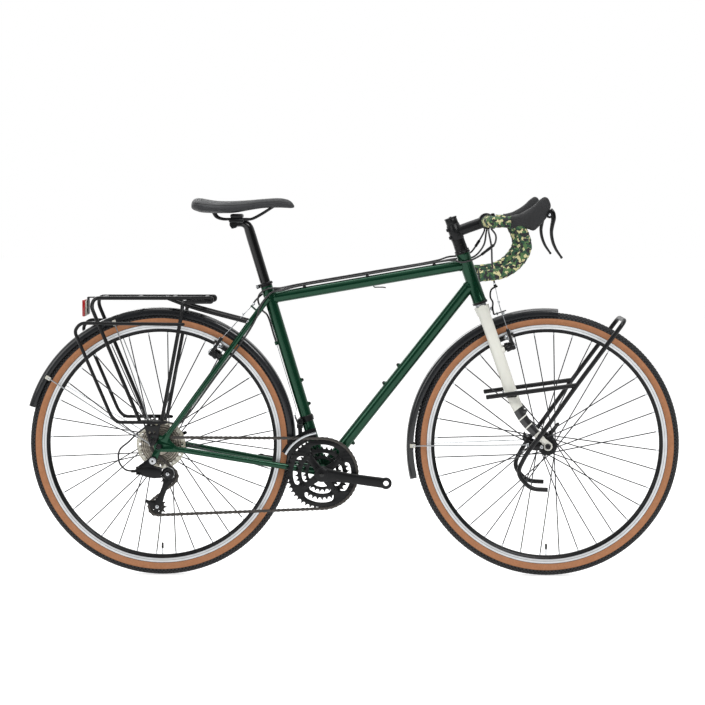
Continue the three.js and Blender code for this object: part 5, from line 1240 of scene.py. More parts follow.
# The hood from its lip to its horn: underside, top (both forward and up from the bar) and half width
hoodRings = [
    ((-9, -16.4), (-9, 16.6), 16.8),
    ((0, -16.8), (0, 18.4), 17.6),
    ((16, -15.5), (14, 22.5), 17.6),
    ((33, -18), (28, 29.5), 17.4),
    ((47, -22), (40, 37), 17),
    ((60, -12), (50, 45), 16.8),
    ((71, 0), (57.5, 52.5), 16.2),
    ((80.5, 12), (64, 58), 15.4),
    ((86, 26), (70, 62), 14),
    ((90.5, 41), (75, 63.6), 12),
    ((87.5, 52), (79.5, 62.6), 8.4),
    ((85, 57.5), (82, 61), 4.5),
]
leverShares = [
    (0.015, 0.12), (0.07, 0.04), (0.09, -0.07), (0.065, -0.22), (0.045, -0.38), (0.07, -0.56),
    (0.14, -0.74), (0.26, -0.92)
]
leverSizes = [(0.9, 1.3), (1, 1.5), (1, 1.4), (1, 1.15), (0.95, 1), (0.9, 0.95), (0.8, 0.85), (0.6, 0.65)]
stackFoot = layout["headTubeLength"] + layout["cupHeight"] / 2 + fitGap
stackTop = layout["headTubeLength"] + layout["stackHeight"]
stemFoot = layout["headTubeLength"] + cockpit["clampRise"] + layout["cupHeight"]
stemMiddle = onHead(stemFoot + cockpit["clampHeight"] / 2)
slope = math.radians(cockpit["slope"])
barCentre = at(
    stemMiddle.x + cockpit["reach"] * math.cos(slope), 0,
    stemMiddle.z + cockpit["reach"] * math.sin(slope) + cockpit["clampHeight"] / 4
)


def fromBar(x, z, side):
    return at(barCentre.x + x, side, barCentre.z + z)


def buildStem():
    radius, height = cockpit["clampRadius"], cockpit["clampHeight"]
    spacers = []
    for low, high, wide in (
        (stackFoot, stackFoot + 4, 19.6), (stackFoot + 4, stackFoot + 18, 17),
        (stackFoot + 18, stemFoot, 16.6)
    ):
        spacers.append(
            turned(
                "spacer", onHead(low), steerUp,
                [(0.1, wide - 0.5), (0.6, wide), (high - low - 0.6, wide), (high - low - 0.1, wide - 0.5)],
                48
            )
        )
    gather("stemSpacers", "steering", "black_alloy", satinBlack, spacers, "stem")
    clamp = turned("stemClamp", onHead(stemFoot), steerUp, blunt(height, radius), 48)
    upperEnd = stackTop - stemFoot - height - 4
    upper = turned(
        "stemUpper", onHead(stemFoot + height), steerUp,
        [(0.2, 15.6), (1, 16), (upperEnd - 1, 16), (upperEnd, 15.4)], 48
    )
    cap = turned("topCap", onHead(stackTop - 4), steerUp, [(0, 16.4), (1, 17), (3, 17), (4, 15.5)], 48)
    route = [along(stemMiddle, foreAxis, 2), between(stemMiddle, barCentre, 0.45), barCentre]
    arm = swept("stemArm", route, (cockpit["tubeRadius"], cockpit["tubeRadius"]), circle(36))
    width = cockpit["faceWidth"]
    face = turned(
        "barClamp", atSide(barCentre, -width / 2), sideAxis, blunt(width, cockpit["faceRadius"], 1.5, 2), 48
    )
    plates = [
        boxed("faceLug", fromBar(17, level * 15, side * 15), (9, 10, 11), slope, 2) for level in (-1, 1)
        for side in (-1, 1)
    ]
    ears = [
        boxed(
            "stemEar", onHead(stemFoot + height * share, -radius + 1), (9, 19, 9),
            math.radians(90 - layout["headAngle"]), 2
        ) for share in (0.25, 0.75)
    ]
    screws = [
        bolt("faceBolt", fromBar(21, level * 15, side * 15), foreAxis, 3.4, 2.6) for level in (-1, 1)
        for side in (-1, 1)
    ]
    screws += [
        bolt(
            "stemBolt", onHead(stemFoot + height * share, -radius + 1, -9), -sideAxis, 3.6, 2.6, satinBlack
        ) for share in (0.25, 0.75)
    ]
    screws.append(bolt("capBolt", onHead(stackTop), steerUp, 4, 2, satinBlack))
    gather(
        "stem", "steering", "black_alloy", satinBlack, [clamp, upper, cap, arm, face, *plates, *ears],
        "stem", smoothAngle=45
    )
    gather("stemBolts", "steering", "wheel_alloy", silverAlloy, screws, "stem")


def tapeRoute(hand):
    corner = hand * cockpit["barWidth"] / 2
    reach = cockpit["hookReach"]
    route = [
        fromBar(0, 0, hand * cockpit["tapeStart"]),
        fromBar(0, 0, hand * (cockpit["barWidth"] / 2 - reach * 0.5)),
        fromBar(reach * 0.16, 0, corner * 0.975)
    ]
    return smoothPath(
        route + [fromBar(x * reach, z * cockpit["hookDrop"], corner) for x, z in hookShares[1:]], 14
    )


# The tape is wound with an overlap, so its radius steps once a turn and the step climbs round the bar
def buildBar():
    barEnd, half = cockpit["tapeStart"] + 16, cockpit["faceWidth"] / 2
    thin, thick = cockpit["barRadius"], cockpit["barClampRadius"]
    profile = [(0, thin), (barEnd - half - 8, thin), (barEnd - half - 4, thick)]
    profile += [(barEnd * 2 - distance, radius) for distance, radius in reversed(profile)]
    bar = turned("handlebar", atSide(barCentre, -barEnd), sideAxis, profile, 40)
    gather("handlebar", "steering", "black_alloy", satinBlack, [bar], "handlebar")
    for name, hand in hands:
        path = evenPath(tapeRoute(hand), cockpit["tapeSpacing"])
        rings = sweepRings(path, circle(cockpit["tapeSides"]), (1, 1), upAxis)
        wound = []
        for i, (point, ring) in enumerate(zip(path, rings)):
            turns = i * cockpit["tapeSpacing"] / cockpit["tapeStep"]
            row = []
            for j, corner in enumerate(ring):
                phase = (turns + j / cockpit["tapeSides"]) % 1
                rise = 1.5 * phase - (0.9 if phase > 0.94 else 0)
                row.append(point + (corner - point) * (cockpit["tapeRadius"] - 1 + rise))
            wound.append(row)
        tape = skinned("tape" + name, wound)
        gather(
            "tape" + name, "steering", "bar_tape", tapeCloth, [tape], "tape_" + name.lower(), smoothAngle=28
        )
        end, before = path[-1], path[-4]
        direction = (end - before).normalized()
        plug = turned(
            "barPlug", end, direction, [(-2, 14.6), (0.5, 15.4), (2.5, 14.8), (3.8, 12), (4.2, 6)], 32
        )
        foot = atSide(barCentre, hand * (cockpit["tapeStart"] - 3))
        stations = [(0, 13.4), (0.4, 14.2), (4.5, 16.1), (11, 16.5), (11.4, 15.8)]
        band = turned("tapeBand", foot, sideAxis * hand, stations, 32)
        gather(
            "barPlug" + name, "steering", "black_alloy", blackPlastic, [plug, band], "tape_" + name.lower()
        )


def hoodRoot(hand):
    return fromBar(cockpit["hookReach"] * 0.7, 0, hand * cockpit["barWidth"] / 2)


def leverPivot(hand):
    return hoodRoot(hand) + at(cockpit["hoodReach"] * 1.32, 0, cockpit["hoodRise"] * 0.3)


def buildLevers():
    for name, hand in hands:
        root, pivot = hoodRoot(hand), leverPivot(hand)
        lows = smoothPath([root + at(low[0], 0, low[1]) for low, _, _ in hoodRings], 5)
        tops = smoothPath([root + at(top[0], 0, top[1]) for _, top, _ in hoodRings], 5)
        widths = smoothPath([at(i, 0, half) for i, (_, _, half) in enumerate(hoodRings)], 5)
        rings = []
        for low, top, width in zip(lows, tops, widths):
            rings.append(
                [
                    between(low, top, 0.5) + (top - low) * (b / 2) + sideAxis * (a * width.z)
                    for a, b in softBox(2.5, 40)
                ]
            )
        hood = skinned("hood", rings)
        lip = turned(
            "hoodLip", root + at(-10, 0, 0.1), foreAxis, [(-0.8, 16.2), (0, 17.4), (2, 17.9), (3.2, 17)], 36
        )
        gather(
            "hood" + name, "steering", "hood_rubber", hoodRubber, [hood, lip], "hood_" + name.lower(),
            smoothAngle=60
        )
        cheeks = [
            turned(
                "leverCheek", along(pivot, sideAxis, side * 9.6), sideAxis * side,
                [(0, 8.5), (2.2, 8.5), (3, 7.6)], 28
            ) for side in (-1, 1)
        ]
        bridge = boxed("leverBridge", pivot + at(-12, 0, 1), (14, 25, 12), 0, 2.5)
        gather(
            "leverHousing" + name, "steering", "black_alloy", satinBlack, [*cheeks, bridge],
            "hood_" + name.lower()
        )
        pins = [
            bolt("leverPin", along(pivot, sideAxis, side * 12.4), sideAxis * side, 3, 1.2)
            for side in (-1, 1)
        ]
        gather("leverPins" + name, "steering", "wheel_alloy", silverAlloy, pins, "hood_" + name.lower())
        blade = smoothPath([pivot + at(x, 0, z) * cockpit["leverLength"] for x, z in leverShares], 10)
        lever = swept(
            "lever", blade, stops(leverSizes, cockpit["leverBreadth"] / 2, cockpit["leverDepth"] / 2),
            softBox(2.8, 28)
        )
        tip = turned(
            "leverTip", blade[-1], (blade[-1] - blade[-3]).normalized(),
            [(-1, 3), (0, 3.4), (2, 3.6), (4, 2.6), (4.8, 1)], 24
        )
        hub = turned("leverHub", along(pivot, sideAxis, -8), sideAxis, straight(16, 6.4), 28, edge=0.4)
        gather(
            "brakeLever" + name, "lever_" + name.lower(), "black_alloy", glossBlack, [lever, tip, hub],
            "lever_" + name.lower(), smoothAngle=50
        )


# Saddle, its rails and clamp, and the post
saddle = {
    "rise": 143,
    "setback": 33,
    "headRise": 32,
    "railSide": 22,
    "railRadius": 3.6,
    "postRadius": 13.6,
    "postInside": 160,
    "length": 269,
    "width": 150,
    "depth": 40,
    "top": 37.4,
    "back": 118,
}
# Stations from the tail: distance, half width, top and underside, all as shares
saddleStations = [
    (0, 0.42, 0.76, 0.34),
    (0.015, 0.64, 0.93, 0.24),
    (0.05, 0.84, 1.02, 0.14),
    (0.1, 0.96, 1, 0.04),
    (0.2, 1, 0.88, 0),
    (0.3, 0.86, 0.83, -0.01),
    (0.42, 0.58, 0.84, 0.02),
    (0.56, 0.37, 0.89, 0.19),
    (0.7, 0.3, 0.97, 0.33),
    (0.85, 0.27, 1.02, 0.36),
    (0.94, 0.24, 0.92, 0.34),
    (0.98, 0.2, 0.74, 0.34),
    (1, 0.1, 0.54, 0.4),
]
railShares = [
    (-1.02, 0.98, 1.6), (-0.86, 0.2, 1.2), (-0.6, -0.08, 1), (-0.35, -0.1, 1), (0.35, -0.1, 1),
    (0.62, -0.08, 1), (1.02, 0.5, 0.8), (1.5, 1.4, 0.45), (1.75, 1.85, 0.35)
]
postTop = onSeat(layout["seatTubeLength"] + saddle["rise"])
clampCentre = at(postTop.x - saddle["setback"], 0, postTop.z + saddle["headRise"])
saddleTail = at(clampCentre.x - saddle["back"], 0, clampCentre.z + saddle["top"] - saddle["depth"] * 0.62)


def saddleRing(station, grow=0.0):
    place, wide, top, low = station
    ring = []
    for a, b in circle(44, 0.5):
        reach = (abs(a) ** 2.4 + abs(b) ** 2.1) ** (-1 / 2.25)
        across, up = a * reach, b * reach
        crown = up if up > 0 else -abs(up) ** 0.55 * (0.72 + 0.28 * min(1, abs(across) / 0.6))
        share = (crown + 1) / 2
        drop = 0.12 * abs(across) ** 3 * (1 if up > 0 else 0)
        side = across * wide * (saddle["width"] / 2 + grow)
        ring.append(
            at(
                saddleTail.x + place * saddle["length"], side,
                saddleTail.z + (low + (top - low) * (share - drop)) * saddle["depth"] + grow * up
            )
        )
    return ring


def saddleStationAt(share):
    places = [station[0] for station in saddleStations]
    i = max(min(sum(share > place for place in places) - 1, len(places) - 2), 0)
    before, after = saddleStations[max(i - 1, 0)], saddleStations[min(i + 2, len(places) - 1)]
    a, b = saddleStations[i : i + 2]
    t = (share - a[0]) / (b[0] - a[0])
    values = []
    for k in range(1, 4):
        slopeA = (b[k] - before[k]) / max(b[0] - before[0], 1e-6) * (b[0] - a[0])
        slopeB = (after[k] - a[k]) / max(after[0] - a[0], 1e-6) * (b[0] - a[0])
        level = a[k] * (2 * t**3 - 3 * t**2 + 1) + b[k] * (3 * t**2 - 2 * t**3)
        values.append(level + slopeA * (t**3 - 2 * t**2 + t) + slopeB * (t**3 - t**2))
    return (share, *values)


def buildSaddle():
    middle = [0.055 + 0.885 * i / 36 for i in range(37)]
    shares = [0.0, 0.008, 0.02, 0.035, *middle, 0.965, 0.985, 0.995, 1.0]
    rings = [saddleRing(saddleStationAt(share)) for share in shares]
    cover = skinned("saddleCover", rings)
    cover = gather(
        "saddleCover", "saddle_and_post", "saddle_cover", saddleLeather, [cover], "saddle", smoothAngle=70
    )
    seamParts = []
    for side in (-1, 1):
        line = []
        for share in [0.04 + 0.9 * i / 40 for i in range(41)]:
            ring = saddleRing(saddleStationAt(share), 0.25)
            line.append(ring[3] if side > 0 else ring[18])
        seamParts.append(rod("saddleSeam", line, 0.55, 8))
    gather("saddleSeam", "saddle_and_post", "saddle_cover", saddleBase, seamParts, "saddle", smoothAngle=70)

    rails = []
    for hand in (-1, 1):
        route = [
            at(
                clampCentre.x + x * saddle["back"] * 0.52, hand * y * saddle["railSide"],
                clampCentre.z + z * 20.4
            ) for x, z, y in railShares
        ]
        rails.append(rod("rail", smoothPath(route, 8), saddle["railRadius"], 16))
    gather("saddleRails", "saddle_and_post", "black_alloy", satinBlack, rails, "seatpost")
    base = layout["seatTubeLength"]
    radius, inside = saddle["postRadius"], saddle["postInside"]
    tube = turned(
        "seatpost", onSeat(base - inside), seatUp, straight(inside + saddle["rise"] - 12, radius), 40
    )
    elbow = along(postTop, seatUp, 20.9)
    route = roundedPath([along(postTop, seatUp, -20), elbow, clampCentre + at(-13, 0, -13)], 20, 10)
    neck = swept("postHead", route, mix((radius, radius), (15, 9.5)), circle(36))
    gather(
        "seatpost", "saddle_and_post", "black_alloy", glossBlack, [tube, neck], "seatpost", smoothAngle=50
    )
    low = boxed("clampLow", along(clampCentre, upAxis, -6), (40, 57, 11), 0, 4)
    high = boxed("clampHigh", along(clampCentre, upAxis, 6.6), (33, 54, 11), 0, 4.4)
    barrels = []
    for x, z, wide in ((-8, -15, 11), (8, -10, 9)):
        barrels.append(
            turned("clampBarrel", clampCentre + at(x, -17, z), sideAxis, blunt(34, wide, 1.5, 1.5), 32)
        )
    screws = [
        bolt("clampBolt", clampCentre + at(x, 0, -9 - (15 if x < 0 else 0)), -upAxis, 4, 3, satinBlack)
        for x in (-12, 14)
    ]
    gather(
        "railClamp", "saddle_and_post", "black_alloy", satinBlack, [low, high, *barrels, *screws],
        "seatpost"
    )


buildStem()
buildBar()
buildLevers()
buildSaddle()
print("cockpit and saddle ready")


# Wheels: tyre with its tread, rim, spokes with nipples, hub, axle and quick-release lever
wheels = {
    "rimSeat": 311,
    "rimDepth": 14,
    "rimWidth": 21,
    "spokeRadius": 1.55,
    "spokeCount": 36,
    "spokeStagger": 4.6,
    "spokeCrossing": 6.6,
    "spokeShift": 0.68,
    "flangeRadius": 22,
    "flangeThickness": 7.2,
    "hubRadius": 13,
    "frontFlange": 34,
    "rearFlangeLeft": 35,
    "rearFlangeRight": 17,
    "treadBlocks": 216,
    "casingMiddle": 331,
    "leverReach": 60,
    "leverStandoff": 18.5,
    "frontLeverAngle": 54,
    "rearLeverAngle": 20,
}


def wheelPoint(centre, angle, radius, side=0.0):
    turn = math.radians(angle)
    return at(centre.x + math.cos(turn) * radius, side, centre.z + math.sin(turn) * radius)


def roundArray(piece, centre, count, step=None):
    step = step or 360 / count
    return joined(
        piece.name,
        [piece] + [copied(piece, turnAbout(centre, sideAxis, -i * step)) for i in range(1, count)]
    )


# Tread rows from the middle out: side, radius, block sizes, and the share of a step each row is turned by
treadRows = [
    (0, 348.6, (7.6, 5.4, 2.2), 0),
    (6.6, 347.4, (6.8, 4.4, 2.2), 0.5),
    (12, 345, (6.4, 4.2, 2.4), 0),
    (16.2, 341.6, (6, 3.6, 2.6), 0.5),
    (18.9, 336.8, (5.6, 3.8, 2), 0),
]


def buildTyre(name, centre, body, material, node):
    profile = [
        (317.5, -10.4), (320, -13.2), (325, -17), (331, -19.2), (335, -19.3), (339, -18.2), (343, -15),
        (345.8, -10), (347, -5), (347.6, 0)
    ]
    loop = profile + [(radius, -side) for radius, side in reversed(profile[:-1])]
    carcass = ringed(name, centre, loop, 160)
    gather(name, body, "tyre", material, [carcass], node, smoothAngle=60)
    rows = []
    step = 360 / wheels["treadBlocks"]
    for side, radius, sizes, shift in treadRows:
        for hand in (-1, 1) if side else (1,):
            lean = math.atan2(side * hand, radius - wheels["casingMiddle"]) if side else 0
            block = softened(boxed("treadBlock", at(0, 0, 0), sizes, 0, 0), 0.6, 1)
            place = Matrix.Translation(at(centre.x, side * hand, centre.z + radius) * millimetre)
            block.data.transform(place @ Matrix.Rotation(-lean * 0.85, 4, foreAxis))
            block.data.transform(turnAbout(centre, sideAxis, shift * step))
            rows.append(roundArray(block, centre, wheels["treadBlocks"]))
    gather(name + "Tread", body, "tyre", treadRubber, rows, node)


def buildRim(name, centre, body, material, node):
    seat, depth, half = wheels["rimSeat"], wheels["rimDepth"], wheels["rimWidth"] / 2
    profile = [
        (seat - depth, -4), (seat - depth + 2, -6.5), (seat - depth / 2, -half + 0.6), (seat - 4, -half),
        (317.4, -half), (317.6, -half + 1.4), (seat + 2, -half + 1.8), (seat - 3, 0)
    ]
    loop = profile + [(radius, -side) for radius, side in reversed(profile[1:-1])] + [(seat - depth, 4)]
    rim = ringed(name, centre, loop, 160)
    gather(name, body, "wheel_alloy", material, [rim], node, smoothAngle=28)


def buildSpokes(name, centre, body, sides, node):
    left, right = sides
    step = 360 / wheels["spokeCount"]
    spokes, nipples = [], []
    for i in range(wheels["spokeCount"]):
        hand = 1 if i % 2 else -1
        lead = 1 if (i // 2) % 2 else -1
        side = left if hand > 0 else right
        place = i + wheels["spokeShift"]
        hubAngle = (place + lead * wheels["spokeCrossing"]) * step
        hubSide = side + lead * wheels["spokeStagger"] / 2
        hub = wheelPoint(centre, hubAngle, wheels["flangeRadius"], hand * hubSide)
        seat = wheelPoint(centre, place * step, wheels["rimSeat"] - wheels["rimDepth"] + 2, hand * 1.5)
        head = hub + sideAxis * (hand * lead * 3.2)
        inward = (hub - seat).normalized()
        spokes.append(rod("spoke", [head, hub, seat], wheels["spokeRadius"], 8))
        nipples.append(rod("nipple", [along(seat, inward, 9), along(seat, inward, -1)], 1.9, 8))
    gather(name + "Spokes", body, "wheel_alloy", spokeSteel, spokes, node, smoothAngle=60)
    gather(name + "Nipples", body, "wheel_alloy", silverAlloy, nipples, node, smoothAngle=60)


def buildHub(name, centre, body, sides, ends, node):
    left, right = sides
    leftEnd, rightEnd = ends
    top, shell, half = wheels["flangeRadius"] + 4, wheels["hubRadius"], wheels["flangeThickness"] / 2
    flange = [(-2.4, shell + 0.5), (-0.7, shell + 3), (-0.6, top - 0.8), (-0.3, top)]
    flange += [(0.3, top), (0.6, top - 0.8), (0.8, shell + 3), (3, shell - 1)]
    stations = [
        (-rightEnd, 9), (-rightEnd, shell - 1),
        *[(share * half - right, radius) for share, radius in flange]
    ]
    stations += [(left - share * half, radius) for share, radius in reversed(flange)]
    stations += [(leftEnd, shell - 1), (leftEnd, 9)]
    ordered = sorted(range(len(stations)), key=lambda i: (round(stations[i][0], 3), i))
    hub = turned(name + "Hub", centre, sideAxis, [stations[i] for i in ordered], 48)
    valve = rod("valve", [at(centre.x, 0, centre.z - 303), at(centre.x, 0, centre.z - 272)], 1.9, 16)
    valveCap = turned(
        "valveCap", at(centre.x, 0, centre.z - 281), upAxis,
        [(0, 2.6), (1, 3), (12, 2.8), (15, 2.2), (15.6, 1)], 20
    )
    gather(name + "Hub", body, "black_alloy", satinBlack, [hub], node, smoothAngle=40)
    gather(name + "Valve", body, "black_alloy", blackPlastic, [painted(valve, silverAlloy), valveCap], node)


def buildAxle(name, centre, half, body, node):
    parts = [turned("axle", atSide(centre, -half - 8), sideAxis, straight(half * 2 + 16, 4.8), 24)]
    for hand in (-1, 1):
        out = sideAxis * hand
        locknut = [(0, 8.4), (4.8, 8.4), (4.8, 7.4)]
        parts.append(turned("locknut", atSide(centre, hand * (half - 5.2)), out, locknut, 24, edge=0.3))
        axleNut = [(0, 7.4), (5, 7.8), (6.5, 7.4)] + ([(13, 6), (13.6, 5)] if hand < 0 else [])
        parts.append(turned("axleNut", atSide(centre, hand * (half + 6.3)), out, axleNut, 28, edge=0.3))
        painted(parts[-1], satinBlack)
    gather(name, body, "wheel_alloy", silverAlloy, parts, node)


def buildQuickRelease(name, centre, half, angle, body):
    head = atSide(centre, half + wheels["leverStandoff"] + fitGap)
    direction = aim(angle)
    pivot = direction.cross(sideAxis)
    barrel = turned("barrel", along(head, pivot, -9), pivot, blunt(18, 5.4, 1, 0.6), 28)
    reach = wheels["leverReach"]
    middle = along(along(head, sideAxis, 1.2), direction, reach / 2)
    route = smoothPath([along(head, direction, 2), middle, along(head, direction, reach)], 8)
    lever = swept(
        "lever", route, stops([(2.6, 6.6), (2.2, 6), (1.9, 5.4), (2.2, 4.6)], 1, 1), softBox(3.2, 28)
    )
    tip = turned("leverEnd", route[-1], direction, [(-1, 3), (1, 2.6), (2.4, 1)], 20)
    gather(name, body, "black_alloy", glossBlack, [barrel, lever, tip], body, smoothAngle=45)


def buildWheels():
    cassetteInner = wheels["rearFlangeRight"] + wheels["flangeThickness"] / 2 + wheels["spokeStagger"]
    buildTyre("frontTyre", frontAxle, "front_wheel", frontTyreRubber, "tyre_front")
    buildTyre("rearTyre", rearAxle, "rear_wheel", rearTyreRubber, "tyre_rear")
    buildRim("frontRim", frontAxle, "front_wheel", frontRimMetal, "wheel_front")
    buildRim("rearRim", rearAxle, "rear_wheel", rearRimMetal, "wheel_rear")
    frontSides = (wheels["frontFlange"], wheels["frontFlange"])
    rearSides = (wheels["rearFlangeLeft"], wheels["rearFlangeRight"])
    buildSpokes("front", frontAxle, "front_wheel", frontSides, "wheel_front")
    buildSpokes("rear", rearAxle, "rear_wheel", rearSides, "wheel_rear")
    buildHub("front", frontAxle, "front_wheel", frontSides, (frontEnd - 5.5, frontEnd - 5.5), "wheel_front")
    buildHub("rear", rearAxle, "rear_wheel", rearSides, (rearEnd - 5.5, cassetteInner - 0.4), "wheel_rear")
    buildAxle("frontAxle", frontAxle, frontEnd, "steering", "axle_front")
    buildAxle("rearAxle", rearAxle, rearEnd, "frame", "axle_rear")
    buildQuickRelease(
        "frontQuickRelease", frontAxle, frontEnd, wheels["frontLeverAngle"], "quick_release_front"
    )
    buildQuickRelease("rearQuickRelease", rearAxle, rearEnd, wheels["rearLeverAngle"], "quick_release_rear")


# Chain line over the outer ring, the outer cog and the two jockey pulleys
drive = {
    "pitch": 12.7,
    "rollerHalf": 3.9,
    "ringTeeth": (46, 34, 24),
    "ringLine": 55,
    "ringSpacing": 7.6,
    "cogTeeth": (11, 12, 14, 16, 18, 21, 24, 28),
    "cogLine": 60,
    "cogSpacing": 4.8,
    "toothThickness": 1.8,
    "toothRise": 3,
    "pulleyTeeth": 11,
    "cageLength": 86,
    "cageLean": 250,
    "cageSwing": 14,
    "protectorRadius": 64.5,
    "protectorThickness": 1.6,
}
guideCentre = fromRear(24, -81)
ringSide, cogSide = -drive["ringLine"], -drive["cogLine"]
# Inner radius, tab height and thickness of each chainring
ringShapes = [(76.5, 30, 2.2), (54, 12, 1.9), (37, 8, 1.9)]


def pitchRadius(teeth):
    return drive["pitch"] / (2 * math.sin(math.pi / teeth))


def mixPoints(start, end):
    return lambda share: between(start, end, share)


def arcPoints(centre, radius, enter, turn):
    return lambda share: wheelPoint(centre, math.degrees(enter + turn * share), radius)


# The chain as straight runs and arcs in turn: length, the wheels it leaves and meets, and its points
def chainPath(lean):
    tension = wheelPoint(guideCentre, lean, drive["cageLength"])
    pulley = pitchRadius(drive["pulleyTeeth"])
    ring, cog = pitchRadius(drive["ringTeeth"][0]), pitchRadius(drive["cogTeeth"][0])
    rounds = [(bracket, ring, 1), (rearAxle, cog, 1), (guideCentre, pulley, -1), (tension, pulley, 1)]
    runs = []
    for i, (centre, radius, sense) in enumerate(rounds):
        nextCentre, nextRadius, nextSense = rounds[(i + 1) % 4]
        gap = nextCentre - centre
        lean = math.asin((sense * radius - nextSense * nextRadius) / math.hypot(gap.x, gap.z))
        angle = math.atan2(gap.z, gap.x) + lean
        normal = at(math.sin(angle), 0, -math.cos(angle))
        runs.append(
            (along(centre, normal, sense * radius), along(nextCentre, normal, nextSense * nextRadius))
        )
    parts = []
    for i, (start, end) in enumerate(runs):
        follower = (i + 1) % 4
        centre, radius, sense = rounds[follower]
        leave = runs[follower][0]
        enter = math.atan2(end.z - centre.z, end.x - centre.x)
        turn = ((math.atan2(leave.z - centre.z, leave.x - centre.x) - enter) * sense) % (2 * math.pi)
        parts.append(((start - end).length, i, follower, mixPoints(start, end)))
        parts.append((turn * radius, follower, follower, arcPoints(centre, radius, enter, sense * turn)))
    return parts, tension


def placeOn(parts, distance):
    lines = (ringSide, cogSide, cogSide, cogSide)
    for length, first, second, place in parts:
        if distance <= length:
            share = distance / length
            side = lines[first] + (lines[second] - lines[first]) * share
            return atSide(place(share), side), first if first == second else -1
        distance -= length
    return atSide(parts[0][3](0), lines[0]), -1


def stepAlong(parts):
    total = sum(part[0] for part in parts)
    pins, distance = [placeOn(parts, 0)], 0
    while distance < total - drive["pitch"]:
        near, far = distance + drive["pitch"] * 0.9, min(distance + drive["pitch"] * 1.2, total)
        last = pins[-1][0]
        for _ in range(30):
            middle = (near + far) / 2
            point = placeOn(parts, middle)[0]
            if math.hypot(point.x - last.x, point.z - last.z) < drive["pitch"]:
                near = middle
            else:
                far = middle
        distance = (near + far) / 2
        pins.append(placeOn(parts, distance))
    return pins, total - distance


def slackAt(lean, count):
    pins, left = stepAlong(chainPath(lean)[0])
    return (count - len(pins) + 1) * drive["pitch"] - left


linkCount = round(len(stepAlong(chainPath(drive["cageLean"])[0])[0]) / 2) * 2
leanLow, leanHigh = drive["cageLean"] - drive["cageSwing"], drive["cageLean"] + drive["cageSwing"]
rising = slackAt(leanHigh, linkCount) > slackAt(leanLow, linkCount)
for _ in range(30):
    leanMiddle = (leanLow + leanHigh) / 2
    if (slackAt(leanMiddle, linkCount) > 0) == rising:
        leanHigh = leanMiddle
    else:
        leanLow = leanMiddle
chainParts, tensionCentre = chainPath((leanLow + leanHigh) / 2)
chainPins = stepAlong(chainParts)[0][:linkCount]


def phaseOn(wheel, centre):
    onWheel = [point for point, which in chainPins if which == wheel]
    point = onWheel[len(onWheel) // 2]
    return math.atan2(point.z - centre.z, point.x - centre.x)


def linkOutline(width, waist):
    outline = []
    for centre, start in ((drive["pitch"], -1), (0, 1)):
        for i in range(9):
            turn = start * math.pi / 2 + i * math.pi / 8
            outline.append((centre + math.cos(turn) * width, math.sin(turn) * width))
        outline.append((drive["pitch"] / 2, start * -waist))
    return outline


# One outer and one inner link are modelled; each pair of pins gets a copy
def buildChain():
    outer = [plate("linkPlate", linkOutline(4.1, 3.1), side, 1.0, edge=0.2) for side in (-3.35, 3.35)]
    outer += [
        turned("linkPin", at(x, -4.1, 0), sideAxis, blunt(8.2, 1.8, 0.3, 0.5), 10)
        for x in (0, drive["pitch"])
    ]
    outerLink = joined("outerLink", outer)
    inner = [plate("linkPlate", linkOutline(4.0, 3.0), side, 1.0, edge=0.2) for side in (-2.15, 2.15)]
    inner += [
        turned("linkRoller", at(x, -1.6, 0), sideAxis, straight(3.2, 3.85), 14) for x in (0, drive["pitch"])
    ]
    innerLink = joined("innerLink", inner)
    links = []
    for i, (start, _) in enumerate(chainPins):
        end = chainPins[(i + 1) % len(chainPins)][0]
        ahead = (end - start).normalized()
        over = ahead.cross(sideAxis).normalized()
        turn = Matrix((ahead, over.cross(ahead), over)).transposed().to_4x4()
        links.append(
            copied(outerLink if i % 2 else innerLink, Matrix.Translation(start * millimetre) @ turn)
        )
    for pattern in (outerLink, innerLink):
        bpy.data.objects.remove(pattern)
    gather("chainLinks", "frame", "steel", chainSteel, links, "chain", smoothAngle=35)


# Each tooth is a round gullet under a roller and a blunt tip between two of them
def toothedOutline(centre, teeth, phase):
    radius, outline = pitchRadius(teeth), []
    gullet = drive["rollerHalf"] + 0.3
    reach = radius + drive["toothRise"] - 0.4
    for i in range(teeth):
        angle = phase + i * 2 * math.pi / teeth
        for turn in (-62, -32, 0, 32, 62):
            inward = angle + math.pi + math.radians(-turn)
            x = math.cos(angle) * radius + math.cos(inward) * gullet
            z = math.sin(angle) * radius + math.sin(inward) * gullet
            outline.append((centre.x + x, centre.z + z))
        tip = angle + math.pi / teeth
        for offset in (-0.9, 0.9):
            x = math.cos(tip) * reach - math.sin(tip) * offset
            z = math.sin(tip) * reach + math.cos(tip) * offset
            outline.append((centre.x + x, centre.z + z))
    return outline


def holesRound(centre, count, reach, radius, sides):
    places = [wheelPoint(centre, k * 360 / count, reach) for k in range(count)]
    return [disc(place.x, place.z, radius, sides) for place in places]


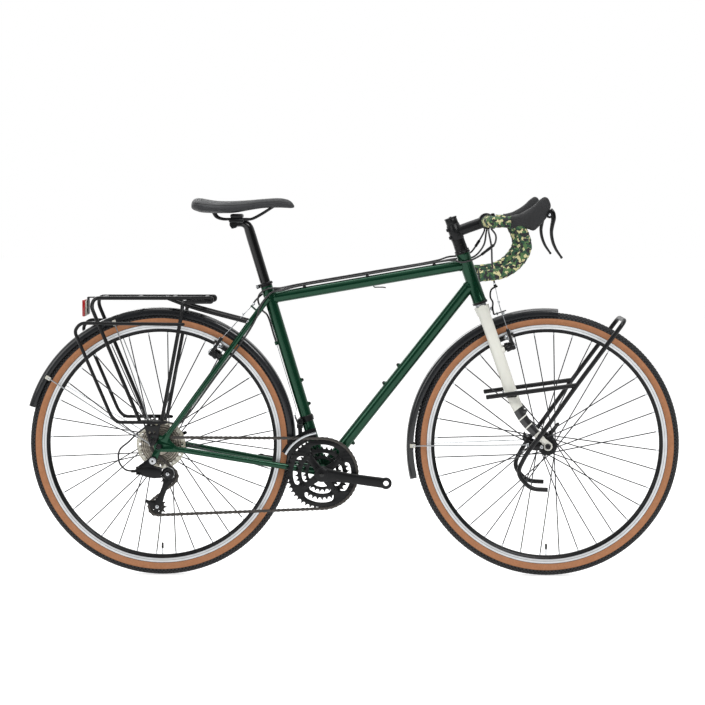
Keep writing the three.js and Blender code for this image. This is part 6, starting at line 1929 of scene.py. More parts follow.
def buildCassette():
    cogs = []
    for i, teeth in enumerate(drive["cogTeeth"]):
        outline = toothedOutline(rearAxle, teeth, phaseOn(1, rearAxle))
        radius = pitchRadius(teeth)
        holes = [disc(rearAxle.x, rearAxle.z, 14, 28)]
        if teeth >= 21:
            holes += holesRound(rearAxle, 7, radius * 0.66, radius * 0.13, 14)
        cogs.append(
            plate("cog", outline, cogSide + i * drive["cogSpacing"], drive["toothThickness"], holes, 0.25)
        )
    carrier = turned(
        "carrier", atSide(rearAxle, cogSide - 2), sideAxis, straight(drive["cogLine"] - 23, 15.4), 40
    )
    stations = [(0, 9), (0, 13.4), (0.6, 14.2), (1.8, 14.2)]
    lockring = turned("lockring", atSide(rearAxle, cogSide - 3.2), sideAxis, stations, 40)
    gather(
        "cogStack", "cassette", "steel", cogSteel, [*cogs, carrier, lockring], "cassette", smoothAngle=30
    )
    side = cogSide + drive["cogSpacing"] * (len(drive["cogTeeth"]) - 1) + fitGap
    side += (drive["toothThickness"] + drive["protectorThickness"]) / 2
    rim = disc(rearAxle.x, rearAxle.z, drive["protectorRadius"], 72)
    holes = [disc(rearAxle.x, rearAxle.z, 24, 36), *holesRound(rearAxle, 12, 55, 3.6, 16)]
    guard = plate("spokeProtector", rim, side, drive["protectorThickness"], holes, 0.4)
    profile = [(62.5, -1.5), (64.5, -1.4), (64.7, 0), (64.5, 1), (62.5, 1)]
    lip = ringed("protectorLip", atSide(rearAxle, side), profile, 72)
    gather(
        "spokeProtector", "rear_wheel", "clear_plastic", protectorPlastic, [guard, lip], "spoke_protector"
    )
    for name, centre, which in (("Guide", guideCentre, 2), ("Tension", tensionCentre, 3)):
        outline = toothedOutline(centre, drive["pulleyTeeth"], phaseOn(which, centre))
        holes = [disc(centre.x, centre.z, 3.5, 20), *holesRound(centre, 5, 11, 2.4, 12)]
        wheel = plate("pulley", outline, cogSide, 2.2, holes, 0.4)
        profile = [(3.4, -3.4), (7, -3.4), (7, 3.4), (3.4, 3.4)]
        hub = ringed("pulleyHub", atSide(centre, cogSide), profile, 28, edge=0.4)
        gather(
            "pulley" + name, "pulley_" + name.lower(), "pulley_plastic", blackPlastic, [wheel, hub],
            "pulley_" + name.lower()
        )


# Cranks, chainrings and their bolts
cranks = {
    "length": 170,
    "angle": -7.6,
    "eyeRadius": 15.2,
    "eyeHole": 7.1,
    "thickness": 13,
    "rightInner": 64,
    "leftInner": 60,
    "splay": 8,
    "boltCircle": 52,
    "armCount": 4,
    "spiderPlaces": ((8, -63), (26, -61), (40, -59.4), (60, -58.8)),
}


def buildCrank(hand, inner):
    eye = aim(cranks["angle"]) * (-hand * cranks["length"])
    middle = inner + cranks["thickness"] / 2
    route = [(0.02, 0), (0.2, 0.2), (0.45, 0.62), (0.75, 0.97), (1, 1)]
    path = smoothPath(
        [
            atSide(between(bracket, eye, share), hand * (middle + cranks["splay"] * splay))
            for share, splay in route
        ], 8
    )
    half = cranks["thickness"] / 2

    def armSizes(share):
        return [half * (1 - 0.1 * share), max(19 - 13 * share, 12.4 + 1.4 * share)]

    arm = swept("crankArm", path, armSizes, softBox(3.4, 40))
    boss = turned(
        "crankBoss", at(0, hand * inner, 0), sideAxis * hand,
        [(0, 19), (1, 20.5), (10, 20.5), (13, 18), (14.2, 15)], 48
    )
    outer = hand * (middle + cranks["splay"])
    face = atSide(eye, outer - hand * half)
    ring = turned("crankEye", face, sideAxis * hand, blunt(cranks["thickness"], cranks["eyeRadius"]), 40)
    liner = ringed("eyeLiner", atSide(eye, outer), [(7.05, -6.3), (9.4, -6.6), (9.4, 6.8), (7.05, 6.6)], 36)
    cap = turned(
        "crankCap", at(0, hand * (inner + 13.6), 0), sideAxis * hand, [(0, 14.6), (1.2, 14.6), (1.8, 13.6)],
        36
    )
    capBolt = bolt("crankBolt", at(0, hand * (inner + 15), 0), sideAxis * hand, 6.5, 1.6, glossBlack)
    return [arm, boss, ring], [painted(liner, satinBlack)], [painted(cap, satinBlack), capBolt]


def openEye(piece, eye):
    bpy.ops.mesh.primitive_cylinder_add(
        vertices=40, radius=cranks["eyeHole"] * millimetre, depth=0.06, location=eye * millimetre,
        rotation=(math.pi / 2, 0, 0)
    )
    cutter = bpy.context.object
    activate(piece)
    hole = piece.modifiers.new("hole", "BOOLEAN")
    hole.object = cutter
    hole.operation = "DIFFERENCE"
    bpy.ops.object.modifier_apply(modifier="hole")
    bpy.data.objects.remove(cutter)
    return piece


def buildCranks():
    for name, hand, inner in (("Right", -1, cranks["rightInner"]), ("Left", 1, cranks["leftInner"])):
        arms, liner, cap = buildCrank(hand, inner)
        eye = aim(cranks["angle"]) * (-hand * cranks["length"])
        eye = atSide(eye, hand * (inner + cranks["thickness"] / 2 + cranks["splay"]))
        arms = [openEye(arms[0], eye), arms[1], openEye(arms[2], eye)]
        gather(
            "crank" + name, "cranks", "black_alloy", satinBlack, arms, "crank_" + name.lower(),
            smoothAngle=50
        )
        gather(
            "crankFittings" + name, "cranks", "wheel_alloy", silverAlloy, liner + cap,
            "crank_" + name.lower()
        )
    rings = []
    for i, (teeth, (inner, tabHeight, thickness)) in enumerate(zip(drive["ringTeeth"], ringShapes)):
        outline = toothedOutline(bracket, teeth, 0 if i else phaseOn(0, bracket))
        loop = []
        for k in range(96):
            turn = 2 * math.pi * k / 96
            tab = max(math.cos(cranks["armCount"] * (turn - math.radians(cranks["angle"] + 45))), 0) ** 4
            reach = inner - tab * tabHeight
            loop.append((math.cos(turn) * reach, math.sin(turn) * reach))
        rings.append(
            plate("chainring", outline, ringSide + i * drive["ringSpacing"], thickness, [loop], 0.35)
        )
    gather("chainrings", "cranks", "black_alloy", satinBlack, rings, "crank_right", smoothAngle=30)
    spider, bolts = [], []
    for k in range(cranks["armCount"]):
        angle = cranks["angle"] + (k + 0.5) * 360 / cranks["armCount"]
        path = smoothPath([atSide(aim(angle) * reach, side) for reach, side in cranks["spiderPlaces"]], 5)
        spider.append(swept("spiderArm", path, mix((4, 11), (2.4, 7.5)), softBox(3.2, 28)))
        foot = atSide(aim(angle) * cranks["boltCircle"] * 1.08, -58.5)
        spider.append(turned("spiderEnd", foot, sideAxis, [(-2.6, 7.6), (-2, 8.4), (2, 8.4)], 28))
        bolts.append(bolt("ringBolt", along(foot, sideAxis, -2.4), -sideAxis, 5, 1.8, satinBlack))
        spider.append(turned("ringSpacer", along(foot, sideAxis, 2), sideAxis, straight(12, 5), 20))
        inner = atSide(aim(angle) * 34, -50)
        spider.append(turned("ringSpacer", inner, sideAxis, straight(15, 4.4, -4), 20))
    gather("spider", "cranks", "black_alloy", satinBlack, spider, "crank_right", smoothAngle=50)
    gather("ringBolts", "cranks", "wheel_alloy", silverAlloy, bolts, "crank_right")


buildWheels()
buildChain()
buildCassette()
buildCranks()
print("wheels and transmission ready:", linkCount, "links")


# Rear gear mechanism: mount, link, knuckle and cage
changer = {
    "mountThickness": 6,
    "mountRadius": 11.7,
    "linkBack": 51,
    "linkDrop": 63,
    "linkHeight": 6,
    "linkSizes": [(5, 10), (6, 15.5), (6.6, 17), (6, 13.5)],
    "knuckleRadius": 17,
    "knuckleWidth": 18,
    "cageClearance": 4.6,
    "cageThickness": 1.6,
    "cageEnd": 12,
    "cageWaist": 7.4,
    "tailReach": 32,
    "arcAngles": (98, 152),
    "arcGap": 4.5,
    "arcDepth": 17,
    "plateSpan": 11.5,
    "pivotAngle": 119,
    "bandRise": 147,
    "armRise": 27,
}
mountFoot = fromRear(-17, -38, -rearEnd - layout["endThickness"] - fitGap - changer["mountThickness"] / 2)
linkFoot = fromRear(-changer["linkBack"], -changer["linkDrop"], cogSide - changer["cageClearance"] * 4)
linkHead = atSide(guideCentre + at(-1.4, 0, 9), linkFoot.y)


def buildRearChanger():
    height, radius = changer["linkHeight"], changer["mountRadius"]
    outline = armOutline(mountFoot, linkFoot, radius, radius)
    arm = plate("mountArm", outline, mountFoot.y, changer["mountThickness"], [], 1)
    forks = []
    for level in (-1, 1):
        foot = at(linkFoot.x - 3, (mountFoot.y + linkFoot.y) / 2 - 4, linkFoot.z + level * (height + 2.6))
        forks.append(boxed("mountFork", foot, (13, 16, 3.6), 0, 1.2))
    boltHead = turned(
        "mountBolt", along(mountFoot, sideAxis, -9.2), sideAxis, [(0, 6.4), (0.8, 7.2), (6, 7.4), (6.2, 9)],
        32
    )
    # The bolt's socket is a near-black hexagon of painted shade
    socket = turned("mountSocket", along(mountFoot, sideAxis, -9.3), sideAxis, [(0, 3), (0.6, 3)], 6)
    barrel = turned(
        "cordStop", fromRear(-68, -65, -79), foreAxis, [(-6, 3.4), (-5, 4), (5, 4), (7, 2.6)], 20
    )
    gather("changerMount", "frame", "black_alloy", satinBlack, [arm, *forks, barrel], "changer_mount")
    gather(
        "changerMountBolt", "frame", "wheel_alloy", silverAlloy, [boltHead, painted(socket, socketShade)],
        "changer_mount"
    )

    end = at(linkHead.x - changer["knuckleRadius"] + 1, 0, linkHead.z + 2.4)
    bulge = atSide(between(linkFoot, end, 0.5), linkFoot.y - 0.8)
    route = smoothPath([along(linkFoot, foreAxis, -3), bulge, atSide(end, linkFoot.y)], 8)
    outer = swept("linkOuter", route, stops(changer["linkSizes"], 1, 1), softBox(2.8, 32))
    pins = []
    for share in (0.1, 0.9):
        foot = along(atSide(between(linkFoot, end, share), linkFoot.y), upAxis, -height * 0.99)
        pins.append(turned("linkPin", foot, upAxis, blunt(height * 2 - 0.2, 2.4, 0.3, 0.4), 16))
    pinch = bolt("cordPinch", atSide(between(linkFoot, end, 0.55), linkFoot.y - 4.6), -sideAxis, 3.6, 2.2)
    gather(
        "changerLink", "changer_link", "changer_alloy", satinBlack,
        [outer, *[painted(pin, silverAlloy) for pin in pins], pinch], "changer_link", smoothAngle=45
    )

    inner = cogSide - changer["cageClearance"] - changer["cageThickness"] / 2 - fitGap
    radius, width = changer["knuckleRadius"], changer["knuckleWidth"]
    stations = [(0, radius - 1.5), (1, radius - 0.5), (width * 0.6, radius - 0.4)]
    stations += [(width * 0.85, radius * 0.86), (width - 0.4, radius * 0.74)]
    body = turned("knuckle", atSide(linkHead, inner), -sideAxis, stations, 48)
    ring = turned(
        "knuckleBand", atSide(linkHead, inner - 3), -sideAxis, blunt(2, radius - 0.1, 0.4, 0.5), 48
    )
    cap = turned(
        "knuckleCap", atSide(linkHead, inner - width + 0.8), -sideAxis, [(0, 8.4), (0.5, 8.8), (1, 8)], 32
    )
    screw = bolt("knuckleBolt", atSide(linkHead, inner - width), -sideAxis, 4.4, 1.4)
    gather(
        "changerKnuckle", "changer_knuckle", "black_alloy", satinBlack,
        [body, painted(ring, silverAlloy), painted(cap, glossBlack), screw], "changer_knuckle",
        smoothAngle=45
    )

    ahead = (tensionCentre - guideCentre).normalized()
    across = at(-ahead.z, 0, ahead.x)
    windowLow = between(guideCentre, tensionCentre, 0.36)
    windowHigh = between(guideCentre, tensionCentre, 0.64)
    plates = []
    for hand in (-1, 1):
        ends = armOutline(guideCentre, tensionCentre, changer["cageEnd"] - 0.4, changer["cageEnd"] - 0.8)
        waist = []
        for middle, side in ((windowHigh, 1), (windowLow, 1), (windowLow, -1), (windowHigh, -1)):
            point = along(middle, across, side * changer["cageWaist"])
            waist.append((point.x, point.z))
        half = len(ends) // 2
        outline = [*ends[:half], *waist[:2], *ends[half:], *waist[2:]]
        side = cogSide + hand * changer["cageClearance"]
        plates.append(plate("cagePlate", outline, side, changer["cageThickness"], [], 0.4))
    tailEnd = along(along(tensionCentre, across, -changer["tailReach"]), ahead, -changer["cageEnd"] / 3)
    outside, span = cogSide - changer["cageClearance"], changer["cageClearance"] * 2
    tail = plate(
        "cageTail", armOutline(tensionCentre, tailEnd, changer["cageEnd"] - 0.6, 4), outside, 1.5, [], 0.4
    )
    screws = []
    for centre in (guideCentre, tensionCentre):
        screws.append(turned("pulleyAxle", atSide(centre, outside), sideAxis, straight(span, 2.5), 20))
        screws.append(bolt("pulleyBolt", atSide(centre, outside - 0.8), -sideAxis, 4.4, 1.4))
        screws.append(
            turned("pulleyNut", atSide(centre, outside + span + 0.7), sideAxis, [(0, 4.4), (1.4, 4.2)], 24)
        )
    gather("changerCage", "changer_cage", "black_alloy", satinBlack, [*plates, tail], "changer_cage")
    gather("pulleyBolts", "changer_cage", "wheel_alloy", silverAlloy, screws, "changer_cage")


# Front gear mechanism: two arc plates joined by bridges, on a clamp round the seat tube
ringTip = pitchRadius(drive["ringTeeth"][0]) + drive["toothRise"] + changer["arcGap"]
changerTop = ringTip + drive["rollerHalf"] + changer["arcDepth"]
pivotSide = -tubes["seatRadius"] * 2 - 12
changerPivot = wheelPoint(bracket, changer["pivotAngle"], changerTop, pivotSide) + at(0, 0, 18)
changerArmTop = changerPivot + at(-12, 6, changer["armRise"])


def arcOutline(inner, outer, grow=0.0):
    low, high = changer["arcAngles"]
    angles = [low + (high - low) * i / 24 for i in range(25)]
    inside = [wheelPoint(bracket, angle, inner) for angle in angles]
    outside = [
        wheelPoint(bracket, angle, outer + grow * math.sin(math.pi * i / 24))
        for i, angle in enumerate(angles)
    ]
    return [(point.x, point.z) for point in inside + outside[::-1]]


def buildFrontChanger():
    side, span = ringSide, changer["plateSpan"] / 2
    outerPlate = plate("arcOuter", arcOutline(ringTip + 5.5, ringTip + 11), side - span, 1.7, [], 0.5)
    painted(outerPlate, silverAlloy)
    innerPlate = plate(
        "arcInner", arcOutline(ringTip - changer["arcDepth"] / 2, changerTop - 0.6), side + span, 1.7, [],
        0.5
    )
    bridges = []
    for angle, radius, length in (
        (100.5, ringTip + 11, 8), (150, ringTip + 11, 8), (125, changerTop - 1.8, 22)
    ):
        sizes = (length, changer["plateSpan"] - 0.4, 1.8)
        bridges.append(
            boxed(
                "arcBridge", wheelPoint(bracket, angle, radius, side), sizes, math.radians(angle - 90), 0.5
            )
        )
    lever = rod("pullArm", [along(changerPivot, foreAxis, -2.4), along(changerArmTop, upAxis, -3)], 2.4, 12)
    foot = wheelPoint(bracket, changer["pivotAngle"], changerTop - 3.6, side + span)
    shoulder = swept(
        "arcArm", [foot, between(foot, changerPivot, 0.6), changerPivot], (5.6, 5.6), softBox(4, 24)
    )
    barrel = turned("pivotBarrel", along(changerPivot, foreAxis, -8), foreAxis, blunt(16, 5.8), 28)
    pinch = bolt("wirePinch", along(changerArmTop, sideAxis, -1.4), -sideAxis, 3.4, 2.2)
    parts = [outerPlate, innerPlate, *bridges, shoulder, lever, barrel, pinch]
    gather("frontChanger", "changer_front", "changer_alloy", satinBlack, parts, "changer_front")
    band = turned("changerBand", onSeat(changer["bandRise"] - 8), seatUp, blunt(16, 18.7, 1, 1.1), 48)
    reach = -changerPivot.y - 12.6
    lugHeight = (changerPivot.z + onSeat(changer["bandRise"]).z) / 2
    lug = boxed("changerLug", at(changerPivot.x, -6 - reach / 2, lugHeight), (15, reach, 19), 0, 3)
    plateTop = boxed("changerCover", at(changerPivot.x, -6 - reach, lugHeight), (13, 3, 16), 0, 1)
    screw = bolt("bandBolt", onSeat(changer["bandRise"], 15.5, 9), sideAxis, 3.6, 3)
    gather("changerBand", "frame", "black_alloy", satinBlack, [band, lug, plateTop, screw], "changer_band")


# Brakes: one arm is modelled for each post, with its hub, pad and pad bolt
brake = {
    "hubLength": 24,
    "hubRadius": 9.3,
    "armRise": 44,
    "armSplay": 22,
    "armThickness": 9,
    "padReach": 305.5,
    "padSide": 16.5,
    "padHalf": 26,
    "yokeSize": (4, 14, 9),
    "wireRadius": 0.9,
    "hangerPlaces": ((-32, 24), (-15, 26.5), (0, 32), (15, 30.5), (33, 40), (36, 58)),
}


def armPlace(axle, up, over, hand, postEnd):
    foot = atSide(
        axle + up * stays["postReach"] + over * (postEnd - brake["hubLength"]), hand * stays["postSide"]
    )

    def onArm(share, side, lift=0.0):
        forward = brake["hubLength"] - brake["armThickness"] / 2 + lift
        return atSide(foot + over * forward + up * (brake["armRise"] * share), hand * side)

    return foot, onArm


def buildBrake(name, body, axle, up, over, hand, postEnd):
    foot, onArm = armPlace(axle, up, over, hand, postEnd)
    top = stays["postSide"] + brake["armSplay"]
    route = smoothPath(
        [onArm(-0.14, 43), onArm(0.16, 43.4), onArm(0.5, 47), onArm(0.78, 56), onArm(1, top)], 8
    )
    arm = swept(
        "brakeArm", route, stops([(7.4, 4.3), (7.2, 4.4), (5.6, 4.3), (4.6, 4.0), (4.6, 3.8)], 1, 1),
        softBox(3.2, 32)
    )
    radius = brake["hubRadius"]
    stations = [(0, radius - 1), (0.8, radius), (8, radius), (9, radius - 1)]
    stations += [(15, radius - 1), (16, radius), (23, radius - 0.4), (24, radius - 1.4)]
    hub = turned("brakeHub", foot, over, stations, 36)
    head = turned("armEnd", onArm(1, top, -4.4), over, blunt(8.8, 6.2, 0.8, 0.6), 28)
    lean = math.asin((postEnd - brake["hubLength"] * 0.75) / brake["padReach"])
    radial = up * math.cos(lean) + over * math.sin(lean)
    tangent = at(radial.z, 0, -radial.x)
    pad = atSide(axle + radial * brake["padReach"], hand * brake["padSide"])
    ends = [along(pad, tangent, -brake["padHalf"]), along(pad, tangent, brake["padHalf"])]

    def padSizes(share):
        return [3.9, 5.2 - 1.2 * abs(share * 2 - 1) ** 6]

    route = smoothPath([ends[0], along(pad, radial, -0.3), ends[1]], 8)
    block = swept("padBlock", route, padSizes, softBox(5, 28))
    back = along(pad, sideAxis, hand * 3.2)
    holder = swept(
        "padHolder", [along(back, tangent, -15), along(back, tangent, 15)], (1.6, 4.4), softBox(3, 24)
    )
    hold = onArm(0.6, stays["postSide"] + 3)
    link = rod("padBolt", [along(pad, sideAxis, hand * 3), between(pad, hold, 0.5), hold], 3.4, 16)
    washers = turned(
        "padWasher", between(pad, hold, 0.45), (hold - pad).normalized(), [(0, 7), (2, 7.4), (4, 6)], 24
    )
    nut = bolt("padNut", onArm(0.52, 48.6, 3.8), over, 5.6, 3.2)
    screw = bolt("armBolt", onArm(1, top, 4), over, 3.8, 2)
    pivotBolt = turned("pivotCap", along(foot, over, 23.4), over, [(0, 6.6), (1, 6.4), (1.4, 5.2)], 24)
    gather(
        name, body, "black_alloy", satinBlack, [arm, hub, head, holder, painted(block, padRubber)], body,
        smoothAngle=45
    )
    gather(name + "Bolts", body, "wheel_alloy", silverAlloy, [link, washers, nut, screw, pivotBolt], body)
    return onArm(1, top)


frontPostEnd = fork["postForward"] - layout["forkRake"]
frontYoke = onCrown(-5.4, 46.1)
frontNose = onCrown(35.9, 52.3)
armTops = {}


def buildBrakes():
    for name, hand in hands:
        front, rear = "brake_front_" + name.lower(), "brake_rear_" + name.lower()
        armTops["front", hand] = buildBrake(
            "frontBrake" + name, front, frontAxle, steerUp, steerFore, hand, frontPostEnd
        )
        armTops["rear", hand] = buildBrake(
            "rearBrake" + name, rear, rearAxle, stayUp, stayOver, hand, stays["postBack"]
        )
    route = smoothPath([onCrown(rise, fore) for rise, fore in brake["hangerPlaces"]], 8)
    strap = swept("hangerStrap", route, (7, 2.2), softBox(6, 28))
    tab = swept("hangerTab", [route[0], along(route[0], steerFore, 34)], (7, 1.5), softBox(6, 28))
    seat = turned(
        "hangerSeat", along(frontNose, steerUp, -2), steerUp,
        [(0, 4.6), (4, 4.6), (8, 4), (8, 2.8), (5, 2.8)], 24
    )
    screw = bolt("hangerBolt", along(route[0], steerFore, 8), steerFore, 5, 3.2)
    gather("cordHanger", "steering", "black_alloy", satinBlack, [strap, tab, seat, screw], "cord_hanger")


# Cords: each housing is its own tube, with the bare wire, yoke and straddle wires as separate pieces
cords = {
    "radius": 2.5,
    "adjusterRadius": 3.9,
    "stayOffset": 11.2,
    "bareFrom": (178, -18.75),
    "laneShares": (0.86, 0.5, 0.14),
    "lanes": {"rearBrake": (6, 4.8), "frontShift": (0, 9.4), "rearShift": (-6, 4.8)},
}
barRuns = {
    "rearShift": [
        (10, -60, -19), (23, -45, -38), (19, -30, -62), (-14, -25, -88), (-40, -22.5, -102),
        (-65, -22.5, -108), (-87, -13, -103)
    ],
    "rearBrake": [
        (6, 60, -19), (1, 32, -28), (-6, 15, -63), (-28.5, 20, -92), (-52, 23, -100), (-77, 22, -100),
        (-97, 12, -102)
    ],
    "frontShift": [
        (-2, 76, -19), (-5, 42, -29), (-17, 28, -51), (-28, 26, -68), (-40, 29, -83), (-60, 31, -92),
        (-82, 21, -93), (-102, 6, -95)
    ],
    "frontBrake": [(4, -52, -19), (5, -30, -29), (13, -10, -67), (15, -2, -106), (19, 0, -150)],
}
clusterRuns = {
    "rearBrake": [(26.6, 13, 22), (6.6, 21, 22), (-11.4, 23.5, 17), (-29.4, 14, 4), (-42.4, 4, -10)],
    "frontShift": [
        (26.6, -12, 28), (8.6, -21, 28), (-9.4, -24.5, 25), (-27.4, -16, 11), (-31.4, -6, -7),
        (-21.4, 0, -31)
    ],
    "rearShift": [(28.6, -13, 21), (10.6, -22, 19), (-2.4, -32.5, 11)],
}
seatRun = [(439.7, -20.35), (386, -19.1), (366.3, -18.75)]
stayRun = [
    (0.95, 0.3, 1), (0.88, -0.5, 0.9), (0.78, -1, 0.2), (0.45, -1, 0), (0.16, -1, 0), (0.09, -0.5, -0.9)
]
axleRun = [
    (20, -58, 62), (-5, -59, 62), (-25, -59.5, 57), (-43, -59.5, 45), (-62, -60, 30), (-80, -66, 12),
    (-104, -76, -10), (-105, -80, -40), (-88, -80, -61), (-66, -79, -65)
]


def laneOf(name):
    side, rise = cords["lanes"][name]
    places = [along(topTubeSeat, topTubeDirection, topTubeLength * share) for share in cords["laneShares"]]
    return [atSide(along(place, topTubeOver, tubes["topRadius"] + rise), side) for place in places]


def fromBars(name):
    return [fromBar(x, z, side) for x, side, z in barRuns[name]]


def fromCluster(name):
    return [at(topTubeSeat.x + x, side, topTubeSeat.z + z) for x, side, z in clusterRuns[name]]


def buildHousing(name, node, points):
    route = smoothPath(points, 7)
    length = sum((after - before).length for before, after in zip(route, route[1:]))
    print(name, "is", round(length), "mm long")
    tube = rod(name, route, cords["radius"], 16)
    return gather(name, "steering", "cord_cover", cordCover, [tube], node, smoothAngle=60)


# A piece that bends between two bodies is untied from the one it was gathered on
def bending(piece, a, start, end):
    piece.parent = None
    if "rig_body" in piece:
        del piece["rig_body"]
    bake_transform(piece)
    return piece


def buildStraddle(name, node, holderBody, armBodies, yoke, over, key):
    turn = math.atan2(over.z, over.x)
    yokeBlock = boxed("yoke", yoke, brake["yokeSize"], turn, 1)
    pinch = bolt("yokeBolt", along(yoke, over, 2), over, 3.4, 2)
    gather(name + "Yoke", holderBody, "wheel_alloy", silverAlloy, [yokeBlock, pinch], node)
    for side, hand in hands:
        arm = armBodies + side.lower()
        start, end = along(yoke, sideAxis, hand * 4), armTops[key, hand] - sideAxis * (hand * 7.85)
        wire = rod(
            "straddle", smoothPath([start, between(start, end, 0.5), end], 6), brake["wireRadius"], 8
        )
        wire = gather(name + "Straddle" + side, arm, "cord_cover", cordWire, [wire], node, smoothAngle=60)
        bending(wire, holderBody, start, end)


def buildCords():
    frontSeat, rearSeat = along(frontNose, steerUp, 4.1), along(rearNose, stayUp, 4.1)
    # The steering turns, so each long housing bends between the bar and the top tube's first guide
    bendStart, bendEnd = {}, {}
    for name in ("rearShift", "rearBrake", "frontShift"):
        bar, lane = fromBars(name), laneOf(name)
        bendStart[name], bendEnd[name] = bar[2], lane[0]
    stopTop = onSeat(*seatRun[-1])
    seatEnd = [onSeat(rise, fore) for rise, fore in seatRun]
    off = cords["stayOffset"]
    stayEnd = [onStay(share, over * off, -staySideAt(share) - out * off) for share, over, out in stayRun]
    stayEnd += [fromRear(x, z, side) for x, side, z in axleRun]

    def overTop(name, end):
        return [*fromBars(name), *laneOf(name), *fromCluster(name), *end]

    buildHousing("frontBrakeCord", "cord_brake_front", [*fromBars("frontBrake"), frontSeat])
    rearBrake = buildHousing("rearBrakeCord", "cord_brake_rear", overTop("rearBrake", [rearSeat]))
    frontShift = buildHousing("frontShiftCord", "cord_shift_front", overTop("frontShift", seatEnd))
    rearShift = buildHousing("rearShiftCord", "cord_shift_rear", overTop("rearShift", stayEnd))
    for piece, name in ((rearBrake, "rearBrake"), (frontShift, "frontShift"), (rearShift, "rearShift")):
        bending(piece, "steering", bendStart[name], bendEnd[name])
    for name, node in (("rearShift", "cord_shift_rear"), ("frontShift", "cord_shift_front")):
        start, end = fromBars(name)[2:4]
        direction = (end - start).normalized()
        length = (end - start).length
        wide = cords["adjusterRadius"]
        stations = [(0, 2.8), (1, wide), (length * 0.6, wide), (length * 0.62, 3.2), (length * 0.66, 3.2)]
        stations += [(length * 0.68, wide - 0.1), (length - 1, wide - 0.1), (length, 2.8)]
        barrel = turned("adjuster", start, direction, stations, 24)
        piece = gather(name + "Adjuster", "steering", "black_alloy", satinBlack, [barrel], node)
        bending(piece, "steering", bendStart[name], bendEnd[name])
    for key, body, seat, up, over, yoke in (
        ("front", "steering", frontSeat, steerUp, steerFore, frontYoke),
        ("rear", "frame", rearSeat, stayUp, stayOver, rearYoke),
    ):
        node = "cord_brake_" + key
        cap = turned("cordEnd", seat, -up, [(-7, 3.1), (-1, 3.1), (0, 2.4)], 16)
        gather(key + "CordEnd", body, "wheel_alloy", silverAlloy, [cap], node)
        wire = rod("pullWire", [seat, yoke], brake["wireRadius"], 8)
        gather(key + "BrakeWire", body, "cord_cover", cordWire, [wire], node, smoothAngle=60)
        buildStraddle(key + "Brake", node, body, "brake_" + key + "_", yoke, over, key)
    bareStart, bareEnd = onSeat(*cords["bareFrom"]), along(changerArmTop, upAxis, 3.6)
    wire = rod("shiftWire", [stopTop, bareStart, bareEnd], brake["wireRadius"], 8)
    wire = gather(
        "frontShiftWire", "frame", "cord_cover", cordWire, [wire], "cord_shift_front", smoothAngle=60
    )
    bending(wire, "frame", bareStart, bareEnd)


buildRearChanger()
buildFrontChanger()
buildBrakes()
buildCords()
print("gear mechanisms, brakes and cords ready")


# Mudguards: a thin arched strip over each wheel, held by wire stays with pale clips
guards = {
    "half": 24,
    "depth": 19.5,
    "thickness": 1.6,
    "stayRadius": 1.7,
    "staySide": 24.7,
    "front": {"start": 85.6, "end": 194.3, "radius": 360, "growth": 14},
    "rear": {"start": -11, "end": 163.8, "radius": 356.5, "growth": 10},
    "frontClip": (-353, -3),
    "frontEye": (-54, 5, 63.8),
    "rearClips": [(-297, 174.5), (-120.8, 320.3)],
    "rearEyes": [(-22.7, 5, 71.6), (-11.2, 22, 71.6)],
}
guardProfile = [
    (-1, 1), (-0.82, 1), (-0.55, 0.985), (-0.32, 0.93), (-0.14, 0.8), (-0.04, 0.56), (0, 0.28), (0, 0)
]


def guardSection(thickness):
    half, depth = guards["half"], guards["depth"]
    outer = [(rise * depth, -side * half) for rise, side in guardProfile]
    outer += [(rise * depth, side * half) for rise, side in reversed(guardProfile[:-1])]
    inner = []
    for i, (rise, side) in enumerate(outer):
        before, after = outer[max(i - 1, 0)], outer[min(i + 1, len(outer) - 1)]
        slopeRise, slopeSide = after[0] - before[0], after[1] - before[1]
        length = math.hypot(slopeRise, slopeSide)
        inner.append((rise - slopeSide / length * thickness, side + slopeRise / length * thickness))
    return outer + inner[::-1]


def guardStrip(name, axle, sizes, spans=72):
    section = guardSection(guards["thickness"])
    rings = []
    for i in range(spans + 1):
        share = i / spans
        angle = sizes["start"] + (sizes["end"] - sizes["start"]) * share
        radius = sizes["radius"] + sizes["growth"] * share
        rings.append([wheelPoint(axle, angle, radius + rise, side) for rise, side in section])
    return skinned(name, rings)


def guardStay(axle, clip, eye, hand):
    start = at(axle.x + clip[0], hand * guards["staySide"], axle.z + clip[1])
    end = at(axle.x + eye[0], hand * eye[2], axle.z + eye[1])
    stay = rod("guardStay", [start, end], guards["stayRadius"], 10)
    radial = at(clip[0], 0, clip[1]).normalized()
    turn = math.atan2(radial.z, radial.x)
    clipBlock = boxed(
        "stayClip", along(along(start, sideAxis, -hand * 0.2), radial, 2), (15, 4.6, 10), turn, 1.4
    )
    screw = bolt("clipBolt", along(start, sideAxis, hand * 2), sideAxis * hand, 2.8, 1.6)
    eyeRing = turned(
        "stayEye", along(end, sideAxis, -hand * 1.8), sideAxis * hand, blunt(3.6, 4.4, 0.4, 0.4), 20
    )
    eyeBolt = bolt("stayEyeBolt", along(end, sideAxis, hand * 1.8), sideAxis * hand, 4, 2)
    return [stay, eyeRing], clipBlock, [screw, eyeBolt]


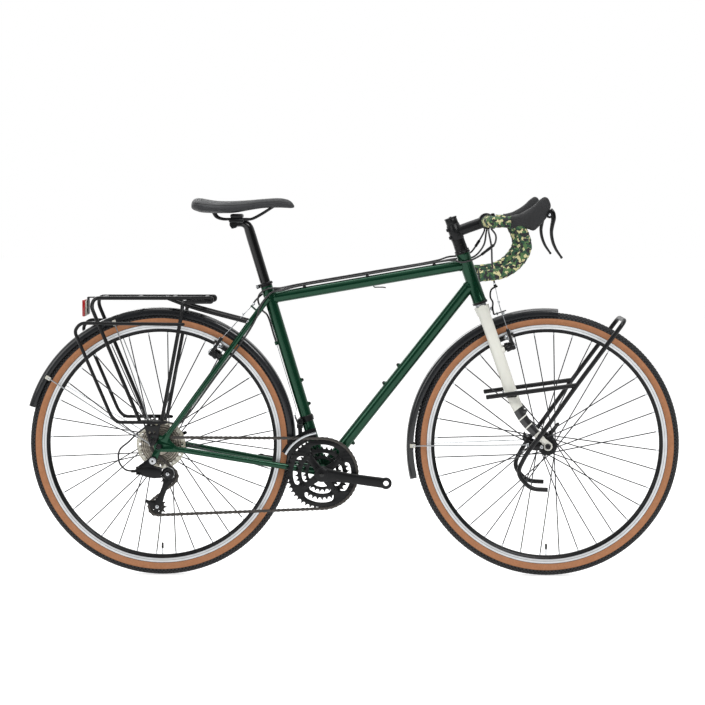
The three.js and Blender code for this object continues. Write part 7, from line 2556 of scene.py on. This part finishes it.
def buildGuards():
    for name, axle, sizes, body, node, stayEnds in (
        (
            "front", frontAxle, guards["front"], "steering", "mudguard_front",
            [(guards["frontClip"], guards["frontEye"])]
        ),
        (
            "rear", rearAxle, guards["rear"], "frame", "mudguard_rear",
            list(zip(guards["rearClips"], guards["rearEyes"]))
        ),
    ):
        strip = guardStrip(name + "Mudguard", axle, sizes)
        gather(name + "Mudguard", body, "mudguard_plastic", guardPlastic, [strip], node, smoothAngle=40)
        wires, clips, screws = [], [], []
        for clip, eye in stayEnds:
            for hand in (-1, 1):
                rods, clipBlock, bolts = guardStay(axle, clip, eye, hand)
                wires += rods
                clips.append(clipBlock)
                screws += bolts
        gather(name + "GuardStays", body, "wheel_alloy", stayWire, wires + screws, node)
        gather(name + "GuardClips", body, "mudguard_plastic", palePlastic, clips, node)
    foot = along(along(frontAxle, steerUp, 358.4), steerFore, 6)
    tabFace = (onCrown(-32, 24) - foot).dot(steerUp) - 2.1
    boss = turned("guardBoss", foot, steerUp, [(0, 5.4), (2, 4), (tabFace, 4)], 24)
    gather("frontGuardBoss", "steering", "wheel_alloy", silverAlloy, [boss], "mudguard_front")


# Rear rack: bent rods in two side loops, a platform between them, its stays, and the reflector
rack = {
    "rod": 5,
    "thin": 4.6,
    "lowRod": 6,
    "legSide": 74,
    "railSide": 80,
    "top": 389,
    "front": 139,
    "spineWidth": 36,
    "spineThickness": 3,
    "crossShares": (0.14, 0.42, 0.7, 0.96),
    "crossReach": 50.15,
    "lowSide": 85,
    "lowTie": (-98, 139),
    "reflectorAt": (-199, 361.5),
    "reflectorSize": (9, 86, 44),
}
sideLoop = [
    (-49.5, 64, 74), (-176, 367, 74), (-170, 389, 55), (139, 389, 55), (139, 378.65, 55), (62, 378.65, 58),
    (62, 354, 74), (7, 66.5, 74)
]
bagRail = [(66, 321), (-203.5, 324.5), (-220, 303.5), (-125.5, 81), (-109.5, 64), (19, 64)]
footOutline = [(-48, 70), (-40, 58), (-24, 0), (-10, 4), (-3, 24), (4, 58), (14, 62), (12, 70)]
footHoles = [(-34, 60, 3.4), (-21, 58, 3), (-7, 58, 3.4), (-25, 37, 3), (-13, 38, 3.4), (-18, 24, 2.2)]
tiePlaces = [(66, 321), (-109.5, 64), (19, 64)]
lowRiderLoop = [(196, 332), (75, 168), (-8, 50), (-59, -17), (-84, -68), (-47, -109), (-2, -111)]
lowRail = [(-162, 132), (72, 164)]
lugOutline = [(-56, 30), (-48, 14), (-21, 4), (-10, 5), (-11, -7), (-30, -11), (-52, -8), (-62, 10)]


def filletedOutline(points, radius):
    corners = [at(x, 0, z) for x, z in points]
    middle = between(corners[0], corners[-1], 0.5)
    path = roundedPath([middle, *corners, middle], radius, 4)[:-1]
    return [(point.x, point.z) for point in path]


def buildRearRack():
    footSide = rearEnd + layout["endThickness"] + fitGap + 2
    for name, hand in hands:
        loop = rod(
            "sideLoop", roundedPath([fromRear(x, z, hand * side) for x, z, side in sideLoop], 18, 8),
            rack["rod"], 20
        )
        rail = rod(
            "bagRail", roundedPath([fromRear(x, z, hand * rack["railSide"]) for x, z in bagRail], 18, 8),
            rack["thin"], 20
        )
        outline = filletedOutline([(rearAxle.x + x, rearAxle.z + z) for x, z in footOutline], 5)
        holes = [disc(rearAxle.x + x, rearAxle.z + z, radius, 16) for x, z, radius in footHoles]
        foot = plate("rackFoot", outline, hand * footSide, 4, holes, 0.6)
        outer, inner = hand * rack["railSide"], hand * (rack["legSide"] + 0.5)
        ties = [
            rod("rackTie", [fromRear(x, z, outer), fromRear(x, z, inner)], 3.6, 14) for x, z in tiePlaces
        ]
        screws = [
            bolt("footBolt", fromRear(x, z, hand * (footSide + 2)), sideAxis * hand, 4.6, 3.2, satinBlack)
            for x, z in ((-22, 12), (-9, 14))
        ]
        gather(
            "rearRack" + name, "frame", "rack_coat", rackCoat, [loop, rail, foot, *ties],
            "rack_rear_" + name.lower(), smoothAngle=45
        )
        gather(
            "rearRackBolts" + name, "frame", "wheel_alloy", silverAlloy, screws, "rack_rear_" + name.lower()
        )

    spineBack = rack["reflectorAt"][0] + rack["reflectorSize"][0] / 2 + fitGap
    spineFront = rack["front"] - rack["rod"]
    spine = boxed(
        "rackSpine", fromRear((spineBack + spineFront) / 2, rack["top"], 0),
        (spineFront - spineBack, rack["spineWidth"], rack["spineThickness"]), 0, 1.1
    )
    reflectorLow = rack["reflectorAt"][1] - rack["reflectorSize"][2] / 3
    back = boxed(
        "rackTail", fromRear(spineBack + 1.5, (rack["top"] + reflectorLow) / 2, 0),
        (3, rack["spineWidth"], rack["top"] - reflectorLow + 3), 0, 1.1
    )
    bars = []
    for share in rack["crossShares"]:
        x = spineBack + (spineFront - spineBack) * share
        bars.append(
            rod(
                "crossBar",
                [
                    fromRear(x, rack["top"], -rack["crossReach"]),
                    fromRear(x, rack["top"], rack["crossReach"])
                ], rack["thin"] - 0.3, 16
            )
        )
    staySides = staySideAt(shareAt(highBridgeReach - 33.6))
    struts, clamps = [], []
    for hand in (-1, 1):
        end = overBridge(-34.7, 4.9, hand * staySides)
        route = [
            fromRear(16, rack["top"] - 1, hand * 13.85), fromRear(86, rack["top"] - 25, hand * staySides),
            end
        ]
        struts.append(rod("rackStrut", smoothPath(route, 8), rack["rod"] + 0.4, 18))
        clamps.append(bolt("strutBolt", along(end, sideAxis, hand * 3.8), sideAxis * hand, 4.4, 2.6))
    gather(
        "rearRackTop", "frame", "rack_coat", rackCoat, [spine, back, *bars, *struts], "rack_rear_top",
        smoothAngle=45
    )
    clamps += [bolt("plateBolt", fromRear(x, rack["top"] + 1.5, 0), upAxis, 3.6, 2) for x in (-150, 16)]
    gather("rearRackTopBolts", "frame", "wheel_alloy", silverAlloy, clamps, "rack_rear_top")


def buildReflector():
    x, z = rack["reflectorAt"]
    depth, width, height = rack["reflectorSize"]
    case = boxed("reflectorCase", fromRear(x + depth / 2 - 1, z, 0), (2, width - 6, height - 6), 0, 0.6)
    lens = boxed("reflectorLens", fromRear(x - 1.6, z, 0), (depth - 1.6, width, height), 0, 1.8)
    gather("reflectorCase", "frame", "clear_plastic", palePlastic, [case], "reflector")
    gather("reflectorLens", "frame", "red_reflector", redLens, [lens], "reflector")


# Front rack: two bent halves that meet over the wheel, each with its rail, lug and clamp
def buildFrontRack():
    lugSide = frontEnd + layout["endThickness"] + fitGap + 2
    tieX, tieZ = rack["lowTie"]

    def leaningBox(length, height):
        corners = ((-length, -height), (-length, height), (length, height), (length, -height))
        place = fromFront(tieX, tieZ - 5)
        return [(place.x + x * 0.99 - z * 0.1, place.z + z * 0.99 + x * 0.1) for x, z in corners]

    clampOutline, slot = filletedOutline(leaningBox(16, 5), 4), filletedOutline(leaningBox(10, 1.8), 1.6)
    for name, hand in hands:
        side = hand * rack["lowSide"]
        hoop = [fromFront(*lowRiderLoop[0], hand * 0.3), *[fromFront(x, z, side) for x, z in lowRiderLoop]]
        tube = rod("hoopTube", roundedPath(hoop, 27, 10), rack["lowRod"], 20)
        back, front = [fromFront(x, z, side) for x, z in lowRail]
        rail = rod("lowRail", [back, front], rack["lowRod"], 20)
        railEnd = turned(
            "railEnd", back, (back - front).normalized(), [(-4, 5.7), (1, 5.7), (2.4, 4.2)], 20
        )
        outline = filletedOutline([(frontAxle.x + x, frontAxle.z + z) for x, z in lugOutline], 5)
        lug = plate("rackLug", outline, hand * lugSide, 4, [], 0.6)
        ties = []
        for x, z in ((-42, 5), rack["lowTie"]):
            ties.append(
                rod("lowTie", [fromFront(x, z, hand * lugSide), fromFront(x, z, side)], rack["rod"], 18)
            )
        clamp = plate("railClamp", clampOutline, hand * (lugSide + 1.5), 4, [slot], 0.6)
        screws = []
        for x, z in ((-17, -1), (tieX + 13, tieZ + 5), (tieX - 13, tieZ - 5)):
            screws.append(bolt("lugBolt", fromFront(x, z, hand * (lugSide + 2)), sideAxis * hand, 4.6, 3.2))
        parts = [tube, rail, railEnd, lug, *ties, clamp]
        gather(
            "frontRack" + name, "steering", "rack_coat", rackCoat, parts, "rack_front_" + name.lower(),
            smoothAngle=45
        )
        gather(
            "frontRackBolts" + name, "steering", "wheel_alloy", silverAlloy, screws,
            "rack_front_" + name.lower()
        )


buildGuards()
buildRearRack()
buildReflector()
buildFrontRack()
print("mudguards and racks ready")


# Studio: a pale floor that stays white in the camera, soft lamps, and the camera at the photo's angle
studio = {
    "floorRise": (frontAxle.z - layout["tyreRadius"]) * millimetre - 0.0006,
    "floorSize": 60,
    "floorColour": "#e6e6e6",
    "floorGlow": 0.62,
    "airColour": "#ffffff",
    "airLight": 0.45,
    "roomLight": 0.12,
    "cameraPlace": (0.1967, -5.9926, 0.7341),
    "cameraTilt": 3.993,
    "cameraTurn": 1.124,
    "lens": 115.9,
    "sensor": 36,
}
lamps = [
    {"name": "keyLamp", "place": (2.2, -3.6, 3.6), "aim": (0.1, 0, 0.2), "size": 2.4, "power": 130},
    {"name": "fillLamp", "place": (-3.6, -3.2, 2.0), "aim": (0, 0, 0.2), "size": 2.6, "power": 55},
    {"name": "topLamp", "place": (0, 0.6, 4.4), "aim": (0, 0, 0), "size": 3.4, "power": 90},
    {"name": "backLamp", "place": (-1.8, 3.8, 2.6), "aim": (0, 0, 0.2), "size": 2.4, "power": 60},
]


def seenDirectly(tree):
    light = tree.nodes.new("ShaderNodeLightPath").outputs
    seen = calculate(tree, "MAXIMUM", light["Is Camera Ray"], light["Is Glossy Ray"])
    return calculate(tree, "MAXIMUM", seen, light["Is Transmission Ray"])


def buildStudio():
    bpy.ops.mesh.primitive_plane_add(size=studio["floorSize"], location=(0, 0, studio["floorRise"]))
    floor = bpy.context.object
    floor.name = "floor"
    material, tree, shader, _ = startMaterial("floor")
    shader.inputs["Base Color"].default_value = linear(studio["floorColour"])
    shader.inputs["Roughness"].default_value = 0.9
    shader.inputs["Emission Color"].default_value = (1, 1, 1, 1)
    tree.links.new(
        calculate(tree, "MULTIPLY", seenDirectly(tree), studio["floorGlow"]),
        shader.inputs["Emission Strength"]
    )
    floor.data.materials.append(material)
    for lamp in lamps:
        bpy.ops.object.light_add(type="AREA", location=lamp["place"])
        light = bpy.context.object
        light.name = lamp["name"]
        light.data.shape = "DISK"
        light.data.size, light.data.energy = lamp["size"], lamp["power"]
        towards = Vector(lamp["aim"]) - Vector(lamp["place"])
        light.rotation_euler = towards.to_track_quat("-Z", "Y").to_euler()
    air = bpy.data.worlds.new("studioAir")
    bpy.context.scene.world = air
    air.use_nodes = True
    tree = air.node_tree
    background = tree.nodes["Background"]
    background.inputs["Color"].default_value = linear(studio["airColour"])
    # White to the camera; what shines is lit from behind and above, with a darker room behind the camera
    light = tree.nodes.new("ShaderNodeLightPath").outputs
    way = addNode(
        tree, "ShaderNodeSeparateXYZ", None,
        Vector=tree.nodes.new("ShaderNodeTexCoord").outputs["Generated"]
    ).outputs
    room = calculate(
        tree, "MAXIMUM", mapped(tree, way["Y"], -0.45, 0.25, studio["roomLight"], 1),
        mapped(tree, way["Z"], 0.45, 0.8, studio["roomLight"], 0.9)
    )
    direct = calculate(tree, "MAXIMUM", light["Is Camera Ray"], light["Is Transmission Ray"])
    shining = mapped(tree, light["Is Glossy Ray"], 0, 1, studio["airLight"], room)
    tree.links.new(mapped(tree, direct, 0, 1, shining, 1), background.inputs["Strength"])
    tilt = (math.radians(90 - studio["cameraTilt"]), 0, math.radians(studio["cameraTurn"]))
    bpy.ops.object.camera_add(location=studio["cameraPlace"], rotation=tilt)
    camera = bpy.context.object
    camera.name = "photoCamera"
    camera.data.lens, camera.data.sensor_width = studio["lens"], studio["sensor"]
    bpy.context.scene.camera = camera
    bpy.context.scene.view_settings.view_transform = "Standard"


buildStudio()
print("studio ready")
